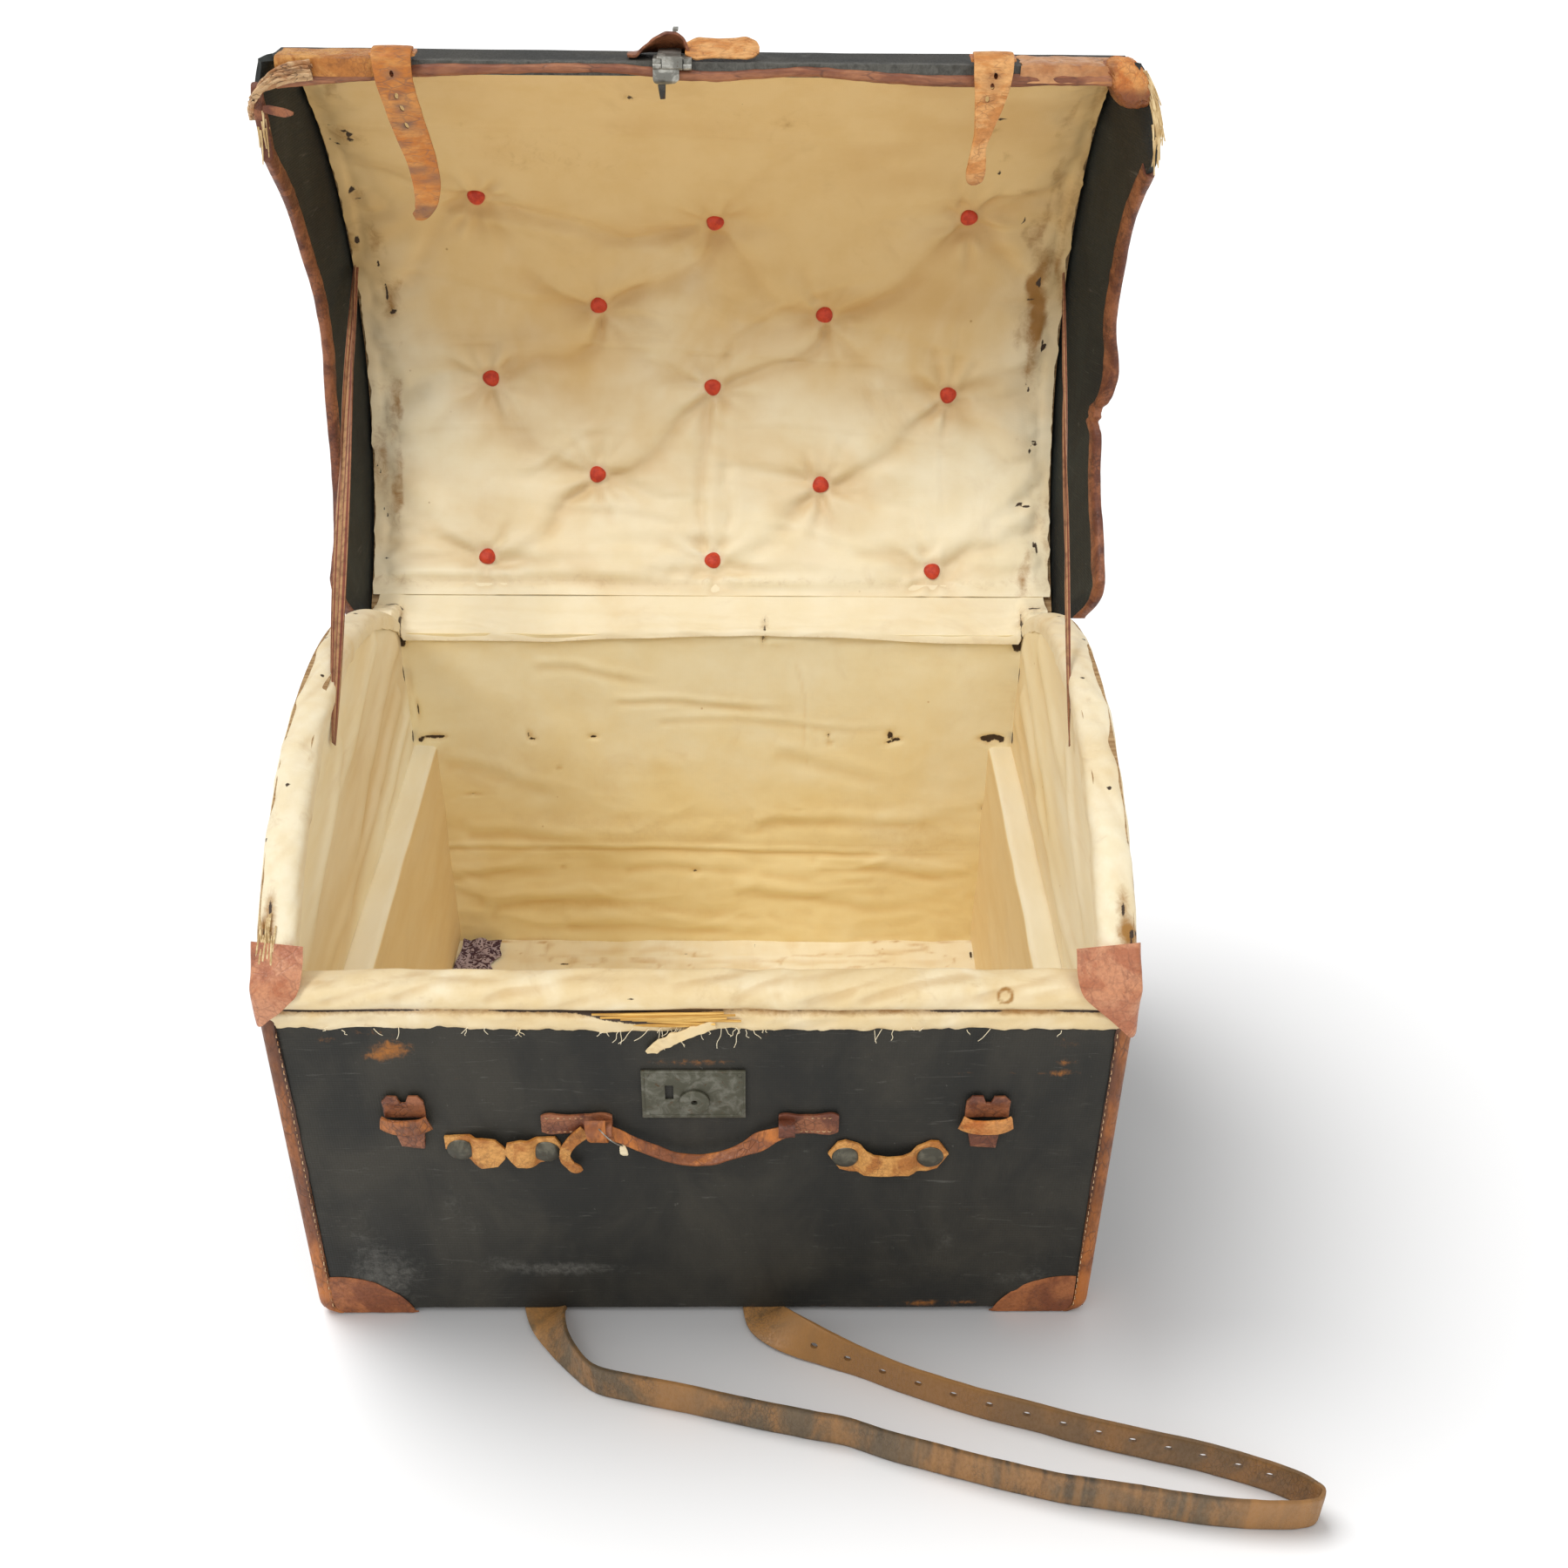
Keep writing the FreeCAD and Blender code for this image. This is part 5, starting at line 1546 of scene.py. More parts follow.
# ---------------------------------------------------------------- wall linings
@dataclass
class Interior:
    """Cotton glued over the inside of the trunk, with its two tray ledges."""
    finishes: Finishes
    half: float = 283.0
    back_y: float = 217.0
    front_y: float = -210.5
    floor_z: float = 15.0
    back_top: float = 371.0
    front_top: float = 301.0
    ledge_z: float = 250.0
    ledge_x: float = 259.0
    upper_x: float = 280.5

    def back(self) -> None:
        """Line the back wall: wrinkled in long soft ridges, holed where nails were."""
        holes = ((-262, 260, 10, 2.4, 1.1), (-273, 256, 4, 3.4, 0.9), (262, 261, 9, 3.4, 1.1),
                 (270, 257, 4, 4, 0.9), (-171.5, 262, 2.2, 5.0, 1.0), (-168, 257, 3, 2, 1.0),
                 (-112, 260.5, 4.5, 2.4, 1.0), (107, 262, 1.8, 3, 1.0), (109, 254, 2, 3, 1.0),
                 (165, 263, 3.4, 5, 1.1), (172, 258, 4.4, 3, 1.1), (164, 254, 4, 2, 1.0),
                 (46.6, 366, 2.0, 8, 1.0), (-146, 225, 1.8, 1.8, 0.9), (-20, 104, 4, 2.4, 0.9),
                 (-150, 108, 3, 2, 0.8), (-254, 260, 5, 2.0, 0.85), (253, 259, 6, 2.6, 0.9),
                 (258, 257, 3, 4, 0.8), (257, 180, 2, 5, 0.8), (-279, 362, 5, 8, 1.2),
                 (277, 360, 7, 9, 1.2), (-276, 320, 1.6, 16, 0.9), (-272, 290, 1.6, 10, 0.9),
                 (80, 178, 7, 1.4, 0.8), (-230, 196, 8, 1.2, 0.7))

        def shape(u: np.ndarray, v: np.ndarray) -> np.ndarray:
            """The back wall's cloth, with its ridges low on the wall and its gathered top.

            Args:
                u: Share of the way along for each point, from 0 to 1.
                v: Share of the way across for each point, from 0 to 1.

            Returns:
                The points in millimetres.
            """
            x, z = (u * 2 - 1) * self.half, self.floor_z + v * (self.back_top - self.floor_z)
            self.seen = (x, z)
            points = plane(x, z)
            low = ease(-z, -250, -110)
            lift = 0.8 * rumple(points, (120, 60, 50), 8, 2) + low * (
                1.6 * rumple(points, (130, 44, 50), 3, 3) + 1.5 * crumple(points, (110, 36, 50), 4))
            lift += (1 - low) * 0.3 * crumple(points, (120, 60, 50), 6)
            folds = ((-283, 135, 283, 131, 1.6, 3), (-90, 303, 80, 299, 1.0, 4),
                     (-160, 342, -40, 328, 0.9, 5), (-50, 282, 190, 276, 0.6, 4),
                     (-250, 240, -120, 200, 1.2, 9), (60, 250, 190, 215, 1.2, 9),
                     (-230, 64, -60, 92, 2.4, 9), (20, 88, 230, 64, 2.2, 9), (-150, 44, 90, 40, 2.0, 8),
                     (-240, 158, -60, 150, 1.6, 8), (40, 168, 250, 176, 1.8, 8),
                     (-90, 112, 60, 118, 1.4, 6), (100, 116, 262, 108, 1.8, 7),
                     (-262, 104, -150, 116, 1.6, 7), (80, 340, 96, 210, 0.7, 2))
            lift = creased(lift, x, z, folds, 3) - 2.6 * np.clip(blots(x, z, holes), 0, 1)
            top = ease(z, 350, 371)
            lift += top * (1.0 + 1.2 * rumple(points, (40, 8, 50), 12, 2))
            lift = np.clip(2.0 + lift, -1.6, 8.0)
            self.lift = lift
            return column(x, self.back_y - lift, z)

        cloth = sheet("back_lining_cloth", 200, 132, shape, (0, -1, 0))
        x, z = self.seen
        points = plane(x, z)
        warped = points + drift(points, 70, 19) * 12
        soil_and_shade = 0.30 * ease(rumple(warped, (150, 34, 50), 18, 3), 0.15, 0.9) * ease(-z, -225, -150)
        soil_and_shade += blots(x, z, ((-150, 62, 110, 9, 0.3), (160, 92, 100, 8, 0.24), (20, 50, 150, 10, 0.24),
                             (-171, 262, 5, 4, 0.4), (107, 258, 4, 5, 0.4), (166, 262, 7, 6, 0.35),
                             (46, 368, 4, 8, 0.4), (-257, 262, 12, 7, 0.5), (258, 258, 14, 8, 0.5)))
        soil_and_shade += 0.35 * ease(np.abs(x), 262, 284) * ease(rumple(points, (10, 60, 50), 23, 2), -0.2, 0.8)
        soil_and_shade += 0.25 * np.exp(-((z - self.floor_z) / 5) ** 2) + 0.14 * np.exp(-((z - 131) / 2.2) ** 2)
        # Tanner towards the bottom of the wall.
        paint(cloth, "age", 0.15 + 0.6 * ease(-z, -300, -60))
        paint(cloth, "soil_and_shade", soil_and_shade)
        # Painted shade: the hollows of the wrinkles are marked for darkening.
        paint(cloth, "crease", 0.42 * hollows(self.lift, 200, 1.1))
        paint(cloth, "tear", blots(x, z, holes))
        thicken(cloth, 0.9)
        dress(cloth, self.finishes.wall_cotton_lightened, Body.TRUNK, ["lining_back"], 60)

    def front(self) -> None:
        """Line the inside of the front wall."""
        def shape(u: np.ndarray, v: np.ndarray) -> np.ndarray:
            """The front wall's cloth."""
            x, z = (u * 2 - 1) * self.half, self.floor_z + v * (self.front_top - self.floor_z)
            lift = 1.2 + 0.9 * rumple(plane(x, z), (90, 22, 50), 33, 3)
            return column(x, self.front_y + np.clip(lift, 0.2, 3), z)

        cloth = sheet("front_lining_cloth", 90, 48, shape, (0, 1, 0))
        thicken(cloth, 0.9)
        dress(cloth, self.finishes.wall_cotton_lightened, Body.TRUNK, ["lining_front"], 60)

    def floor(self) -> None:
        """Line the floor, with a dirty seam along the back, and leave a printed scrap in the corner."""
        def shape(u: np.ndarray, v: np.ndarray) -> np.ndarray:
            """The floor's cloth, creased along the back.

            Args:
                u: Share of the way along for each point, from 0 to 1.
                v: Share of the way across for each point, from 0 to 1.

            Returns:
                The points in millimetres.
            """
            x, y = (u * 2 - 1) * 282.5, -210 + v * 426.5
            self.seen = (x, y)
            points = plane(x, y)
            lift = 1.4 + 1.2 * rumple(points, (60, 20, 50), 43, 3) + 0.6 * crumple(points, (60, 24, 50), 45)
            lift = creased(lift, x, y, ((-150, 186, 260, 190, 1.4, 3), (-40, 205, 120, 160, 1.2, 4)))
            self.lift = np.clip(lift, 0.1, 4)
            return column(x, y, self.floor_z + self.lift)

        cloth = sheet("floor_lining_cloth", 130, 100, shape, (0, 0, 1))
        x, y = self.seen
        points = plane(x, y)
        rings = np.exp(-((rumple(points, (60, 22, 50), 47, 2) - 0.3) / 0.07) ** 2)
        # Painted shade: the hollows of the creases are marked for darkening.
        paint(cloth, "crease", 0.4 * hollows(self.lift, 130, 0.8))
        soil_and_shade = 0.5 * rings * ease(y, 120, 180) + 0.3 * np.exp(-((y - 214) / 4) ** 2)
        soil_and_shade += 0.4 * ease(np.abs(x), 245, 262) * ease(rumple(points, (14, 14, 50), 49, 3), -0.3, 0.5)
        paint(cloth, "soil_and_shade", soil_and_shade)
        tears = ((-150, 178, 8, 1.6, 0.9), (-30, 196, 7, 1.6, 0.9), (40, 206, 2, 5, 0.9),
                 (150, 205, 8, 2, 0.9), (257, 192, 2.4, 9, 1.0), (251, 206, 6, 1.8, 0.9))
        paint(cloth, "tear", blots(x, y, tears))
        thicken(cloth, 0.9)
        dress(cloth, self.finishes.side_cotton_lightened, Body.TRUNK, ["lining_floor"], 60)

        def rag(u: np.ndarray, v: np.ndarray) -> np.ndarray:
            """A crumpled scrap with a ragged outline, against the back wall.

            Args:
                u: Share of the way along for each point, from 0 to 1.
                v: Share of the way across for each point, from 0 to 1.

            Returns:
                The points in millimetres.
            """
            x, y = -256 + u * 36, 168 + v * 44
            points = plane(x, y)
            edge = 1 - np.minimum(np.minimum(u, 1 - u), np.minimum(v, 1 - v)) * 4
            x = x + 6 * rumple(points, 16, 51, 2) * np.clip(edge, 0, 1)
            y = y + 6 * rumple(points, 16, 52, 2) * np.clip(edge, 0, 1) - 6
            z = 19.5 + 3.5 * rumple(points, 20, 53, 2) + 5 * ease(v, 0.5, 1) + 3 * np.clip(1 - u * 6, 0, 1)
            return column(x, np.minimum(y, 212.0), z)

        scrap = sheet("printed_scrap", 34, 44, rag, (0, 0, 1))
        thicken(scrap, 0.6)
        dress(scrap, self.finishes.scrap, smooth=60)

    def side(self, word: str, side: int) -> None:
        """Line one end: the tray ledge below, the upper wall above.

        Args:
            word: Which end, left or right.
            side: -1 for left and 1 for right.
        """
        rise, tread = 233.0, 24.0

        def ledge(u: np.ndarray, v: np.ndarray) -> np.ndarray:
            """Cloth up the ledge board and over its top.

            Args:
                u: Share of the way along for each point, from 0 to 1.
                v: Share of the way across for each point, from 0 to 1.

            Returns:
                The points in millimetres.
            """
            y = self.front_y + u * (self.back_y - self.front_y)
            run = v * (rise + tread)
            up = np.minimum(run, rise)
            inward = np.clip(run - rise, 0, tread)
            points = plane(y, run)
            lift = 1.0 + 0.8 * rumple(points, (80, 50, 50), 61 + side, 2)
            lift += 0.6 * crumple(points, (120, 80, 50), 63, 1)
            lift *= ease(run, 0, 8)
            round_off = 1.1 * np.exp(-((run - rise) / 2.0) ** 2)
            x = self.ledge_x + inward - np.clip(lift, 0, 2.5) * (inward < 1) + round_off
            z = self.floor_z + up + 1.8 + np.clip(lift, 0, 2.0) * (inward >= 1) - round_off
            self.seen = (y, run)
            return column(side * x, y, z)

        cloth = sheet(f"ledge_cloth_{word}", 90, 128, ledge, (-side, 0, 0.4))
        y, run = self.seen
        points = plane(y, run)
        soil_and_shade = 0.1 * ease(rumple(points, (90, 60, 50), 71 + side, 2), 0.0, 0.9) * ease(-run, -230, -60)
        soil_and_shade += 0.3 * ease(y, 150, 215) * ease(rumple(points, (20, 20, 50), 73, 3), -0.2, 0.7)
        soil_and_shade += 0.25 * np.exp(-((run - 229) / 3) ** 2)
        paint(cloth, "soil_and_shade", soil_and_shade)
        # Painted shade: the ledge's upright face is painted tanner and darker than its top, and the corner
        # where its top meets the wall is darkened.
        paint(cloth, "age", 0.7 * (run < 232))
        paint(cloth, "crease", 0.5 * (run < 232) + 0.5 * np.exp(-((run - 256) / 2.5) ** 2))
        tears = ((215, 240, 2.4, 7, 0.9), (60, 60, 3, 3, 0.8), (206, 180, 2, 14, 0.7))
        paint(cloth, "tear", blots(y, run, tears))
        thicken(cloth, 0.9)
        dress(cloth, self.finishes.side_cotton_lightened, Body.TRUNK, [], 50)

        seam = self.ledge_z + 0.5

        def upper(u: np.ndarray, v: np.ndarray) -> np.ndarray:
            """Cloth on the end wall above the ledge, with folds that run from front to back.

            Args:
                u: Share of the way along for each point, from 0 to 1.
                v: Share of the way across for each point, from 0 to 1.

            Returns:
                The points in millimetres.
            """
            y = self.front_y + u * (self.back_y - self.front_y)
            top = ARCH_Z + np.sqrt((ARCH_RADIUS - 7.5) ** 2 - (y - ARCH_Y) ** 2)
            z = seam + v * (top - seam)
            points = plane(y, z)
            self.seen = (y, z)
            slant = plane(y, z - 0.2 * y)
            lift = rumple(points, (260, 90, 50), 81 + side, 2)
            lift += 0.8 * crumple(slant, (300, 70, 50), 83 + side, 1)
            folds = ((200, 372, -120, 296, 3.2, 13), (186, 326, -190, 264, 3.4, 13),
                     (130, 412, -160, 352, 2.8, 12), (60, 300, -200, 288, 2.0, 8),
                     (208, 292, 40, 262, 2.4, 8), (-20, 404, -190, 326, 2.4, 9))
            self.lift = np.clip(creased(lift, y, z, folds) + 1.2, 0, 5.0)
            return column(side * (self.upper_x - self.lift), y, z)

        wall = sheet(f"upper_lining_cloth_{word}", 90, 46, upper, (-side, 0, 0))
        y, z = self.seen
        points = plane(y, z)
        soil_and_shade = 0.5 * ease(y, 175, 216) * ease(rumple(points, (22, 30, 50), 91, 3), -0.3, 0.6)
        soil_and_shade += 0.3 * np.exp(-((z - 252) / 7) ** 2)
        soil_and_shade += 0.08 * ease(rumple(points, (90, 120, 50), 93 + side, 2), 0, 0.8)
        paint(wall, "soil_and_shade", soil_and_shade * 0.6)
        streaks = ease(rumple(plane(y, z - 0.25 * y), (420, 60, 50), 95 + side, 1), -0.2, 0.7)
        # Painted shade in the hollows of the folds, with broad slanting streaks of darker tone.
        paint(wall, "crease", 0.4 * hollows(self.lift, 90, 1.6) + 0.45 * streaks)
        # Tanner towards the front on the left wall and towards the back on the right wall.
        paint(wall, "age", 0.4 * ease(-y if side < 0 else y, -160, 160))
        paint(wall, "tear", blots(y, z, ((214, 262, 8, 9, 1), (212, 330, 4, 14, 0.9), (-40, 300, 2, 2, 0.8),
                                         (-60, 268, 3, 2, 0.8), (20, 330, 1.6, 1.6, 0.8))))
        thicken(wall, 0.9)
        dress(wall, self.finishes.side_cotton_lightened, Body.TRUNK, [f"lining_{word}"], 60)
        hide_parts(f"lining_{word}")

    def build(self) -> None:
        """Line the whole trunk."""
        coat(["floor_board", "base_runners", "front_core", "back_core", "left_end_core", "right_end_core",
              "ledge_board_left", "ledge_board_right", "lid_core"], self.finishes.wood)
        self.back()
        self.front()
        self.floor()
        for word, side in SIDES:
            self.side(word, side)


# ---------------------------------------------------------------- rims
@dataclass
class Rims:
    """Padded cotton rolled over the top edges of the front and the two ends."""
    finishes: Finishes
    outer: float = 305.6
    inner: float = 278.4
    roll: float = 9.5
    hem: float = 6.0

    def end(self, word: str, side: int) -> None:
        """Wrap one arched end wall.

        Args:
            word: Which end, left or right.
            side: -1 for left and 1 for right.
        """
        start, stop = math.radians(47.2), math.radians(139.4)
        half, middle = (self.outer - self.inner) / 2, (self.outer + self.inner) / 2
        leg = RIM_DROP - self.roll
        bend = math.pi * (half + self.roll) / 2
        total = leg + bend + self.hem

        def shape(u: np.ndarray, v: np.ndarray) -> np.ndarray:
            """Cloth up the outside, over the roll and down to its hem inside.

            Args:
                u: Share of the way along for each point, from 0 to 1.
                v: Share of the way across for each point, from 0 to 1.

            Returns:
                The points in millimetres.
            """
            turn = start + u * (stop - start)
            along = turn * ARCH_RADIUS
            run = v * total
            arc = np.clip((run - leg) / bend, 0, 1) * np.pi
            drop = np.maximum(leg - run, 0) + np.maximum(run - leg - bend, 0)
            x = middle + half * np.cos(arc)
            r = ARCH_RADIUS - self.roll + self.roll * np.sin(arc) ** 0.8 - drop
            points = plane(along, run)
            self.seen = (along, run)
            crest = np.sin(arc)
            slant = plane(along + run * 1.5, run * 0.6)
            puff = rumple(points, (60, 34, 50), 101 + side, 3)
            puff += 1.3 * crumple(slant, (60, 30, 50), 103 + side)
            hem = ease(run, leg + bend - 3, total) * 1.6 * rumple(along_x(along), 14, 107, 3)
            fray = ease(-run, -7, 0) * 2.0 * rumple(along_x(along), 16, 109, 3)
            r = r + (puff - 0.6) * crest + hem + fray
            x = np.clip(x + puff * np.cos(arc) * 0.6, self.inner - 1.8, self.outer + 1.0)
            self.lift = puff * crest
            return column(side * x, ARCH_Y + r * np.cos(turn), ARCH_Z + r * np.sin(turn))

        cloth = sheet(f"rim_cloth_{word}", 260, 44, shape, (0, 0, 1))
        along, run = self.seen
        points = plane(along, run)
        edge = np.maximum(ease(-run, -9, 0), 0.5 * ease(run, total - 5, total))
        soil_and_shade = 0.5 * edge * ease(rumple(points, (18, 18, 50), 111, 3), -0.4, 0.6)
        soil_and_shade += 0.26 * ease(rumple(points, (30, 14, 50), 113 + side, 4), 0.35, 0.9)
        torn = ((22, 0.55, 12, 2.2), (34, 0.5, 3, 5), (50, 0.62, 9, 1.6), (14, 0.75, 4, 6),
                (70, 0.45, 7, 1.4))
        ends = [(stop * ARCH_RADIUS - d, total * w, a, b, 1.0) for d, w, a, b in torn]
        soil_and_shade += 0.6 * blots(along, run, [(a, b, c * 2.2, d * 2.6, e) for a, b, c, d, e in ends])
        paint(cloth, "soil_and_shade", soil_and_shade)
        # Painted shade: the hollows of the puffed cloth are marked for darkening.
        paint(cloth, "crease", 0.30 * hollows(self.lift, 260, 0.8))
        nails = [(start * ARCH_RADIUS + d, total * w, 2.2, 2.6, 1.0) for d, w in
                 ((60, 0.5), (128, 0.66), (196, 0.55), (262, 0.7), (330, 0.5), (376, 0.64), (418, 0.5))]
        paint(cloth, "tear", blots(along, run, nails + ends))
        thicken(cloth, 1.0)
        dress(cloth, self.finishes.rim_cotton, Body.TRUNK, [f"rim_{word}"], 60)

    def front(self) -> None:
        """Wrap the front wall: a soft roll, a slit below it and a frayed lower strip."""
        profile = ((-232.4, 303.0), (-233.0, 305.0), (-233.4, 310.0), (-233.2, 316.5), (-231.6, 318.6),
                   (-231.2, 320.2), (-233.0, 321.6), (-235.2, 324.5), (-236.0, 329.5), (-235.0, 335.0),
                   (-231.5, 339.6), (-226.5, 341.4), (-219.0, 341.6), (-213.0, 340.6), (-209.8, 337.0),
                   (-208.9, 330.0), (-209.3, 316.0), (-209.6, 301.5))

        def shape(u: np.ndarray, v: np.ndarray) -> np.ndarray:
            """Cloth from the wall's outside up over the roll and down inside.

            Args:
                u: Share of the way along for each point, from 0 to 1.
                v: Share of the way across for each point, from 0 to 1.

            Returns:
                The points in millimetres.
            """
            line = smooth_line([(y, z, 0) for y, z in profile], v)
            y, z = line[:, 0], line[:, 1]
            x, run = (u * 2 - 1) * (281.5 + 19.5 * ease(-y, 222, 228)), v * 90
            points = plane(x, run)
            self.seen = (x, run, z, y)
            out = ease(-y, 214, 232)
            slant = plane(x - v * 110, v * 60)
            puff = 1.2 * rumple(points, (70, 26, 50), 121, 3) + 1.8 * crumple(slant, (90, 24, 50), 123)
            slants = ((-262, -190), (-215, -150), (-150, -60), (20, 70), (70, 150), (110, 200), (190, 262))
            puff = creased(puff, x, run, [(low, 34, high, 58, 2.2, 5) for low, high in slants])
            puff = creased(puff, x, run, ((60, 30, 200, 62, 1.8, 7), (-200, 62, -60, 34, 1.8, 7),
                                          (-20, 44, 60, 66, 2.0, 5)))
            groove = np.exp(-((z - 319.5) / 2.2) ** 2) * out
            gap = np.exp(-((x + 25) / 46) ** 2)
            y = y - puff * out * (1 - groove) * 0.8 + groove * gap * 2.0
            z = z + (1 - out) * puff * 0.7 - out * gap * 3.2 * ease(-z, -319.0, -312.0)
            self.lift = puff
            z = z + ease(-z, -308, -304) * out * 1.8 * rumple(along_x(x), 11, 127, 3)
            return column(x, y, z)

        cloth = sheet("rim_cloth_front", 260, 52, shape, (0, -1, 1))
        x, run, z, y = self.seen
        points = plane(x, run)
        groove = np.exp(-((z - 319.5) / 1.9) ** 2) * (y < -228)
        gap = np.exp(-((x + 25) / 40) ** 4)
        # Painted shade: a dark band along the groove under the roll.
        soil_and_shade = 0.6 * np.exp(-((z - 319.5) / 4.0) ** 2) * (y < -228)
        soil_and_shade += 0.25 * ease(rumple(points, (40, 12, 50), 131, 4), 0.3, 0.9)
        soil_and_shade += 0.3 * ease(-z, -308, -303) * (y < -228)
        ring = np.hypot(x - 213, z - 334)
        soil_and_shade += 0.9 * np.exp(-((ring - 4.6) / 1.6) ** 2) * (y < -225)
        paint(cloth, "soil_and_shade", soil_and_shade)
        # Painted shade: the hollows of the puffed cloth are marked for darkening, except along the groove.
        paint(cloth, "crease", 0.32 * hollows(self.lift, 260, 0.9) * (np.abs(z - 319.5) > 1.5))
        pegs = blots(x, z, ((-120, 338, 3, 2, 0.6), (-46, 333, 5, 1.4, 0.8), (-180, 330, 4, 1.2, 0.7)))
        pegs *= y < -225
        hole = blots(x, z, ((-20, 313.5, 34, 3.4, 1.4), (-50, 317, 26, 2.4, 1.2))) * (y < -228)
        # Painted shade: the slit along the groove is painted near-black for the gap behind it.
        open_slit = groove * (0.62 + 0.4 * ease(rumple(points, (50, 20, 50), 133, 2), -0.3, 0.3))
        paint(cloth, "tear", open_slit + pegs + hole)
        paint(cloth, "age", 0.25 + 0.35 * ease(rumple(points, (160, 60, 50), 135, 2), -0.2, 0.6))
        thicken(cloth, 0.9)
        dress(cloth, self.finishes.rim_cotton, Body.TRUNK, ["rim_front"], 60)
        self.front_cloth = cloth

    def breach(self) -> None:
        """The torn place over the lock: cane laid bare, a hanging rag and loose threads."""
        rods = []
        rng = np.random.default_rng(5)
        for number, (low, high, z, y) in enumerate(((-74, 18, 318.2, -233.4), (-68, 26, 316.4, -234.3),
                                                    (-54, 20, 314.4, -234.6), (-46, 30, 312.4, -234.2),
                                                    (-38, 12, 310.2, -233.9), (-58, 2, 307.8, -233.6))):
            tilt = rng.uniform(-1.2, 1.2)
            knots = [(low + (high - low) * t, y - 0.6 * math.sin(3 * t + number), z + tilt * (t - 0.5) * 2,
                      0, 0, 1, 2.9 - 2.4 * abs(t - 0.5), 2.0 - 1.6 * abs(t - 0.5))
                     for t in (0, 0.25, 0.5, 0.75, 1)]
            rods.append(Strip(f"cane_{number}", knots, 24, 10, 0.7).build())
        dress(join(rods, "bare_cane"), self.finishes.cane)
        rag = Strip("hanging_rag", (
            (12, -234.2, 309, -0.35, 0, 1, 7, 1.2), (2, -235.6, 306.5, -0.4, 0, 1, 7, 1.4),
            (-12, -236.8, 301, -0.6, 0.1, 1, 8, 1.6), (-24, -236.4, 293, -0.7, 0.2, 1, 9, 1.5),
            (-33, -235.6, 286, -0.8, 0.1, 1, 6, 1.0), (-38, -234.8, 283, -0.8, 0, 1, 2, 0.6)), 40, 22).build()
        weather(rag, 1.3, 7, 141)
        x, y, z = spots(rag).T
        paint(rag, "age", np.ones_like(x))
        paint(rag, "soil_and_shade", 0.35 * ease(rumple(column(x, y, z), (12, 12, 4), 143, 3), -0.2, 0.6))
        dress(rag, self.finishes.rim_cotton)
        threads = []
        for number in range(46):
            at_breach = number < 18
            x = rng.uniform(-70, 40) if at_breach else rng.uniform(-262, 262)
            long = rng.uniform(5, 20) * (1 if at_breach else 0.6)
            lean = rng.uniform(-0.9, 0.9)
            z = rng.uniform(302.5, 306)
            knots = [(x + lean * long * t + rng.uniform(-1, 1), -233.4 - 0.8 * math.sin(3 * t), z - long * t,
                      1, 0, 0, 0.5, 0.5) for t in (0, 0.35, 0.7, 1)]
            threads.append(Strip(f"thread_{number}", knots, 8, 5, 1).build())
        fringe = join(threads, "rim_threads")
        dress(fringe, self.finishes.rim_cotton)

    def stuffing(self) -> None:
        """Straw that shows where the left rim is torn beside its corner cap."""
        rng = np.random.default_rng(37)
        made = []
        for number in range(16):
            x, first = rng.uniform(-303, -290), rng.uniform(-229, -212)
            lean, rise = rng.uniform(-3, 3), rng.uniform(0.4, 2.0)
            knots = []
            for t in (0, 0.35, 0.7, 1):
                y = first + 17 * t
                z = ARCH_Z + math.sqrt(ARCH_RADIUS ** 2 - (y - ARCH_Y) ** 2)
                z += rise * math.sin(math.pi * t)
                knots.append((x + lean * t, y, z, 1, 0, 0, 2.0 - t, 1.2 - 0.5 * t))
            made.append(Strip(f"stuffing_{number}", knots, 10, 6, 0.8).build())
        dress(join(made, "rim_straw"), self.finishes.straw)

    def build(self) -> None:
        """Wrap every rim."""
        for word, side in SIDES:
            self.end(word, side)
        self.front()
        self.breach()
        self.stuffing()


# ---------------------------------------------------------------- canvas and leather on the body
# Creases in the front canvas: start, end, height and width.
CANVAS_CREASES = ((-270, 96, -196, 8, 1.6, 8), (-250, 130, -215, 40, 1.2, 7), (150, 60, 280, 22, 1.4, 8),
                  (-292, 200, -286, 20, 1.2, 5), (288, 280, 292, 40, 1.2, 5), (-110, 96, -60, 60, 0.9, 7),
                  (170, 60, 282, 8, 1.0, 6), (-120, 300, -60, 262, 0.8, 6))
# Rusty and rubbed marks on the front canvas: place along X and Z, two radii and strength.
CANVAS_RUST = ((-216, 284, 15, 9, 0.85), (-228, 276, 12, 6, 0.6), (-6, 270, 38, 4, 0.62),
               (189, 262, 9, 2.4, 0.75), (222, 262, 12, 2.4, 0.6), (175, 11, 14, 2.4, 0.7),
               (90, 262, 12, 2, 0.75), (262, 270, 9, 6, 0.55), (140, 263, 18, 1.8, 0.7),
               (258, 259, 18, 2.6, 0.8), (-172, 256, 16, 3, 0.35), (200, 118, 8, 3, 0.5),
               (-40, 90, 4, 3, 0.4), (262, 290, 14, 7, 0.4), (-262, 292, 12, 8, 0.4),
               (120, 274, 30, 3, 0.4), (210, 11, 12, 2, 0.6), (-150, 300, 60, 4, 0.25),
               (60, 296, 90, 5, 0.28), (215, 170, 10, 4, 0.4), (-230, 300, 20, 4, 0.4))
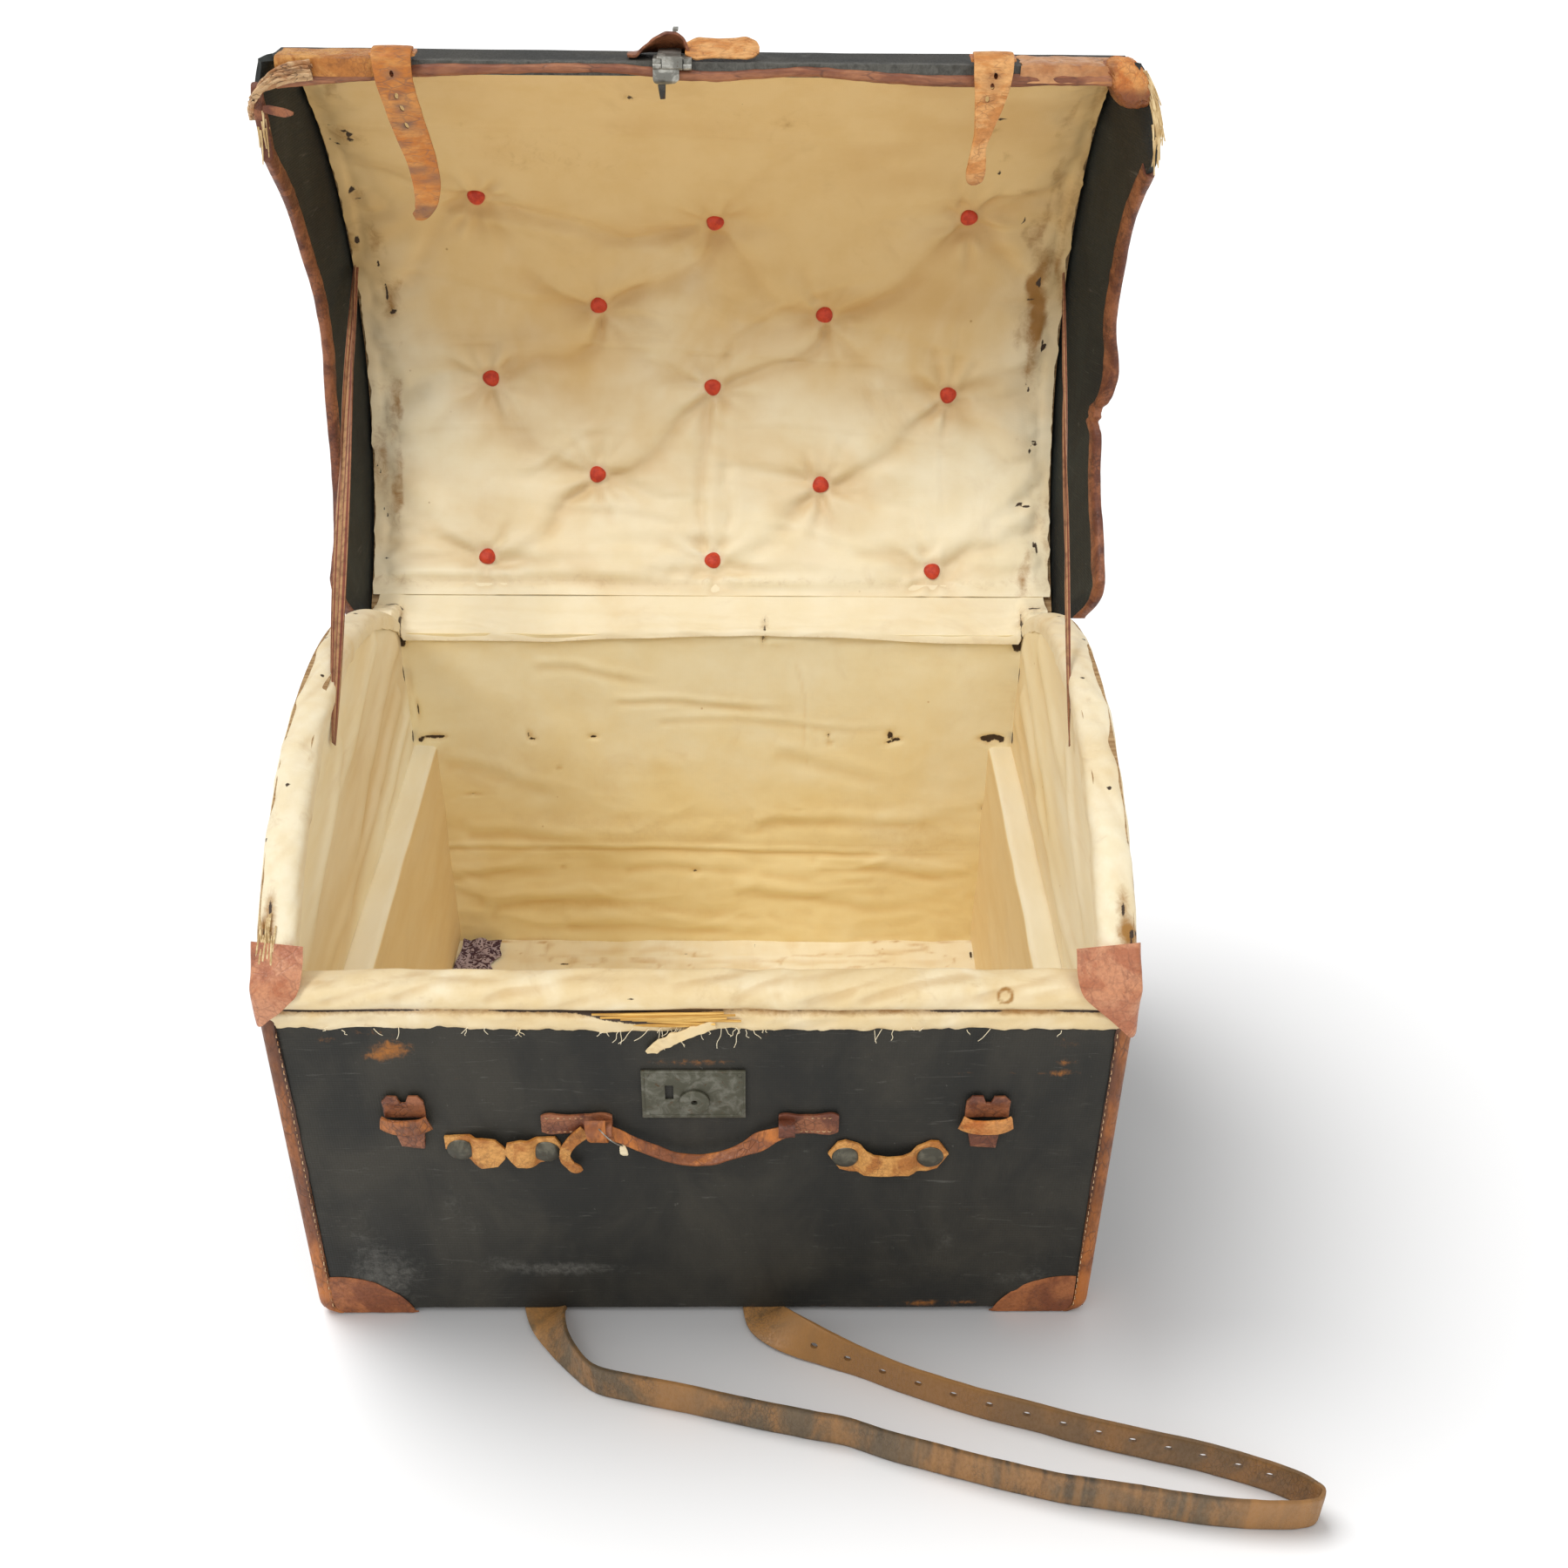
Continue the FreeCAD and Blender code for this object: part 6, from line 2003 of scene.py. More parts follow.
CANVAS_SCUFFS = ((-255, 40, 32, 40, 0.55), (-262, 100, 16, 50, 0.4), (-190, 128, 14, 14, 0.5),
                 (-176, 96, 12, 14, 0.4), (-118, 52, 60, 8, 0.6), (-160, 62, 20, 8, 0.5),
                 (-40, 112, 10, 10, 0.3), (236, 40, 44, 10, 0.5), (262, 60, 20, 30, 0.4),
                 (262, 200, 10, 60, 0.3), (188, 82, 10, 16, 0.45), (150, 196, 3, 3, 0.9),
                 (-66, 282, 3, 3, 0.9), (118, 150, 2.5, 4, 0.8), (-20, 290, 3, 2, 0.7),
                 (-255, 30, 30, 20, 0.34), (-230, 60, 28, 26, 0.30), (-105, 50, 50, 10, 0.42),
                 (-180, 110, 40, 12, 0.24), (90, 60, 40, 14, 0.22), (180, 100, 26, 30, 0.22),
                 (212, 14, 40, 5, 0.4), (-70, 12, 160, 3, 0.3), (-36, 302, 4, 3, 0.9),
                 (170, 170, 14, 8, 0.3), (120, 290, 80, 8, 0.22), (-246, 250, 8, 60, 0.2))


def ease_foot(points: np.ndarray) -> np.ndarray:
    """Round the trunk's lower corners, seen from the front.

    Args:
        points: Points on the body's surface.

    Returns:
        The same points on the rounded corners.
    """
    radius = 13.0
    depth = np.clip(radius - (points[:, 2] - 1.0), 0, radius)
    inset = radius - np.sqrt(np.maximum(radius ** 2 - depth ** 2, 0))
    share = ease(np.abs(points[:, 0]), 270, 306)
    out = points.copy()
    out[:, 0] -= np.sign(points[:, 0]) * inset * share
    return out


@dataclass
class Carcass:
    """Waxed canvas round the body, its leather edges and its corner patches."""
    finishes: Finishes
    radius: float = 5.0

    def outline(self, share: np.ndarray) -> tuple[np.ndarray, np.ndarray]:
        """A place on the body's rounded outline, seen from above, from a share of the way round.

        Args:
            share: Share of the way round, from 0 to 1.

        Returns:
            The places along X and Y.
        """
        hx, hy = HALF_WIDTH - 0.4, HALF_DEPTH - 0.4
        run = (share % 1) * 4 * (hx + hy)
        x = np.where(run < 2 * hx, -hx + run, np.where(run < 2 * hx + 2 * hy, hx, np.where(
            run < 4 * hx + 2 * hy, hx - (run - 2 * hx - 2 * hy), -hx)))
        y = np.where(run < 2 * hx, -hy, np.where(run < 2 * hx + 2 * hy, -hy + run - 2 * hx, np.where(
            run < 4 * hx + 2 * hy, hy, hy - (run - 4 * hx - 2 * hy))))
        over_x, over_y = np.abs(x) - (hx - self.radius), np.abs(y) - (hy - self.radius)
        corner = (over_x > 0) & (over_y > 0)
        reach = np.hypot(over_x, over_y)
        pull = np.where(corner & (reach > self.radius), self.radius / np.maximum(reach, 1e-6), 1)
        x = np.where(corner, np.sign(x) * (hx - self.radius + over_x * pull), x)
        y = np.where(corner, np.sign(y) * (hy - self.radius + over_y * pull), y)
        return x, y

    def canvas(self) -> None:
        """Stretch the canvas round the four walls."""
        def shape(u: np.ndarray, v: np.ndarray) -> np.ndarray:
            """The canvas from the floor up to the rims.

            Args:
                u: Share of the way along for each point, from 0 to 1.
                v: Share of the way across for each point, from 0 to 1.

            Returns:
                The points in millimetres.
            """
            x, y = self.outline(u)
            arch = ARCH_Z + np.sqrt(np.maximum((ARCH_RADIUS - RIM_DROP + 6) ** 2 - (y - ARCH_Y) ** 2, 0))
            top = np.where(np.abs(x) > HALF_WIDTH - 3, np.minimum(arch, 470), np.where(y < 0, 309.0, 368.0))
            top = np.where(y > HALF_DEPTH - 4, 368.0, np.where(y < -HALF_DEPTH + 4, 309.0, top))
            z = 5.0 + v * (top - 5.0)
            dent = 0.5 * rumple(column(x, y, z), 90, 201, 3)
            dent += creased(np.zeros_like(x), x, z, CANVAS_CREASES, 3) * (y < -200)
            dent = np.clip(dent, -0.45, 1.3)
            x = x + np.sign(x) * dent * (np.abs(x) > HALF_WIDTH - 3)
            y = y + np.sign(y) * dent * (np.abs(y) > HALF_DEPTH - 3)
            return ease_foot(column(x, y, z))

        cloth = sheet("body_canvas", 300, 56, shape, (0, 0, 0.001))
        edit(cloth)
        bpy.ops.mesh.remove_doubles(threshold=2e-6)
        bpy.ops.mesh.normals_make_consistent(inside=False)
        leave()
        points = spots(cloth)
        faces = [f for f in cloth.data.polygons if f.center.y < -0.2 and abs(f.center.x) < 0.2]
        if sum(f.normal.y for f in faces) > 0:
            edit(cloth)
            bpy.ops.mesh.flip_normals()
            leave()
        x, y, z = points.T
        front = (y < -HALF_DEPTH + 3).astype(float)
        soil_and_shade = blots(x, z, CANVAS_RUST) * front
        pale = blots(x, z, CANVAS_SCUFFS) * front
        foot = np.maximum(ease(-z, -16, -5), np.exp(-((z - 13) / 3) ** 2))
        foot = foot * ease(rumple(points, 40, 211, 3), -0.5, 0.5)
        paint(cloth, "soil_and_shade", soil_and_shade + 0.3 * foot)
        paint(cloth, "tear", 0.75 * pale + 0.2 * foot)
        thicken(cloth, 1.1)
        dress(cloth, self.finishes.canvas, Body.TRUNK, ["canvas_cover"], 50)
        coat(["canvas_base"], self.finishes.canvas)

    def edge(self, name: str, side: int, back: bool, bottom: float, top: float) -> bpy.types.Object:
        """Fold one leather strip round an upright corner.

        Args:
            name: Name of the piece.
            side: -1 for left and 1 for right.
            back: Whether it is on the back wall.
            bottom: Height of its lower end.
            top: Height of its upper end.

        Returns:
            The new object.
        """
        way = 1 if back else -1
        path = ((294.6, 232.6, 0), (298, 232.75, 0), (301.4, 232.7, 0), (304.2, 231.4, 0), (305.6, 228.4, 0),
                (305.75, 222, 0), (305.75, 211, 0))

        def shape(along: np.ndarray, turn: np.ndarray) -> np.ndarray:
            """The strip's two faces, bent round the corner.

            Args:
                along: Share along the piece for each point.
                turn: Share round its cross-section for each point.

            Returns:
                The points in millimetres.
            """
            z = bottom + along * (top - bottom)
            across = np.where(turn < 0.5, turn * 2, 2 - turn * 2)
            out = np.where(turn < 0.5, 0.85, -0.75) * np.clip(np.minimum(across, 1 - across) * 14, 0.25, 1)
            line = smooth_line(path, across)
            ahead = smooth_line(path, across + 0.02) - smooth_line(path, across - 0.02)
            normal = np.stack([-ahead[:, 1], ahead[:, 0]], axis=-1)
            normal *= -1 / np.maximum(np.linalg.norm(normal, axis=1), 1e-9)[:, None]
            wave = 1.6 * rumple(plane(z, side * 50), 26, 221 + side + way, 3)
            x = line[:, 0] + normal[:, 0] * out - wave * ease(-across, -0.25, 0)
            y = line[:, 1] + normal[:, 1] * out
            lump = 0.35 * rumple(column(x, y, z), 14, 223, 3) * (out > 0)
            x, y = x + normal[:, 0] * lump, y + normal[:, 1] * lump
            return ease_foot(column(side * x, way * y, z))

        strip = band(name, 90, 30, shape)
        x, y, z = spots(strip).T
        line = column(0, 0, z)
        low = 90 if side > 0 else 46
        lower = ease(-z, -low, -low * 0.4) * ease(rumple(line, 30, 225 + side, 3), -0.9, 0.2)
        paint(strip, "rub", 0.85 * lower)
        upper = ease(z, 40, 150) * (0.6 + 0.4 * ease(rumple(line, 40, 227 + side, 3), -0.3, 0.5))
        paint(strip, "soil_and_shade", 0.55 * upper + 0.6 * ease(-np.abs(x), -297.6, -295.2))
        return strip

    def patch(self, name: str, side: int, back: bool) -> bpy.types.Object:
        """A bottom corner patch with a curved edge, sewn flat on the wall.

        Args:
            name: Name of the piece.
            side: -1 for left and 1 for right.
            back: Whether it is on the back wall.

        Returns:
            The new object.
        """
        way = 1 if back else -1

        def shape(u: np.ndarray, v: np.ndarray) -> np.ndarray:
            """The patch under its curved upper edge.

            Args:
                u: Share of the way along for each point, from 0 to 1.
                v: Share of the way across for each point, from 0 to 1.

            Returns:
                The points in millimetres.
            """
            x = 228 + u * 66
            top = -20 + np.sqrt(np.maximum(62 ** 2 - (x - 288) ** 2, 0))
            top = np.minimum(top, 42.5) + 0.6 * rumple(along_x(x), 12, 231 + side, 2)
            z = 1.2 + v * np.maximum(top - 1.2, 0.6)
            rim = np.clip(np.minimum(np.minimum(1 - v, u + 0.02) * 12, 1), 0, 1)
            lump = 0.25 * rumple(plane(x, z), 12, 233 + side, 3)
            return ease_foot(column(side * x, way * (232.2 + 1.1 * rim + lump * rim), z))

        piece = sheet(name, 30, 20, shape, (0, way, 0))
        thicken(piece, 0.9)
        return piece

    def stitches(self) -> None:
        """Waxed thread along the leather edges."""
        made = []
        for word, side in SIDES:
            for number in range(42):
                z = 8 + number * 7.0
                x = side * 295.2
                knots = [(x, y, z + up, 1, 0, 0, wide, wide) for y, up, wide in
                         ((-232.7, 0, 0.7), (-233.9, 1.2, 0.8), (-233.9, 2.8, 0.8), (-232.7, 4, 0.7))]
                made.append(Strip(f"stitch_{word}_{number}", knots, 5, 5, 1).build())
        thread = join(made, "edge_stitches")
        move(thread, ease_foot(spots(thread)))
        dress(thread, self.finishes.frayed)

    def leather(self) -> None:
        """Sew on the edges, patches and top corner caps."""
        for back in (False, True):
            where = "back" if back else "front"
            strips = [self.edge(f"edge_{w}_{where}", s, back, 1.2, 366 if back else 314) for w, s in SIDES]
            dress(join(strips, f"{where}_edge_leather"), self.finishes.brown, Body.TRUNK,
                  [f"corner_bindings_{where}"])
        patches = [self.patch(f"patch_{w}_{b}", s, b) for w, s in SIDES for b in (False, True)]
        dress(join(patches, "foot_patches"), self.finishes.patch, Body.TRUNK,
              ["bottom_corner_patches"])
        caps = [self.corner_cap(f"corner_cap_{word}", side) for word, side in SIDES]
        dress(join(caps, "top_corner_caps"), self.finishes.cap, Body.TRUNK,
              ["top_corner_patches"], 40)

    def corner_cap(self, name: str, side: int) -> bpy.types.Object:
        """Leather moulded over a top front corner: a rounded block cut to the sewn outline.

        Args:
            name: Name of the piece.
            side: -1 for left and 1 for right.

        Returns:
            The new object.
        """
        cap = block(name, 17)
        half, radius = np.array([27.0, 19.0, 34.0]), 6.5
        place = spots(cap) * MM * half
        core = np.clip(place, radius - half, half - radius)
        over = place - core
        place = core + over * radius / np.maximum(np.linalg.norm(over, axis=1), radius)[:, None]
        y = place[:, 1] - 219.6
        arch = ARCH_Z + np.sqrt(ARCH_RADIUS ** 2 - (y - ARCH_Y) ** 2)
        foot = 298
        z = foot + (place[:, 2] + half[2]) / (2 * half[2]) * (arch + 1.8 - foot)
        points = column(280.6 + place[:, 0], y, z)
        points += 0.9 * drift(points, 20, 241 + side)
        move(cap, points * np.array([side, 1, 1]))
        edit(cap)
        bpy.ops.mesh.normals_make_consistent(inside=False)
        inner, top = (276.5, 337) if side < 0 else (264.5, 341)
        for co, no in (((inner * side, -237, top), (24 * side, -46, 24)),
                       ((293 * side, -213, 364), (0.1 * side, -0.66, -0.75))):
            bpy.ops.mesh.select_all(action="SELECT")
            bpy.ops.mesh.bisect(plane_co=[c * MM for c in co], plane_no=no, use_fill=True, clear_inner=True)
        leave()
        return cap

    def build(self) -> None:
        """Cover the body."""
        self.canvas()
        self.leather()
        self.stitches()


# ---------------------------------------------------------------- fittings on the front
@dataclass
class LockSet:
    """Lock plate, its boss and pins."""
    finishes: Finishes

    def build(self) -> None:
        """Finish the lock."""
        plate = copy_of("lock_plate", "lock_plate_worn")
        bevel(plate, 0.5, 2)
        made = [plate]
        for x, z in ((-38, 260), (29, 260), (-38, 222), (29, 222)):
            pin = ball("plate_pin", 1.9, 14, 8)
            move(pin, spots(pin) * (1, 0.45, 1) + (x, -234.0, z))
            made.append(pin)
        for x0, z0, x1, z1 in ((-40, 220.5, -40, 261.5), (31, 220.5, 31, 261.5), (-40, 220.5, 31, 220.5),
                               (-40, 261.5, 31, 261.5)):
            across = (1, 0, 0) if x0 == x1 else (0, 0, 1)
            knots = [(x0 + (x1 - x0) * t, -234.1, z0 + (z1 - z0) * t, *across, 0.8, 0.6) for t in (0, 0.5, 1)]
            made.append(Strip("plate_bead", knots, 6, 8, 0.8).build())
        dress(join(made, "lock_face"), self.finishes.lock, Body.TRUNK, ["lock_plate"], 40)
        boss = copy_of("keyhole_boss", "keyhole_ring")
        bevel(boss, 0.7, 3)
        dress(boss, self.finishes.lock, Body.TRUNK, ["keyhole_boss"], 40)
        coat(["lock_case", "lock_bolt"], self.finishes.lock)
        coat(["hinge_body_leaves", "hinge_lid_leaves", "hinge_pins"], self.finishes.iron)


@dataclass
class Handle:
    """Stitched tabs and the sagging strap between them."""
    finishes: Finishes

    def tab(self, name: str, low: float, high: float, loop: float) -> bpy.types.Object:
        """A doubled leather tab, rounded at its edges, with its roll for the strap.

        Args:
            name: Name of the piece.
            low: Left end along X.
            high: Right end along X.
            loop: Left end of the roll along X.

        Returns:
            The new object.
        """
        knots = [(low + (high - low) * t, -233.6 - 0.5 * math.sin(math.pi * t), 212, 0, 0, 1,
                  18.5 - 2.5 * (t in (0, 1)), 2.6) for t in (0, 0.04, 0.3, 0.6, 0.96, 1)]
        flat = Strip(name, knots, 40, 24).build()
        weather(flat, 0.4, 10, int(abs(low)))
        middle = np.array((0, -239, 212))
        roll = Strip(name + "_roll", [(loop + 12 * t, *middle[1:], 0, 1, 0, 12.6, 12.6) for t in (0, 0.5, 1)],
                     12, 28, 0.9).build()
        points = spots(roll)
        grow = 1 + 0.06 * rumple(points, 6, 251, 2)[:, None]
        points[:, 1:] = middle[1:] + (points[:, 1:] - middle[1:]) * grow
        move(roll, points)
        press(roll, -232.3)
        return join([flat, roll], name)

    def sewing(self, low: float, high: float) -> list[bpy.types.Object]:
        """Two rows of stitches along a tab.

        Args:
            low: Left end along X.
            high: Right end along X.

        Returns:
            The stitches.
        """
        made = []
        for z in (205.2, 218.8):
            for number in range(int((high - low) / 4.2)):
                x = low + number * 4.2
                knots = [(x + on, y, z, 0, 0, 1, *size) for on, y, size in
                         ((0, -234.4, (0.7, 0.6)), (0.8, -235.3, (0.9, 0.7)), (2.2, -235.3, (0.9, 0.7)),
                          (3, -234.4, (0.7, 0.6)))]
                made.append(Strip("tab_stitch", knots, 5, 5, 1).build())
        return made

    def build(self) -> None:
        """Make the handle."""
        tabs = [self.tab("tab_left", -116, -64, -76), self.tab("tab_right", 57, 101, 57)]
        dress(join(tabs, "handle_tab_leather"), self.finishes.red, Body.TRUNK, ["handle_tabs"])
        thread = self.sewing(-113, -80) + self.sewing(72, 98)
        dress(join(thread, "tab_stitches"), self.finishes.frayed)
        knots = []
        for t in np.linspace(0, 1, 13):
            x = -74 + 141 * t
            sag = math.sin(math.pi * (t * 0.94 + 0.03)) ** 1.5
            lean = 0.35 + 0.65 * abs(2 * t - 1) ** 1.5
            wide = 8.5 + 5.0 * max(0, 1 - abs(t - 0.83) / 0.13) + 4.0 * max(0, 1 - t / 0.14)
            knots.append((x, -239.5 - 0.8 * sag, 212.5 - 31.5 * sag, 0, 1 - lean * 0.5, lean, wide, 3.6))
        strap = Strip("carrying_strap", knots, 110, 22).build()
        weather(strap, 0.5, 14, 261)
        press(strap, -233.4)
        dress(strap, self.finishes.brown, Body.HANDLE, ["handle_strap"])
        tail = Strip("torn_strap_end", (
            (-84, -236.2, 207, -0.2, 0, 1, 13, 2.6), (-90, -238.6, 203, -0.5, -0.1, 1, 12, 2.6),
            (-97, -240.4, 195, -1, -0.2, 0.6, 9, 2.4), (-100, -240.2, 185, -1, -0.2, 0.1, 8, 2.2),
            (-97, -238.6, 175, -1, 0, -0.3, 8, 2.0), (-90.5, -236.8, 167.5, -0.8, 0, -0.9, 7, 1.6),
            (-88.5, -236.2, 166, -0.8, 0, -0.9, 3, 0.9)), 60, 20).build()
        weather(tail, 0.5, 9, 263)
        dress(tail, self.finishes.orange)
        sleeve = Strip("strap_sleeve", (
            (-76, -240.6, 222, 1, 0, 0, 15, 2.2), (-76, -244.6, 217, 1, 0, 0, 15, 2.2),
            (-75, -245.4, 210, 1, 0, 0, 15, 2.2), (-74, -242, 202, 1, 0, 0, 14, 2.0),
            (-74, -236.5, 198.5, 1, 0, 0, 14, 1.8)), 34, 20).build()
        weather(sleeve, 0.4, 9, 265)
        dress(sleeve, self.finishes.brown)
        tag = Strip("paper_tag", ((-57, -240, 197, 1, 0, 0, 4, 0.9), (-56.2, -241, 191, 1, 0, 0, 5.5, 0.9),
                                   (-56.5, -239, 185, 1, 0, 0, 4, 0.9), (-57, -238, 183, 1, 0, 0, 1, 0.6)),
                    16, 12).build()
        weather(tag, 0.6, 4, 267)
        string = Strip("tag_hook", ((-73, -246, 219, 0, 1, 0, 1, 1), (-66, -247, 210, 0, 1, 0, 1, 1),
                                      (-60, -244, 201, 0, 1, 0, 1, 1), (-57, -240.5, 196, 0, 1, 0, 1, 1)),
                       20, 6, 1).build()
        dress(tag, self.finishes.rim_cotton)
        dress(string, self.finishes.plate)


@dataclass
class FrontLeather:
    """Strap loops, chapes and keepers on the front wall."""
    finishes: Finishes

    def slab(self, name: str, outline: Sequence[Sequence[float]], y: float, thick: float,
             rise: Callable[[np.ndarray, np.ndarray], np.ndarray], cuts: int = 4) -> bpy.types.Object:
        """A leather blank of this outline, laid on the wall over a rise.

        Args:
            name: Name of the piece.
            outline: Corners as places along X and Z, in order.
            y: Depth of its back face.
            thick: Thickness of the leather.
            rise: Height of its back face above y at each place.
            cuts: Rounds of subdivision.

        Returns:
            The new object.
        """
        deselect()
        bpy.ops.mesh.primitive_circle_add(vertices=len(outline), radius=1, fill_type="NGON")
        piece = named(name)
        move(piece, column(np.array([p[0] for p in outline]), np.full(len(outline), y),
                           np.array([p[1] for p in outline])))
        edit(piece)
        bpy.ops.mesh.quads_convert_to_tris()
        bpy.ops.mesh.subdivide(number_cuts=cuts)
        bpy.ops.mesh.subdivide(number_cuts=1)
        leave()
        turn_to(piece, (0, -1, 0))
        points = spots(piece)
        points[:, 1] = y - rise(points[:, 0], points[:, 2])
        move(piece, points)
        thicken(piece, thick, 1)
        bevel(piece, thick * 0.3, 2, 50)
        return piece

    def loops(self) -> None:
        """The two riveted loops that the girth strap passed through."""
        def bridge_right(x: np.ndarray, z: np.ndarray) -> np.ndarray:
            """Rise of the right loop between its rivets."""
            return 4.9 * ease(x, 116, 123) * ease(-x, -161, -154) + 0.3 * rumple(plane(x, z), 9, 271, 2)

        right_edge = ((94, 181), (101, 192.5), (107, 194.5), (118, 190), (128, 183), (138, 181),
                      (149, 182.5), (160, 188), (170, 193.5), (176, 193), (183.5, 181), (176, 166),
                      (168, 163), (140, 162), (110, 163), (103, 165))
        right = self.slab("strap_loop_right", right_edge, WALL_Y, 2.3, bridge_right)

        def bridge_left(x: np.ndarray, z: np.ndarray) -> np.ndarray:
            """Rise of the left loop's two halves towards the tear between them."""
            first = 4.9 * ease(x, -170, -163)
            second = 4.9 * ease(-x, 120, 128)
            return np.where(x < -145.5, first, second) + 0.35 * rumple(plane(x, z), 9, 273, 2)

        outer_edge = ((-188, 199), (-176, 199.5), (-160, 201), (-150, 199), (-143, 190), (-144, 181),
                      (-150, 173), (-162, 171), (-170, 176), (-180, 181), (-188, 187))
        outer = self.slab("strap_loop_left", outer_edge, WALL_Y, 2.3, bridge_left)
        inner_edge = ((-144, 186), (-142, 196), (-132, 198.5), (-118, 197), (-107, 198), (-103, 190),
                      (-103, 180), (-108, 176), (-124, 171), (-136, 172), (-140, 178))
        inner = self.slab("strap_loop_torn", inner_edge, WALL_Y, 2.3, bridge_left)
        dress(right, self.finishes.orange, Body.TRUNK, ["belt_loop_right"])
        dress(join([outer, inner], "strap_loop_left_halves"), self.finishes.orange, Body.TRUNK,
              ["belt_loop_left"])
        made = []
        for number, (x, z) in enumerate(((-177, 186), (-114, 184), (107, 178), (170, 178))):
            rivet = dome_of(f"rivet_{number}", 10.2, 0, 28, 20)
            points = spots(rivet)
            points[:, 2] = points[:, 2] * 0.30 + 0.3 * rumple(points, 7, 275 + number, 2)
            move(rivet, column(x + points[:, 0], -234.4 - points[:, 2], z + points[:, 1]))
            outward(rivet)
            made.append(rivet)
        dress(join(made, "loop_rivets"), self.finishes.rivet, Body.TRUNK, ["belt_loop_rivets"])

    def chape(self, word: str, low: float, high: float) -> None:
        """A folded chape whose buckle is lost, with its keeper band.

        Args:
            word: Which end, left or right.
            low: Left end along X.
            high: Right end along X.
        """
        mid = (low + high) / 2
        skew = 3.0 if word == "left" else 0.0

        def lumpy(x: np.ndarray, z: np.ndarray) -> np.ndarray:
            """Rise of the chape, with a fold where the buckle hung."""
            fold = 1.8 * np.exp(-((z - 236) / 5) ** 2)
            return 0.2 + fold + 0.35 * rumple(plane(x, z), 8, 281, 2)

        upper = ((low, 219), (low, 236), (low + 4, 240), (mid - 4, 240), (mid - 1.6, 234), (mid + 1.6, 234),
                 (mid + 4, 240), (high - 4, 240), (high, 236), (high, 219))
        lower = ((low + 6 + skew, 189), (high - 7 + skew, 187), (high - 5 + skew, 208), (low + 2 + skew, 210))
        top = self.slab(f"chape_top_{word}", upper, WALL_Y, 2.2, lumpy)
        tail = self.slab(f"chape_tail_{word}", lower, WALL_Y, 2.2, lumpy, 3)
        dress(join([top, tail], f"chape_{word}_leather"), self.finishes.red, Body.TRUNK,
              [f"chape_{word}"])
        knots = []
        for t in np.linspace(0, 1, 9):
            x = low - 2.5 + (high - low + 5) * t
            out = 7.6 * math.sin(math.pi * (0.06 + 0.88 * t)) ** 0.35
            up = 2.2 * abs(2 * t - 1) ** 3
            knots.append((x, -232.4 - out, 213.5 + up, 0, -0.25, 1, 17.5, 2.6))
        keeper = Strip(f"keeper_band_{word}", knots, 60, 22).build()
        weather(keeper, 0.4, 8, 283)
        press(keeper, -232.3)
        finish = self.finishes.amber if word == "right" else self.finishes.brown
        dress(keeper, finish, Body.TRUNK, [f"keeper_{word}"])

    def build(self) -> None:
        """Make every front fitting of leather."""
        self.loops()
        self.chape("left", -229, -199)
        self.chape("right", 193, 225)


# ---------------------------------------------------------------- lid shell
def lid_line(share: np.ndarray, radius: np.ndarray, edge: np.ndarray,
             back: np.ndarray) -> tuple[np.ndarray, np.ndarray]:
    """The lid's side outline at a level: up the front, over the dome, down to the hinges.

    Args:
        share: Place along the outline from 0 to 1.
        radius: Radius of the dome at this level.
        edge: Height of the front end.
        back: The outline's last point, as y and z in two columns.

    Returns:
        y and z on the closed lid.
    """
    front_end, dome_end = 0.12, 0.95
    first = math.acos((LID_FRONT_Y - LID_Y) / LID_RADIUS)
    last = math.asin((LID_BACK_Z - LID_Z) / LID_RADIUS)
    turn = first + (last - first) * np.clip((share - front_end) / 0.83, 0, 1)
    y, z = LID_Y + radius * np.cos(turn), LID_Z + radius * np.sin(turn)
    head = np.clip(share / front_end, 0, 1)
    y = np.where(share < front_end, LID_FRONT_Y + (y - LID_FRONT_Y) * head, y)
    z = np.where(share < front_end, edge + (z - edge) * head, z)
    tail = np.clip((share - dome_end) / 0.05, 0, 1)
    return y + (back[..., 0] - y) * tail, z + (back[..., 1] - z) * tail


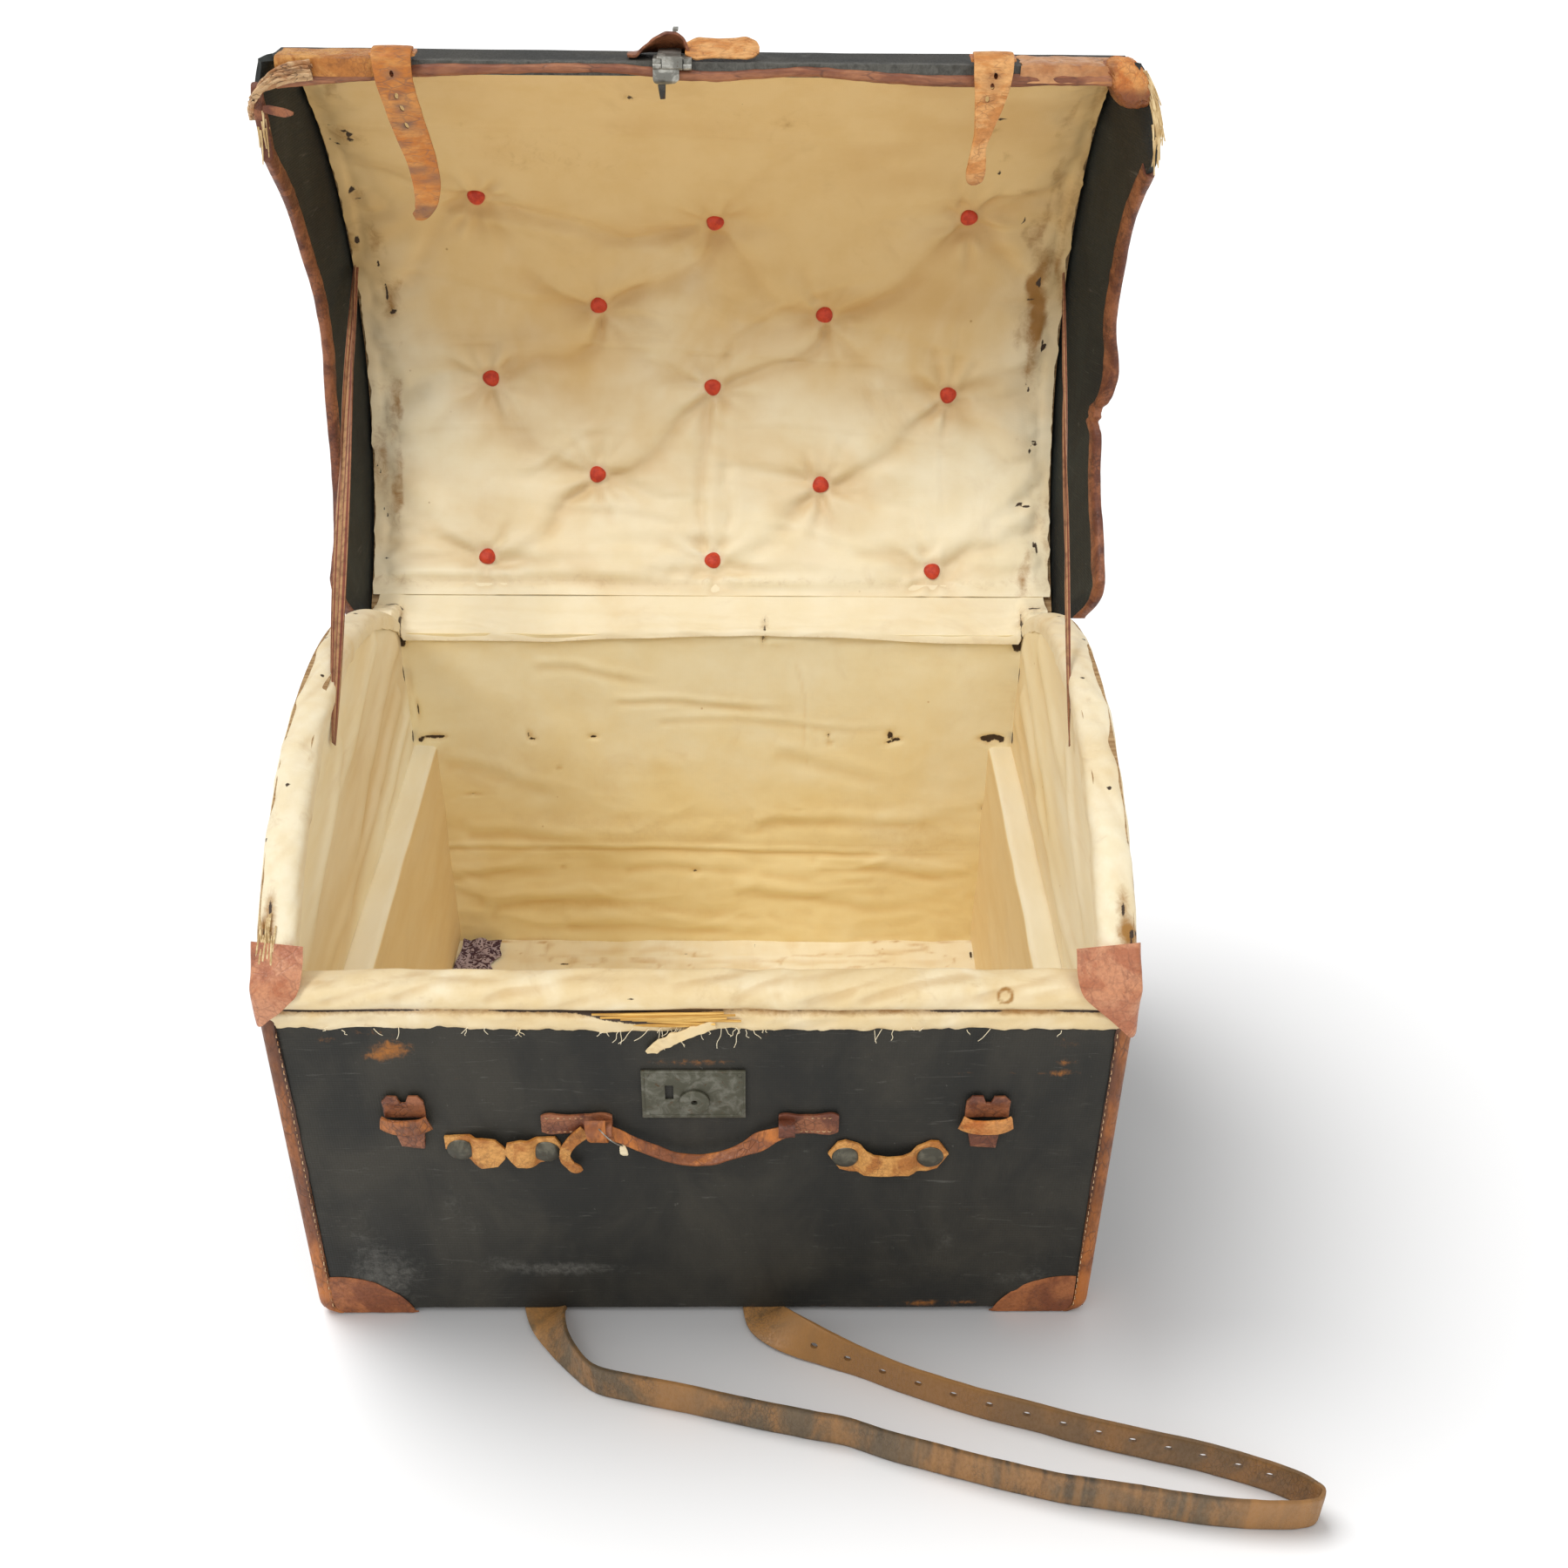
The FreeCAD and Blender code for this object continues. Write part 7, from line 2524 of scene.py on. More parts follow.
@dataclass
class LidShell:
    """Canvas over the dome, the flared end skirts and all their leather."""
    finishes: Finishes
    flare: dict[str, float] = field(default_factory=lambda: {"left": 13.0, "right": 26.0})
    top_x: float = 309.0
    outer: float = 307.5
    rim: float = 222.0
    deep: float = 84.0
    long: float = 700.0

    def level(self, word: str, side: int, share: np.ndarray, depth: np.ndarray) -> np.ndarray:
        """A place on a skirt's inner face: share along it, depth from the dome (0) to its rim (1).

        Args:
            word: Which end, left or right.
            side: -1 for left and 1 for right.
            share: Share of the way along the skirt, from 0 to 1.
            depth: Depth from the dome (0) to the rim (1).

        Returns:
            Points on the closed lid.
        """
        last = math.asin((LID_BACK_Z - LID_Z) / LID_RADIUS)
        top_back = np.array([LID_Y + LID_RADIUS * math.cos(last), LID_BACK_Z])
        back = top_back + (np.array([214.0, 328.0]) - top_back) * depth[:, None]
        y, z = lid_line(share, LID_RADIUS + (self.rim - LID_RADIUS) * depth, 314 - 8 * depth, back)
        return column(side * (self.top_x + self.flare[word] * depth), y, z)

    def reach(self, word: str, share: np.ndarray) -> np.ndarray:
        """How much of its depth a worn skirt keeps at each place along it.

        Args:
            word: Which end, left or right.
            share: Share of the way along the skirt, from 0 to 1.

        Returns:
            Share of the depth that is left.
        """
        line = along_x(share * self.long)
        full = 1 - 0.34 * ease(share, 0.955, 1.0) ** 2 - 0.02 * rumple(line, 60, 305, 2)
        if word == "left":
            return full * (0.62 + 0.38 * ease(share, 0.0, 0.045))
        torn = np.exp(-((share - 0.652) / 0.024) ** 4) * (0.07 + 0.04 * rumple(line, 9, 307, 3))
        return full * (0.30 + 0.70 * ease(share, 0.0, 0.085)) * (1 - torn)

    def sway(self, word: str, share: np.ndarray, depth: np.ndarray) -> np.ndarray:
        """How far an old skirt leans out of true.

        Args:
            word: Which end, left or right.
            share: Share of the way along the skirt, from 0 to 1.
            depth: Depth from the dome (0) to the rim (1).

        Returns:
            Lean at each place in millimetres.
        """
        seed = 301 if word == "left" else 303
        lean = depth ** 2 * 2.2 * rumple(along_x(share * 500), 90, seed, 2)
        if word == "right":
            bulge, dip = np.exp(-((share - 0.575) / 0.055) ** 2), np.exp(-((share - 0.665) / 0.03) ** 2)
            lean = lean + depth ** 3 * (8 * bulge - 2 * dip)
        return lean

    def dome(self) -> None:
        """Stretch the canvas over the dome and turn it in at the front edge."""
        hem, front = 9.0, 44

        def shape(u: np.ndarray, v: np.ndarray) -> np.ndarray:
            """The canvas from its hem under the front edge, up the front and over the dome.

            Args:
                u: Share of the way along for each point, from 0 to 1.
                v: Share of the way across for each point, from 0 to 1.

            Returns:
                The points in millimetres.
            """
            first = math.acos((LID_FACE_Y - LID_Y) / self.outer)
            last = math.asin((LID_BACK_Z - LID_Z) / self.outer)
            run = v * (hem + front + self.outer * (first - last)) - hem
            x = (u * 2 - 1) * (313.6 - 11 * ease(-run, -26, 0))
            turn = first - np.maximum(run - front, 0) / self.outer
            y, z = LID_Y + self.outer * np.cos(turn), LID_Z + self.outer * np.sin(turn)
            z = np.where(run < front, 314 + np.maximum(run, 0) * (z - 314) / front, z)
            y = np.where(run < front, LID_FACE_Y + np.maximum(-run, 0), y)
            points = plane(x, run)
            self.seen = (x, run)
            lift = np.clip(0.5 * rumple(points, 80, 311, 3) - 0.3, -1, 0.2)
            z = z - 1.2 * ease(-run, -2.5, 1.5)
            return lid_open(column(x, y + lift * np.cos(turn), z + lift * np.sin(turn) * (run > front)))

        cloth = sheet("dome_canvas", 150, 130, shape, (0, 1, 0))
        x, run = self.seen
        points = plane(x, run)
        ridge = np.exp(-((run - 46) / 8) ** 2)
        lip = ease(-run, -16, -2)
        paint(cloth, "tear", 0.35 * ridge * ease(rumple(points, 26, 313, 3), -0.2, 0.7) + 0.75 * lip)
        paint(cloth, "soil_and_shade", 0.4 * ridge * ease(rumple(points, 20, 315, 3), 0.2, 0.9))
        thicken(cloth, 1.2)
        dress(cloth, self.finishes.canvas, Body.LID, ["lid_canvas"], 50)

    def skirt(self, word: str, side: int) -> None:
        """Cover one end skirt.

        Args:
            word: Which end, left or right.
            side: -1 for left and 1 for right.
        """
        def shape(u: np.ndarray, v: np.ndarray) -> np.ndarray:
            """The skirt's canvas from the dome to its worn rim.

            Args:
                u: Share of the way along for each point, from 0 to 1.
                v: Share of the way across for each point, from 0 to 1.

            Returns:
                The points in millimetres.
            """
            depth = v * 0.985 * self.reach(word, u)
            points = self.level(word, side, u, depth)
            self.seen = (u, depth)
            points[:, 0] += side * (self.sway(word, u, depth) + 0.35 * rumple(points, 40, 321, 3))
            return lid_open(points)

        cloth = sheet(f"skirt_canvas_{word}", 170, 30, shape, (-side, 0, 0))
        u, depth = self.seen
        points = plane(u * self.long, depth * self.deep)
        pale = 0.30 * ease(u, 0.45, 1.0) * ease(rumple(points, (60, 26, 50), 323 + side, 3), -0.5, 0.7)
        paint(cloth, "tear", pale)
        rusty = ease(u, 0.3, 1) * ease(rumple(points, (40, 30, 50), 325 + side, 3), 0, 0.9)
        paint(cloth, "soil_and_shade", 0.02 * rusty)
        thicken(cloth, 4.8)
        dress(cloth, self.finishes.skirt, Body.LID, [f"lid_skirt_{word}"], 50)

    def edging(self, word: str, side: int) -> None:
        """Fold leather over the skirt's rim, except where it is worn away at the front corner.

        Args:
            word: Which end, left or right.
            side: -1 for left and 1 for right.
        """
        first = 0.145 if word == "right" else 0.03

        def shape(share: np.ndarray, turn: np.ndarray) -> np.ndarray:
            """Leather round the skirt's rim.

            Args:
                share: Share along the piece for each point.
                turn: Share round its cross-section for each point.

            Returns:
                The points in millimetres.
            """
            along = first + (1 - first) * share
            a, b = section(turn, 5.6 / self.deep, 4.2, 0.45)
            worn = 1.2 * rumple(along_x(along * self.long), 22, 331 + side, 3) / self.deep
            depth = 0.952 * self.reach(word, along) + a + worn * (a < 0)
            points = self.level(word, side, along, depth)
            thin = 1.0 - 0.45 * ease(a, 0.02, 0.083)
            points[:, 0] += side * (2.4 + b * thin + self.sway(word, along, depth))
            points[:, 0] += side * 0.3 * rumple(points, 14, 333, 3)
            return lid_open(points)

        strip = band(f"skirt_edging_{word}", 260, 18, shape)
        dress(strip, self.finishes.red, Body.LID, [f"lid_binding_{word}"])

    def front_roll(self) -> None:
        """Roll leather over the lid's front edge, wavy with age."""
        # Place along X, how far the roll has sagged and half its thickness.
        sag = ((-309.5, 12, 5.0), (-284, 7.9, 5.6), (-240, 3.9, 5.0), (-156, 1.9, 3.6), (-68, 1.2, 3.4),
               (-40, 4.0, 3.8), (-5, 5.4, 3.8), (26, 3.6, 3.4), (57, 1.8, 3.3), (95, 3.9, 4.0),
               (152, 7.0, 4.1), (208, 6.4, 4.6), (270, 5.0, 4.6), (306.5, 5.4, 4.6))

        def shape(along: np.ndarray, turn: np.ndarray) -> np.ndarray:
            """The roll round its sagging line.

            Args:
                along: Share along the piece for each point.
                turn: Share round its cross-section for each point.

            Returns:
                The points in millimetres.
            """
            x = -309.5 + along * 616
            line = along_x(x)
            wave = 1.4 * rumple(line, 90, 341, 3)
            row = smooth_line([(a / 10, drop, thick) for a, drop, thick in sag], along)
            swell = 1 + 0.12 * rumple(line, 22, 343, 3)
            a, b = section(turn, row[:, 2] * swell, 4.4 * swell, 0.8)
            y = -240.9 + row[:, 1] + a
            z = 315.4 + wave * 0.9 + b
            points = column(x, y + 0.35 * rumple(column(x, a * 3, b * 3), 9, 345, 2), z)
            return lid_open(points)

        roll = band("front_roll", 300, 20, shape)
        points = spots(roll)
        paint(roll, "rub", 0.5 * ease(rumple(points, (40, 20, 20), 347, 3), 0.3, 0.8))
        dress(roll, self.finishes.roll, Body.LID, ["lid_binding_front"])

    def caps(self) -> None:
        """Leather over the lid's two front corners: rubbed orange on one, frayed on the other."""
        for word, side in SIDES:
            def plate(u: np.ndarray, v: np.ndarray, side: int = side) -> np.ndarray:
                """A patch of hide over the front edge of the lid's corner.

                Args:
                    u: Share of the way along for each point, from 0 to 1.
                    v: Share of the way across for each point, from 0 to 1.
                    side: -1 for left and 1 for right.

                Returns:
                    The points in millimetres.
                """
                ragged = 5 * rumple(along_x(v * 40), 14, 349 + side, 3) * ease(-u, -0.25, 0)
                x = 232 + u * 76 + ragged
                run = v * 44 - 9
                z = 312.2 + np.maximum(run, 0)
                y = LID_FACE_Y + np.maximum(-run, 0) * 1.25
                lift = 0.5 + np.clip(np.minimum(u, 1 - v) * 9, 0, 1)
                lift = np.clip(lift + 0.9 * crumple(plane(x, run), (30, 18, 20), 351 + side), 0.3, 3.2)
                over = ease(run, -3, 3)
                return lid_open(column(side * x, y - lift * over, z - lift * (1 - over)))

            flat = sheet(f"corner_plate_{word}", 60, 34, plate, (0, 0, 1))
            thicken(flat, 1.4)
            finish = self.finishes.plate_hide if side > 0 else self.finishes.orange
            dress(flat, finish, Body.LID)
        knob = block("rubbed_corner", 25)
        unit = spots(knob) * MM
        # Between a ball and a box.
        power = 2.6
        knoll = unit / np.maximum(np.sum(np.abs(unit) ** power, axis=1) ** (1 / power), 1e-6)[:, None]
        rough = 1 + 0.09 * crumple(knoll * 40, 30, 353)
        closed = knoll * np.array((14.6, 16.5, 13.6)) * rough[:, None]
        closed[:, 0] += 0.42 * closed[:, 1] - 4.0 * np.clip(-knoll[:, 0], 0, 1) * np.clip(-knoll[:, 1], 0, 1)
        closed += np.array([310.6, -232.5, 321.0])
        closed[:, 2] = np.maximum(closed[:, 2], 308.5)
        move(knob, lid_open(closed))
        paint(knob, "rub", 0.55 * ease(-closed[:, 1], 238, 247) * ease(rumple(closed, 9, 355, 3), -0.4, 0.6))
        paint(knob, "soil_and_shade", 0.75 * ease(closed[:, 1], -234, -225) + 0.6 * ease(-closed[:, 0], -302, -296))
        dress(knob, self.finishes.amber, Body.LID, ["lid_corner_caps"])
        rng = np.random.default_rng(29)
        strands = []
        path = ((-282, 183, 850.5), (-296, 180, 849.5), (-309, 178, 845), (-320, 178, 838), (-327, 181, 829),
                (-328, 187, 817))
        for number in range(22):
            near, across = rng.uniform(-4.5, 4), rng.uniform(-6.5, 6.5)
            knots = [(x + across * 0.45 * t + rng.uniform(-1.6, 1.6), y + near,
                      z + across * (0.95 - 0.5 * t), 0.5, -0.3, 0.8, rng.uniform(2.6, 5.0),
                      rng.uniform(1.2, 2.2)) for t, (x, y, z) in zip((0, 0.2, 0.4, 0.6, 0.8, 1), path)]
            strands.append(Strip(f"strand_{number}", knots[:6 - number % 3], 30, 10, 0.7).build())
        bundle = join(strands, "frayed_corner")
        weather(bundle, 0.7, 6, 357)
        dress(bundle, self.finishes.frayed, Body.LID, ["lid_corner_caps"])

    def fraying(self) -> None:
        """Cane and straw ends that stand out where the corner leather is gone."""
        rng = np.random.default_rng(23)
        made = []
        for word, side, low, high, count in (("right", 1, 0.004, 0.085, 46), ("left", -1, 0.045, 0.085, 12)):
            for number in range(count):
                first = rng.uniform(low, high)
                long, flare = rng.uniform(0.018, 0.04), rng.uniform(-0.02, 0.09)
                deep, out = rng.uniform(0.93, 1.03), rng.uniform(-2.5, 5.0)
                knots = []
                for t in (0, 0.3, 0.6, 1):
                    share = np.array([first + long * t])
                    depth = self.reach(word, share) * (deep + flare * t * t)
                    spot = self.level(word, side, share, depth)[0]
                    spot[0] += side * (out + 3 * flare * t)
                    knots.append((*lid_open(spot), 1, 0, 0.3, 1.8 * (1 - 0.5 * t), 1.1 * (1 - 0.4 * t)))
                made.append(Strip(f"straw_{word}_{number}", knots, 8, 6, 0.8).build())
        dress(join(made, "straw_ends"), self.finishes.straw, Body.LID)
        tongue = Strip("torn_tongue", [(*lid_open(np.array(p)), 0.2, 0.2, 1, w, 1.8) for p, w in (
            ((-319.0, -212.0, 303.5), 5), ((-313.0, -211.0, 304.5), 6.5), ((-307.0, -210.0, 304.0), 6.5),
            ((-301.0, -209.5, 302.5), 5), ((-297.0, -209.5, 302), 2))], 30, 18).build()
        weather(tongue, 0.6, 7, 361)
        dress(tongue, self.finishes.red, Body.LID)

    def build(self) -> None:
        """Cover the lid."""
        self.dome()
        for word, side in SIDES:
            self.skirt(word, side)
            self.edging(word, side)
        self.front_roll()
        self.caps()
        self.fraying()


@dataclass
class LidTabs:
    """The two strap billets that hang from the lid's front edge."""
    finishes: Finishes

    def punch(self, piece: bpy.types.Object, holes: Sequence[Sequence[float]]) -> None:
        """Cut slots through a billet, each given as place along X and Z and lean.

        Args:
            piece: Object to work on.
            holes: The slots, as rows of three numbers.
        """
        for x, z, lean in holes:
            tool = rod("punch", 16, 1, 40)
            points = spots(tool)
            cos, sin = math.cos(lean), math.sin(lean)
            a, b = points[:, 0] * 1.5, points[:, 1] * 2.3
            move(tool, column(x + a * cos - b * sin, 180 + points[:, 2], z + a * sin + b * cos))
            outward(tool)
            cut_out(piece, tool)

    def build(self) -> None:
        """Make both billets and their sewn roots."""
        left = Strip("billet_left", (
            (-223, 190, 864.6, 1, 0, 0, 28.5, 2.6), (-223, 184, 864.4, 1, 0, 0, 28.5, 2.8),
            (-223, 178.6, 861.5, 1, 0, 0, 28.5, 3), (-222.8, 176.8, 855, 1, 0, 0, 28, 3),
            (-222, 176.3, 844, 1, 0, 0, 27, 3), (-219.5, 176.3, 832, 1, 0, 0.05, 25.7, 3),
            (-213.5, 176.6, 809, 1, 0, 0.14, 24, 3), (-207.5, 176.2, 787, 1, 0.04, 0.1, 22, 3),
            (-206, 175, 771, 1, 0.1, 0.0, 20, 3), (-207.8, 172.5, 759, 1, 0.2, -0.3, 16.5, 3),
            (-212.5, 170, 752, 0.9, 0.3, -0.6, 11, 2.6), (-217.0, 169, 750, 0.9, 0.3, -0.7, 5, 1.8)),
            120, 24).build()
        weather(left, 0.4, 16, 371)
        left_holes = ((-223.2, 849.5, 0.1), (-221.5, 834.5, -0.2), (-218.5, 826, 0.5), (-216.5, 814, 0.5))
        self.punch(left, left_holes)
        right = Strip("billet_right", (
            (210, 190, 864.6, 1, 0, 0, 29, 2.6), (210, 184, 864.4, 1, 0, 0, 29, 2.8),
            (210, 178.6, 861.5, 1, 0, 0, 29, 3), (210, 176.8, 855, 1, 0, 0, 28.5, 3),
            (209.5, 176.3, 844, 1, 0, 0, 26, 3), (208, 176.3, 830, 1, 0.1, 0, 21, 3),
            (205.5, 176.2, 814, 1, 0.5, 0, 15.5, 3), (203.0, 175.5, 802, 1, 0.6, 0, 12.5, 3),
            (202.2, 174.5, 791, 1, 0.3, 0, 13.5, 3), (201.5, 174.0, 782, 1, 0.1, 0, 13.5, 3),
            (201, 174.0, 777, 1, 0, 0, 9, 2.6), (201, 174, 775.5, 1, 0, 0, 4, 2)), 110, 24).build()
        weather(right, 0.4, 16, 373)
        right_holes = ((211.5, 852, 0.2), (209.5, 845, 0.2), (206.5, 836, 0.2))
        self.punch(right, right_holes)
        for piece, body, word in ((left, Body.TAB_LEFT, "left"), (right, Body.TAB_RIGHT, "right")):
            x, _, z = spots(piece).T
            flat = column(x, 0, z)
            holes = left_holes if word == "left" else right_holes
            # Painted shade: the leather round and inside each punched hole is darkened.
            soil_and_shade = blots(x, z, [(at, up, 2.2, 3.4, 1.0) for at, up, _ in holes])
            rub = 0.3 * ease(rumple(flat, (10, 10, 6), 379, 3), 0.1, 0.8)
            if word == "left":
                soil_and_shade += 0.75 * ease(-z, -826, -800) * ease(rumple(flat, (22, 10, 9), 375, 3), -0.5, 0.5)
                rub += 0.4 * ease(-z, -792, -770) * ease(rumple(flat, (30, 10, 4), 376, 3), -0.5, 0.5)
            else:
                soil_and_shade += 0.45 * ease(-z, -786, -776)
            paint(piece, "soil_and_shade", soil_and_shade)
            paint(piece, "rub", rub)
            finish = self.finishes.billet if word == "left" else self.finishes.pale_hide
            dress(piece, finish, body, [f"lid_tab_{word}"])
        roots = []
        for x in (-223, 210):
            root = Strip("billet_root", [(x, y, 861.4, 1, 0, 0, 33, 2.6) for y in (181.5, 186, 191, 196)],
                         16, 20).build()
            weather(root, 0.5, 10, 377)
            roots.append(root)
        dress(join(roots, "billet_roots"), self.finishes.amber, Body.LID, ["lid_tab_anchors"])


@dataclass
class Hasp:
    """Hasp plate, its tongue folded back on the lid, and the torn leather round them."""
    finishes: Finishes

    def build(self) -> None:
        """Make the hasp."""
        plate = copy_of("hasp_plate", "hasp_plate_worn")
        bevel(plate, 0.3, 2)
        lip = Strip("plate_return", [(*lid_open(np.array(p)), 1, 0, 0, w, 1.5) for p, w in (
            ((-24.0, -245.8, 325), 20), ((-25.5, -244.6, 314), 19), ((-26.5, -241.6, 309.6), 19),
            ((-26.5, -237.5, 307.6), 19), ((-26.5, -233.0, 307.4), 18), ((-26.0, -231.0, 309.5), 12))],
            36, 18).build()
        peg = Strip("plate_peg", [(-29.5 + 0.5 * t, 174.4 - 0.4 * t, 844 - 9.5 * t, 1, 0, 0, 5.8 - 2 * t, 2.8)
                                  for t in (0, 0.3, 0.6, 0.9, 1)], 20, 14, 0.6).build()
        dress(join([plate, lip], "hasp_leaf"), self.finishes.plate, Body.LID, ["hasp_plate"], 40)
        dress(peg, self.finishes.iron, Body.LID)
        coat(["hasp_pin"], self.finishes.iron)
        tongue = copy_of("hasp_tongue", "hasp_tongue_worn")
        bevel(tongue, 0.3, 2)
        dress(tongue, self.finishes.plate, Body.HASP, ["hasp_tongue"], 40)
        path = ((-55, 0.8), (-48, 1.8), (-42, 6.4), (-34, 11.6), (-26, 14.8), (-19, 14.0), (-13.5, 8.6),
                (-9, 1.4))
        knots = [(*lid_open(np.array((x, LID_FACE_Y - 1.2 - rise * 0.72, 336))), 0, 1, -0.035 * rise, 25, 2.6)
                 for x, rise in path]
        tent = Strip("torn_loop", knots, 70, 24).build()
        points = spots(tent)
        far = ease(points[:, 1], 206, 217)
        ground = lid_open(np.array([0, LID_FACE_Y, 340.0]))[2]
        points[:, 2] = ground + (points[:, 2] - ground) * (1.02 - 0.72 * far)
        move(tent, points)
        weather(tent, 0.8, 9, 381)
        dress(tent, self.finishes.red, Body.LID, ["hasp_leather"])
        flap_path = ((-13, 5.2), (-7, 5.4), (2, 5.8), (12, 6.2), (24, 6.4), (34, 6.2), (39, 5.6), (41, 5.2))
        widths = (14, 25, 24, 24, 24, 23, 16, 7)
        knots = [(*lid_open(np.array((x, LID_FACE_Y - 1.2 - rise, 328))), 0, 1, 0.42, wide, 2.0)
                 for (x, rise), wide in zip(flap_path, widths)]
        flap = Strip("loose_end", knots, 60, 24).build()
        weather(flap, 0.5, 10, 383)
        dress(flap, self.finishes.pale_hide, Body.LID, ["hasp_flap"])


@dataclass
class Stays:
    """Twisted tapes that hold the lid, and the cloth across the hinge."""
    finishes: Finishes

    def tape(self, word: str, side: int, strands: Sequence[Sequence[float]], flat: tuple[float, float],
             area: float) -> None:
        """Hang one stay from the lid's end to the trunk's rim.

        Args:
            word: Which end, left or right.
            side: -1 for left and 1 for right.
            strands: For each strand its bow, width, twist and spread.
            flat: Not used.
            area: Not used.
        """
        made = []
        foot = np.array([side * 275.5, -52.0, 424.0])
        head = np.array([side * 304.0, 334.0, 661.0])
        for number, (bow, wide, twist, spread) in enumerate(strands):
            knots = []
            for t in np.linspace(0, 1, 15):
                spot = foot + (head - foot) * t
                belly = math.sin(math.pi * t)
                spot += np.array([side * bow * belly * 0.4, (spread - bow) * belly, -bow * belly * 0.4])
                across = (math.sin(twist * t) * 0.9, math.cos(twist * t), 0.2)
                knots.append((*spot, *across, wide * (0.7 + 0.3 * belly), 0.9))
            made.append(Strip(f"strand_{word}_{number}", knots, 120, 12, 0.5).build())
        tape = join(made, f"stay_tape_{word}")
        dress(tape, self.finishes.tape, None, [f"stay_{word}"], 60)
        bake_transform(tape)

    def gusset(self) -> None:
        """Cloth that closes the gap along the hinges."""
        inner = ((211.6, 364, 0), (213.4, 369.5, 0), (227, 378, 0), (244, 385.5, 0), (253, 391, 0),
                 (261, 397, 0))
        outer = ((204, 392, 0), (214, 391.5, 0), (230, 389.5, 0), (246, 389.5, 0), (254, 392, 0),
                 (261, 397, 0))

        def shape(u: np.ndarray, v: np.ndarray) -> np.ndarray:
            """The cloth across the hinge line, gathered and loose at its ends.

            Args:
                u: Share of the way along for each point, from 0 to 1.
                v: Share of the way across for each point, from 0 to 1.

            Returns:
                The points in millimetres.
            """
            x = (u * 2 - 1) * 301
            low, high = smooth_line(inner, v), smooth_line(outer, v)
            share = ease(np.abs(x), 276, 283)[:, None]
            line = low + (high - low) * share
            flat = plane(x, v * 60)
            self.seen = (x, v)
            loose = ease(np.abs(x), 262, 292)
            lift = rumple(flat, (60, 26, 50), 391, 3) + 1.1 * crumple(flat, (70, 13, 50), 393)
            lift += loose * 2.6 * crumple(flat, (15, 13, 50), 395)
            lift *= ease(v, -0.2, 0.25) * ease(-v, -0.62, -0.42)
            lip = 3.4 * rumple(along_x(x), 110, 397, 3) + 4.0 * (1 - (x / 281) ** 2)
            lip *= ease(-v, -0.3, 0.0) * (1 - share[:, 0])
            return column(x, line[:, 0] - lift * 0.6, line[:, 1] + lift * 0.8 + lip)

        cloth = sheet("hinge_cloth", 240, 34, shape, (0, -0.5, 1))
        x, v = self.seen
        corner = 0.8 * np.exp(-((np.abs(x) - 278) / 1.8) ** 2) * ease(-v, -0.75, -0.2)
        tears = ((46.6, 10, 1.8, 9, 1.1), (46.6, 24, 1.5, 6, 1.0), (-287, 30, 9, 2, 1), (290, 26, 8, 2.4, 1))
        stains = ((46.6, 16, 5, 14, 0.4), (-288, 26, 16, 12, 0.35), (289, 26, 16, 12, 0.4))
        paint(cloth, "tear", corner * 1.1 + blots(x, v * 60, tears))
        paint(cloth, "soil_and_shade", corner * 0.5 + 0.3 * np.exp(-(v / 0.03) ** 2) + blots(x, v * 60, stains))
        thicken(cloth, 0.9)
        dress(cloth, self.finishes.lid_cotton, None, ["hinge_gusset"], 60)
        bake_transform(cloth)

    def build(self) -> None:
        """Make both stays and the hinge cloth."""
        self.tape("left", -1, ((2, 10, 3.2, 0), (13, 7, 5.0, 9), (-6, 6, 4.0, -10)), (0.022, 0.460), 0.0092)
        self.tape("right", 1, ((1, 3.8, 6.0, 0), (-2, 2.8, 9.0, 3)), (0.010, 0.460), 0.0028)
        self.gusset()


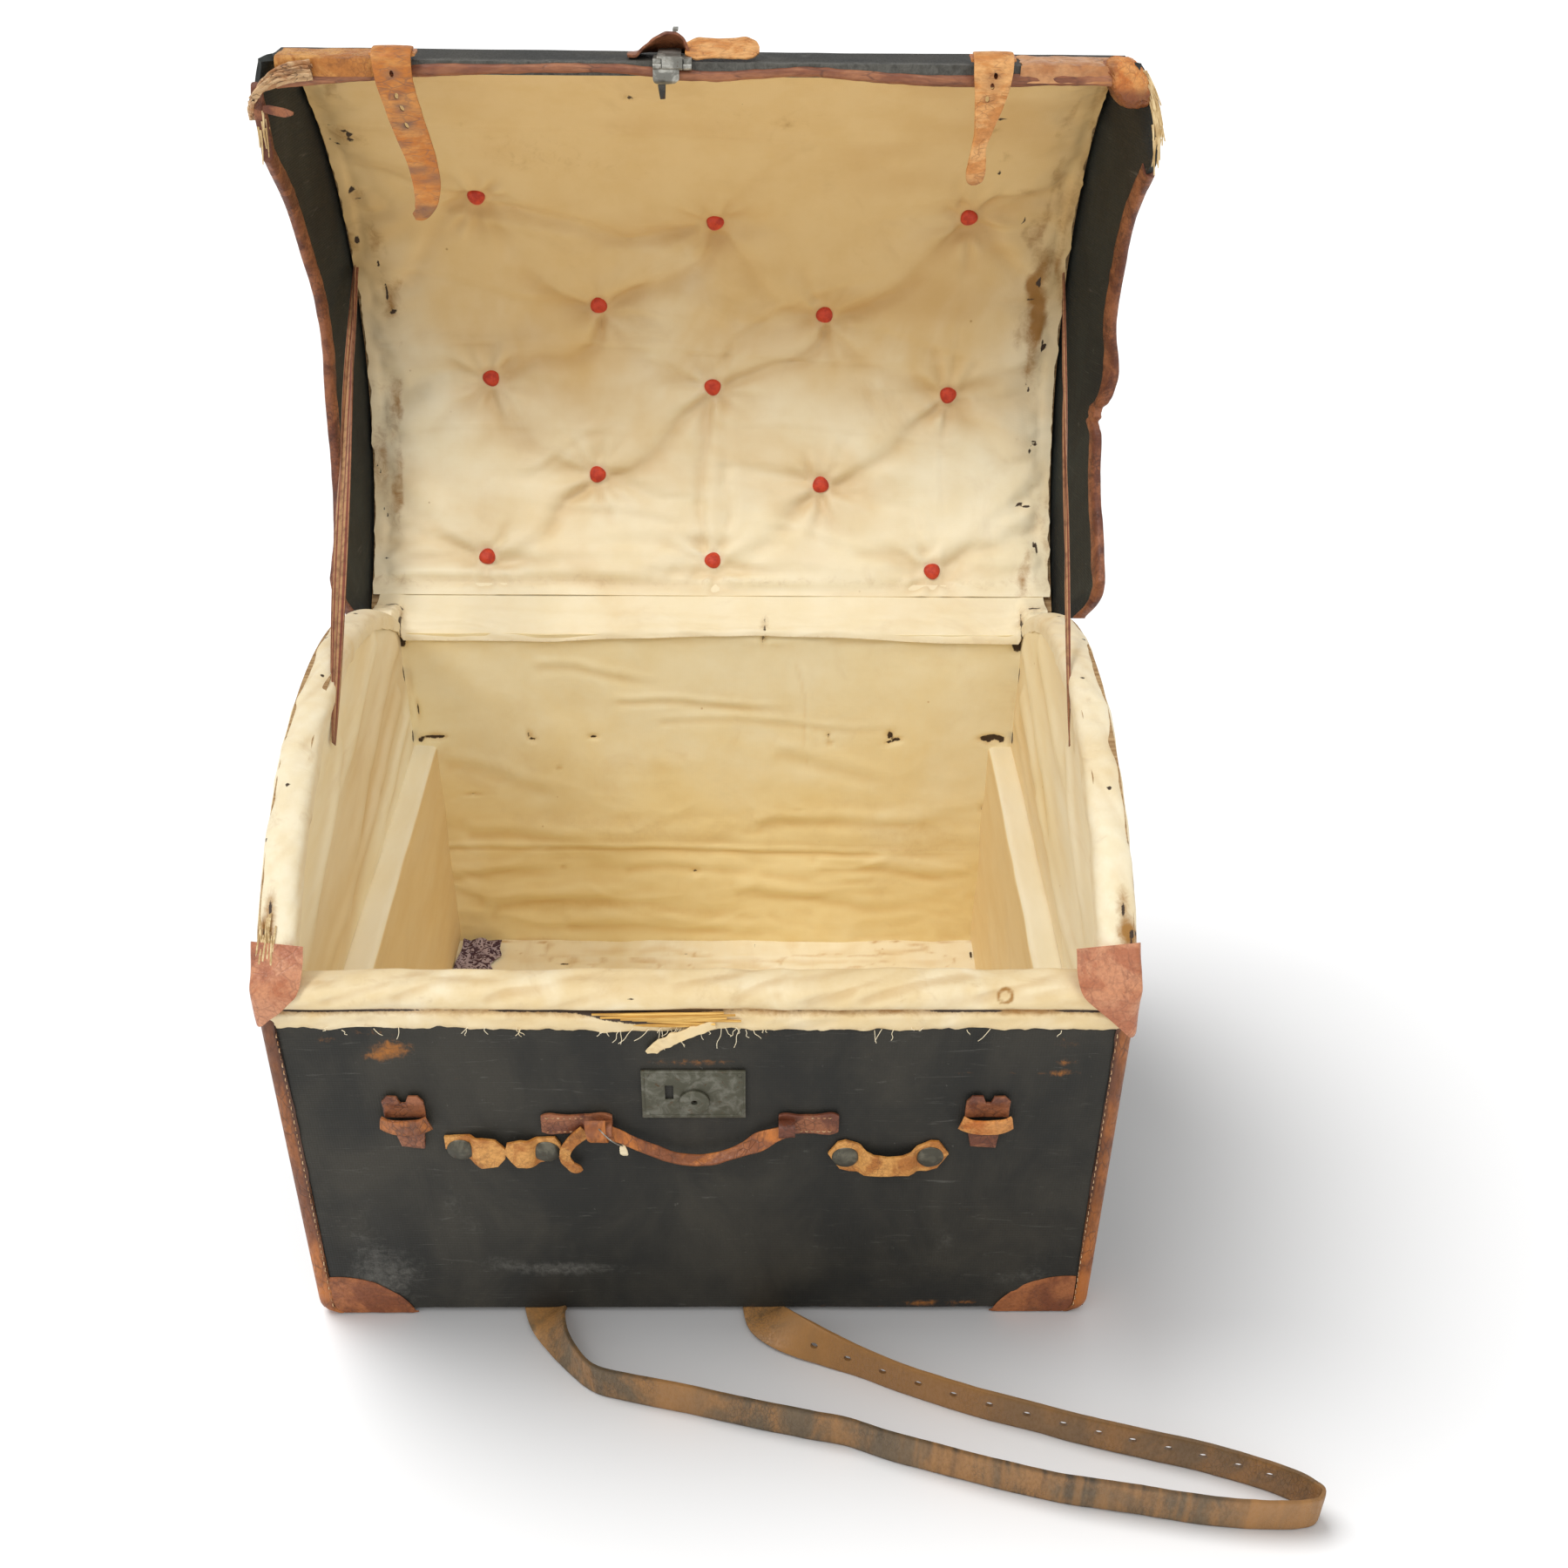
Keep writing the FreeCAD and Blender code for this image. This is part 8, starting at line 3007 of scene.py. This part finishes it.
@dataclass
class GirthStrap:
    """The long loose strap that comes out from under the trunk and lies doubled in front."""
    finishes: Finishes
    width: float = 32.0
    thick: float = 4.0

    def build(self) -> None:
        """Lay the strap and punch its holes."""
        near = ((-131, -172, 0), (-130, -205, 0), (-127, -231, 0), (-124, -240, 12), (-121, -249, 34),
                (-116, -262, 56), (-109, -276, 72), (-99, -290, 83))
        loop = ((-84, -305), (-52, -315.5), (-17, -324), (12, -331), (36, -337), (82, -348), (107, -353),
                (136, -364), (176, -377), (223, -391), (268, -402), (314, -410), (360, -418), (405, -422),
                (428, -421.5), (440, -418), (443, -412), (437, -405), (418, -394), (398, -386), (368, -376),
                (329, -365.5), (286, -353.5), (245, -340.5), (198, -325.5), (149, -306))
        far = ((120, -292, 94), (96, -280, 106), (76, -269, 122), (60, -257, 142), (50, -245, 163),
               (47, -233, 178), (46, -212, 180), (46, -176, 180))
        rows = [*near, *((x, y, 90) for x, y in loop), *far]
        plan = np.array([(x, y, 0) for x, y, _ in rows], float)
        knots = []
        for index, (x, y, roll) in enumerate(rows):
            ahead = plan[min(index + 1, len(rows) - 1)] - plan[max(index - 1, 0)]
            beside = np.array([-ahead[1], ahead[0], 0]) / np.linalg.norm(ahead)
            lean = math.radians(roll)
            across = beside * math.cos(lean) + np.array([0, 0, math.sin(lean)])
            rise = self.width / 2 * abs(math.sin(lean)) + self.thick / 2 * abs(math.cos(lean)) + 0.15
            knots.append((x, y, rise, *across, self.width, self.thick))
        strap = Strip("girth_strap", knots, 620, 20, 0.35).build()
        points = spots(strap)
        points[:, 1] += 0.5 * rumple(points, (26, 26, 90), 401, 3)
        points[:, 2] = np.maximum(points[:, 2] + 0.5 * rumple(points, 60, 403, 2), 0.1)
        move(strap, points)
        self.punch(strap)
        x, y, z = spots(strap).T
        far_run = (y > -0.28 * x - 285) * ease(x, 40, 80)
        face, right = column(x, 0, z), ease(x, 60, 200)
        rub = far_run * (0.75 - 0.5 * ease(x, 120, 330))
        rub += 0.75 * (1 - far_run) * ease(rumple(along_x(x), 60, 407, 2), -0.1, 0.7)
        bars = ease(rumple(face, (3.2, 20, 60), 409, 2), 0.1, 0.8) * right * (1 - far_run)
        paint(strap, "rub", rub + 0.5 * bars)
        dark = ease(-rumple(face, (3.6, 20, 60), 411, 2), 0.1, 0.8) * (0.3 + right) * (1 - 0.7 * far_run)
        edges = np.clip(ease(-z, -2.6, -1.0) + ease(z, 30.0, 31.6), 0, 1)
        paint(strap, "soil_and_shade", 0.35 * dark + 0.5 * edges)
        dress(strap, self.finishes.strap, Body.TRUNK, ["long_strap"])

    def punch(self, strap: bpy.types.Object) -> None:
        """Punch the buckle holes along the far run.

        Args:
            strap: The strap.
        """
        tools = []
        for x, y in ((84, -284), (110, -294.5), (137, -304.5), (164, -313.5), (190, -322.6), (216, -331.2),
                     (243, -339.9), (269, -348.2), (294, -355.9), (318, -362.5), (343, -369.2), (367, -375.8),
                     (391, -383.4), (412, -391.2)):
            tool = rod("strap_punch", 14, 2.7, 24)
            points = spots(tool)
            move(tool, column(x + points[:, 0] * 1.2 + points[:, 2] * 0.3, y + points[:, 2],
                              18.5 + points[:, 1] - points[:, 2] * 0.42))
            outward(tool)
            tools.append(tool)
        cut_out(strap, join(tools, "strap_punches"))


def main() -> None:
    """Build the trunk piece by piece."""
    logging.basicConfig(level=logging.INFO, format="%(message)s")
    Studio().build()
    finishes = Finishes()
    for part in (LidLining, Interior, Rims, Carcass, LockSet, Handle, FrontLeather, LidShell, LidTabs, Hasp,
                 Stays, GirthStrap):
        part(finishes).build()
        LOG.info("built %s", part.__name__)
    deselect()


if __name__ == "__main__":
    main()
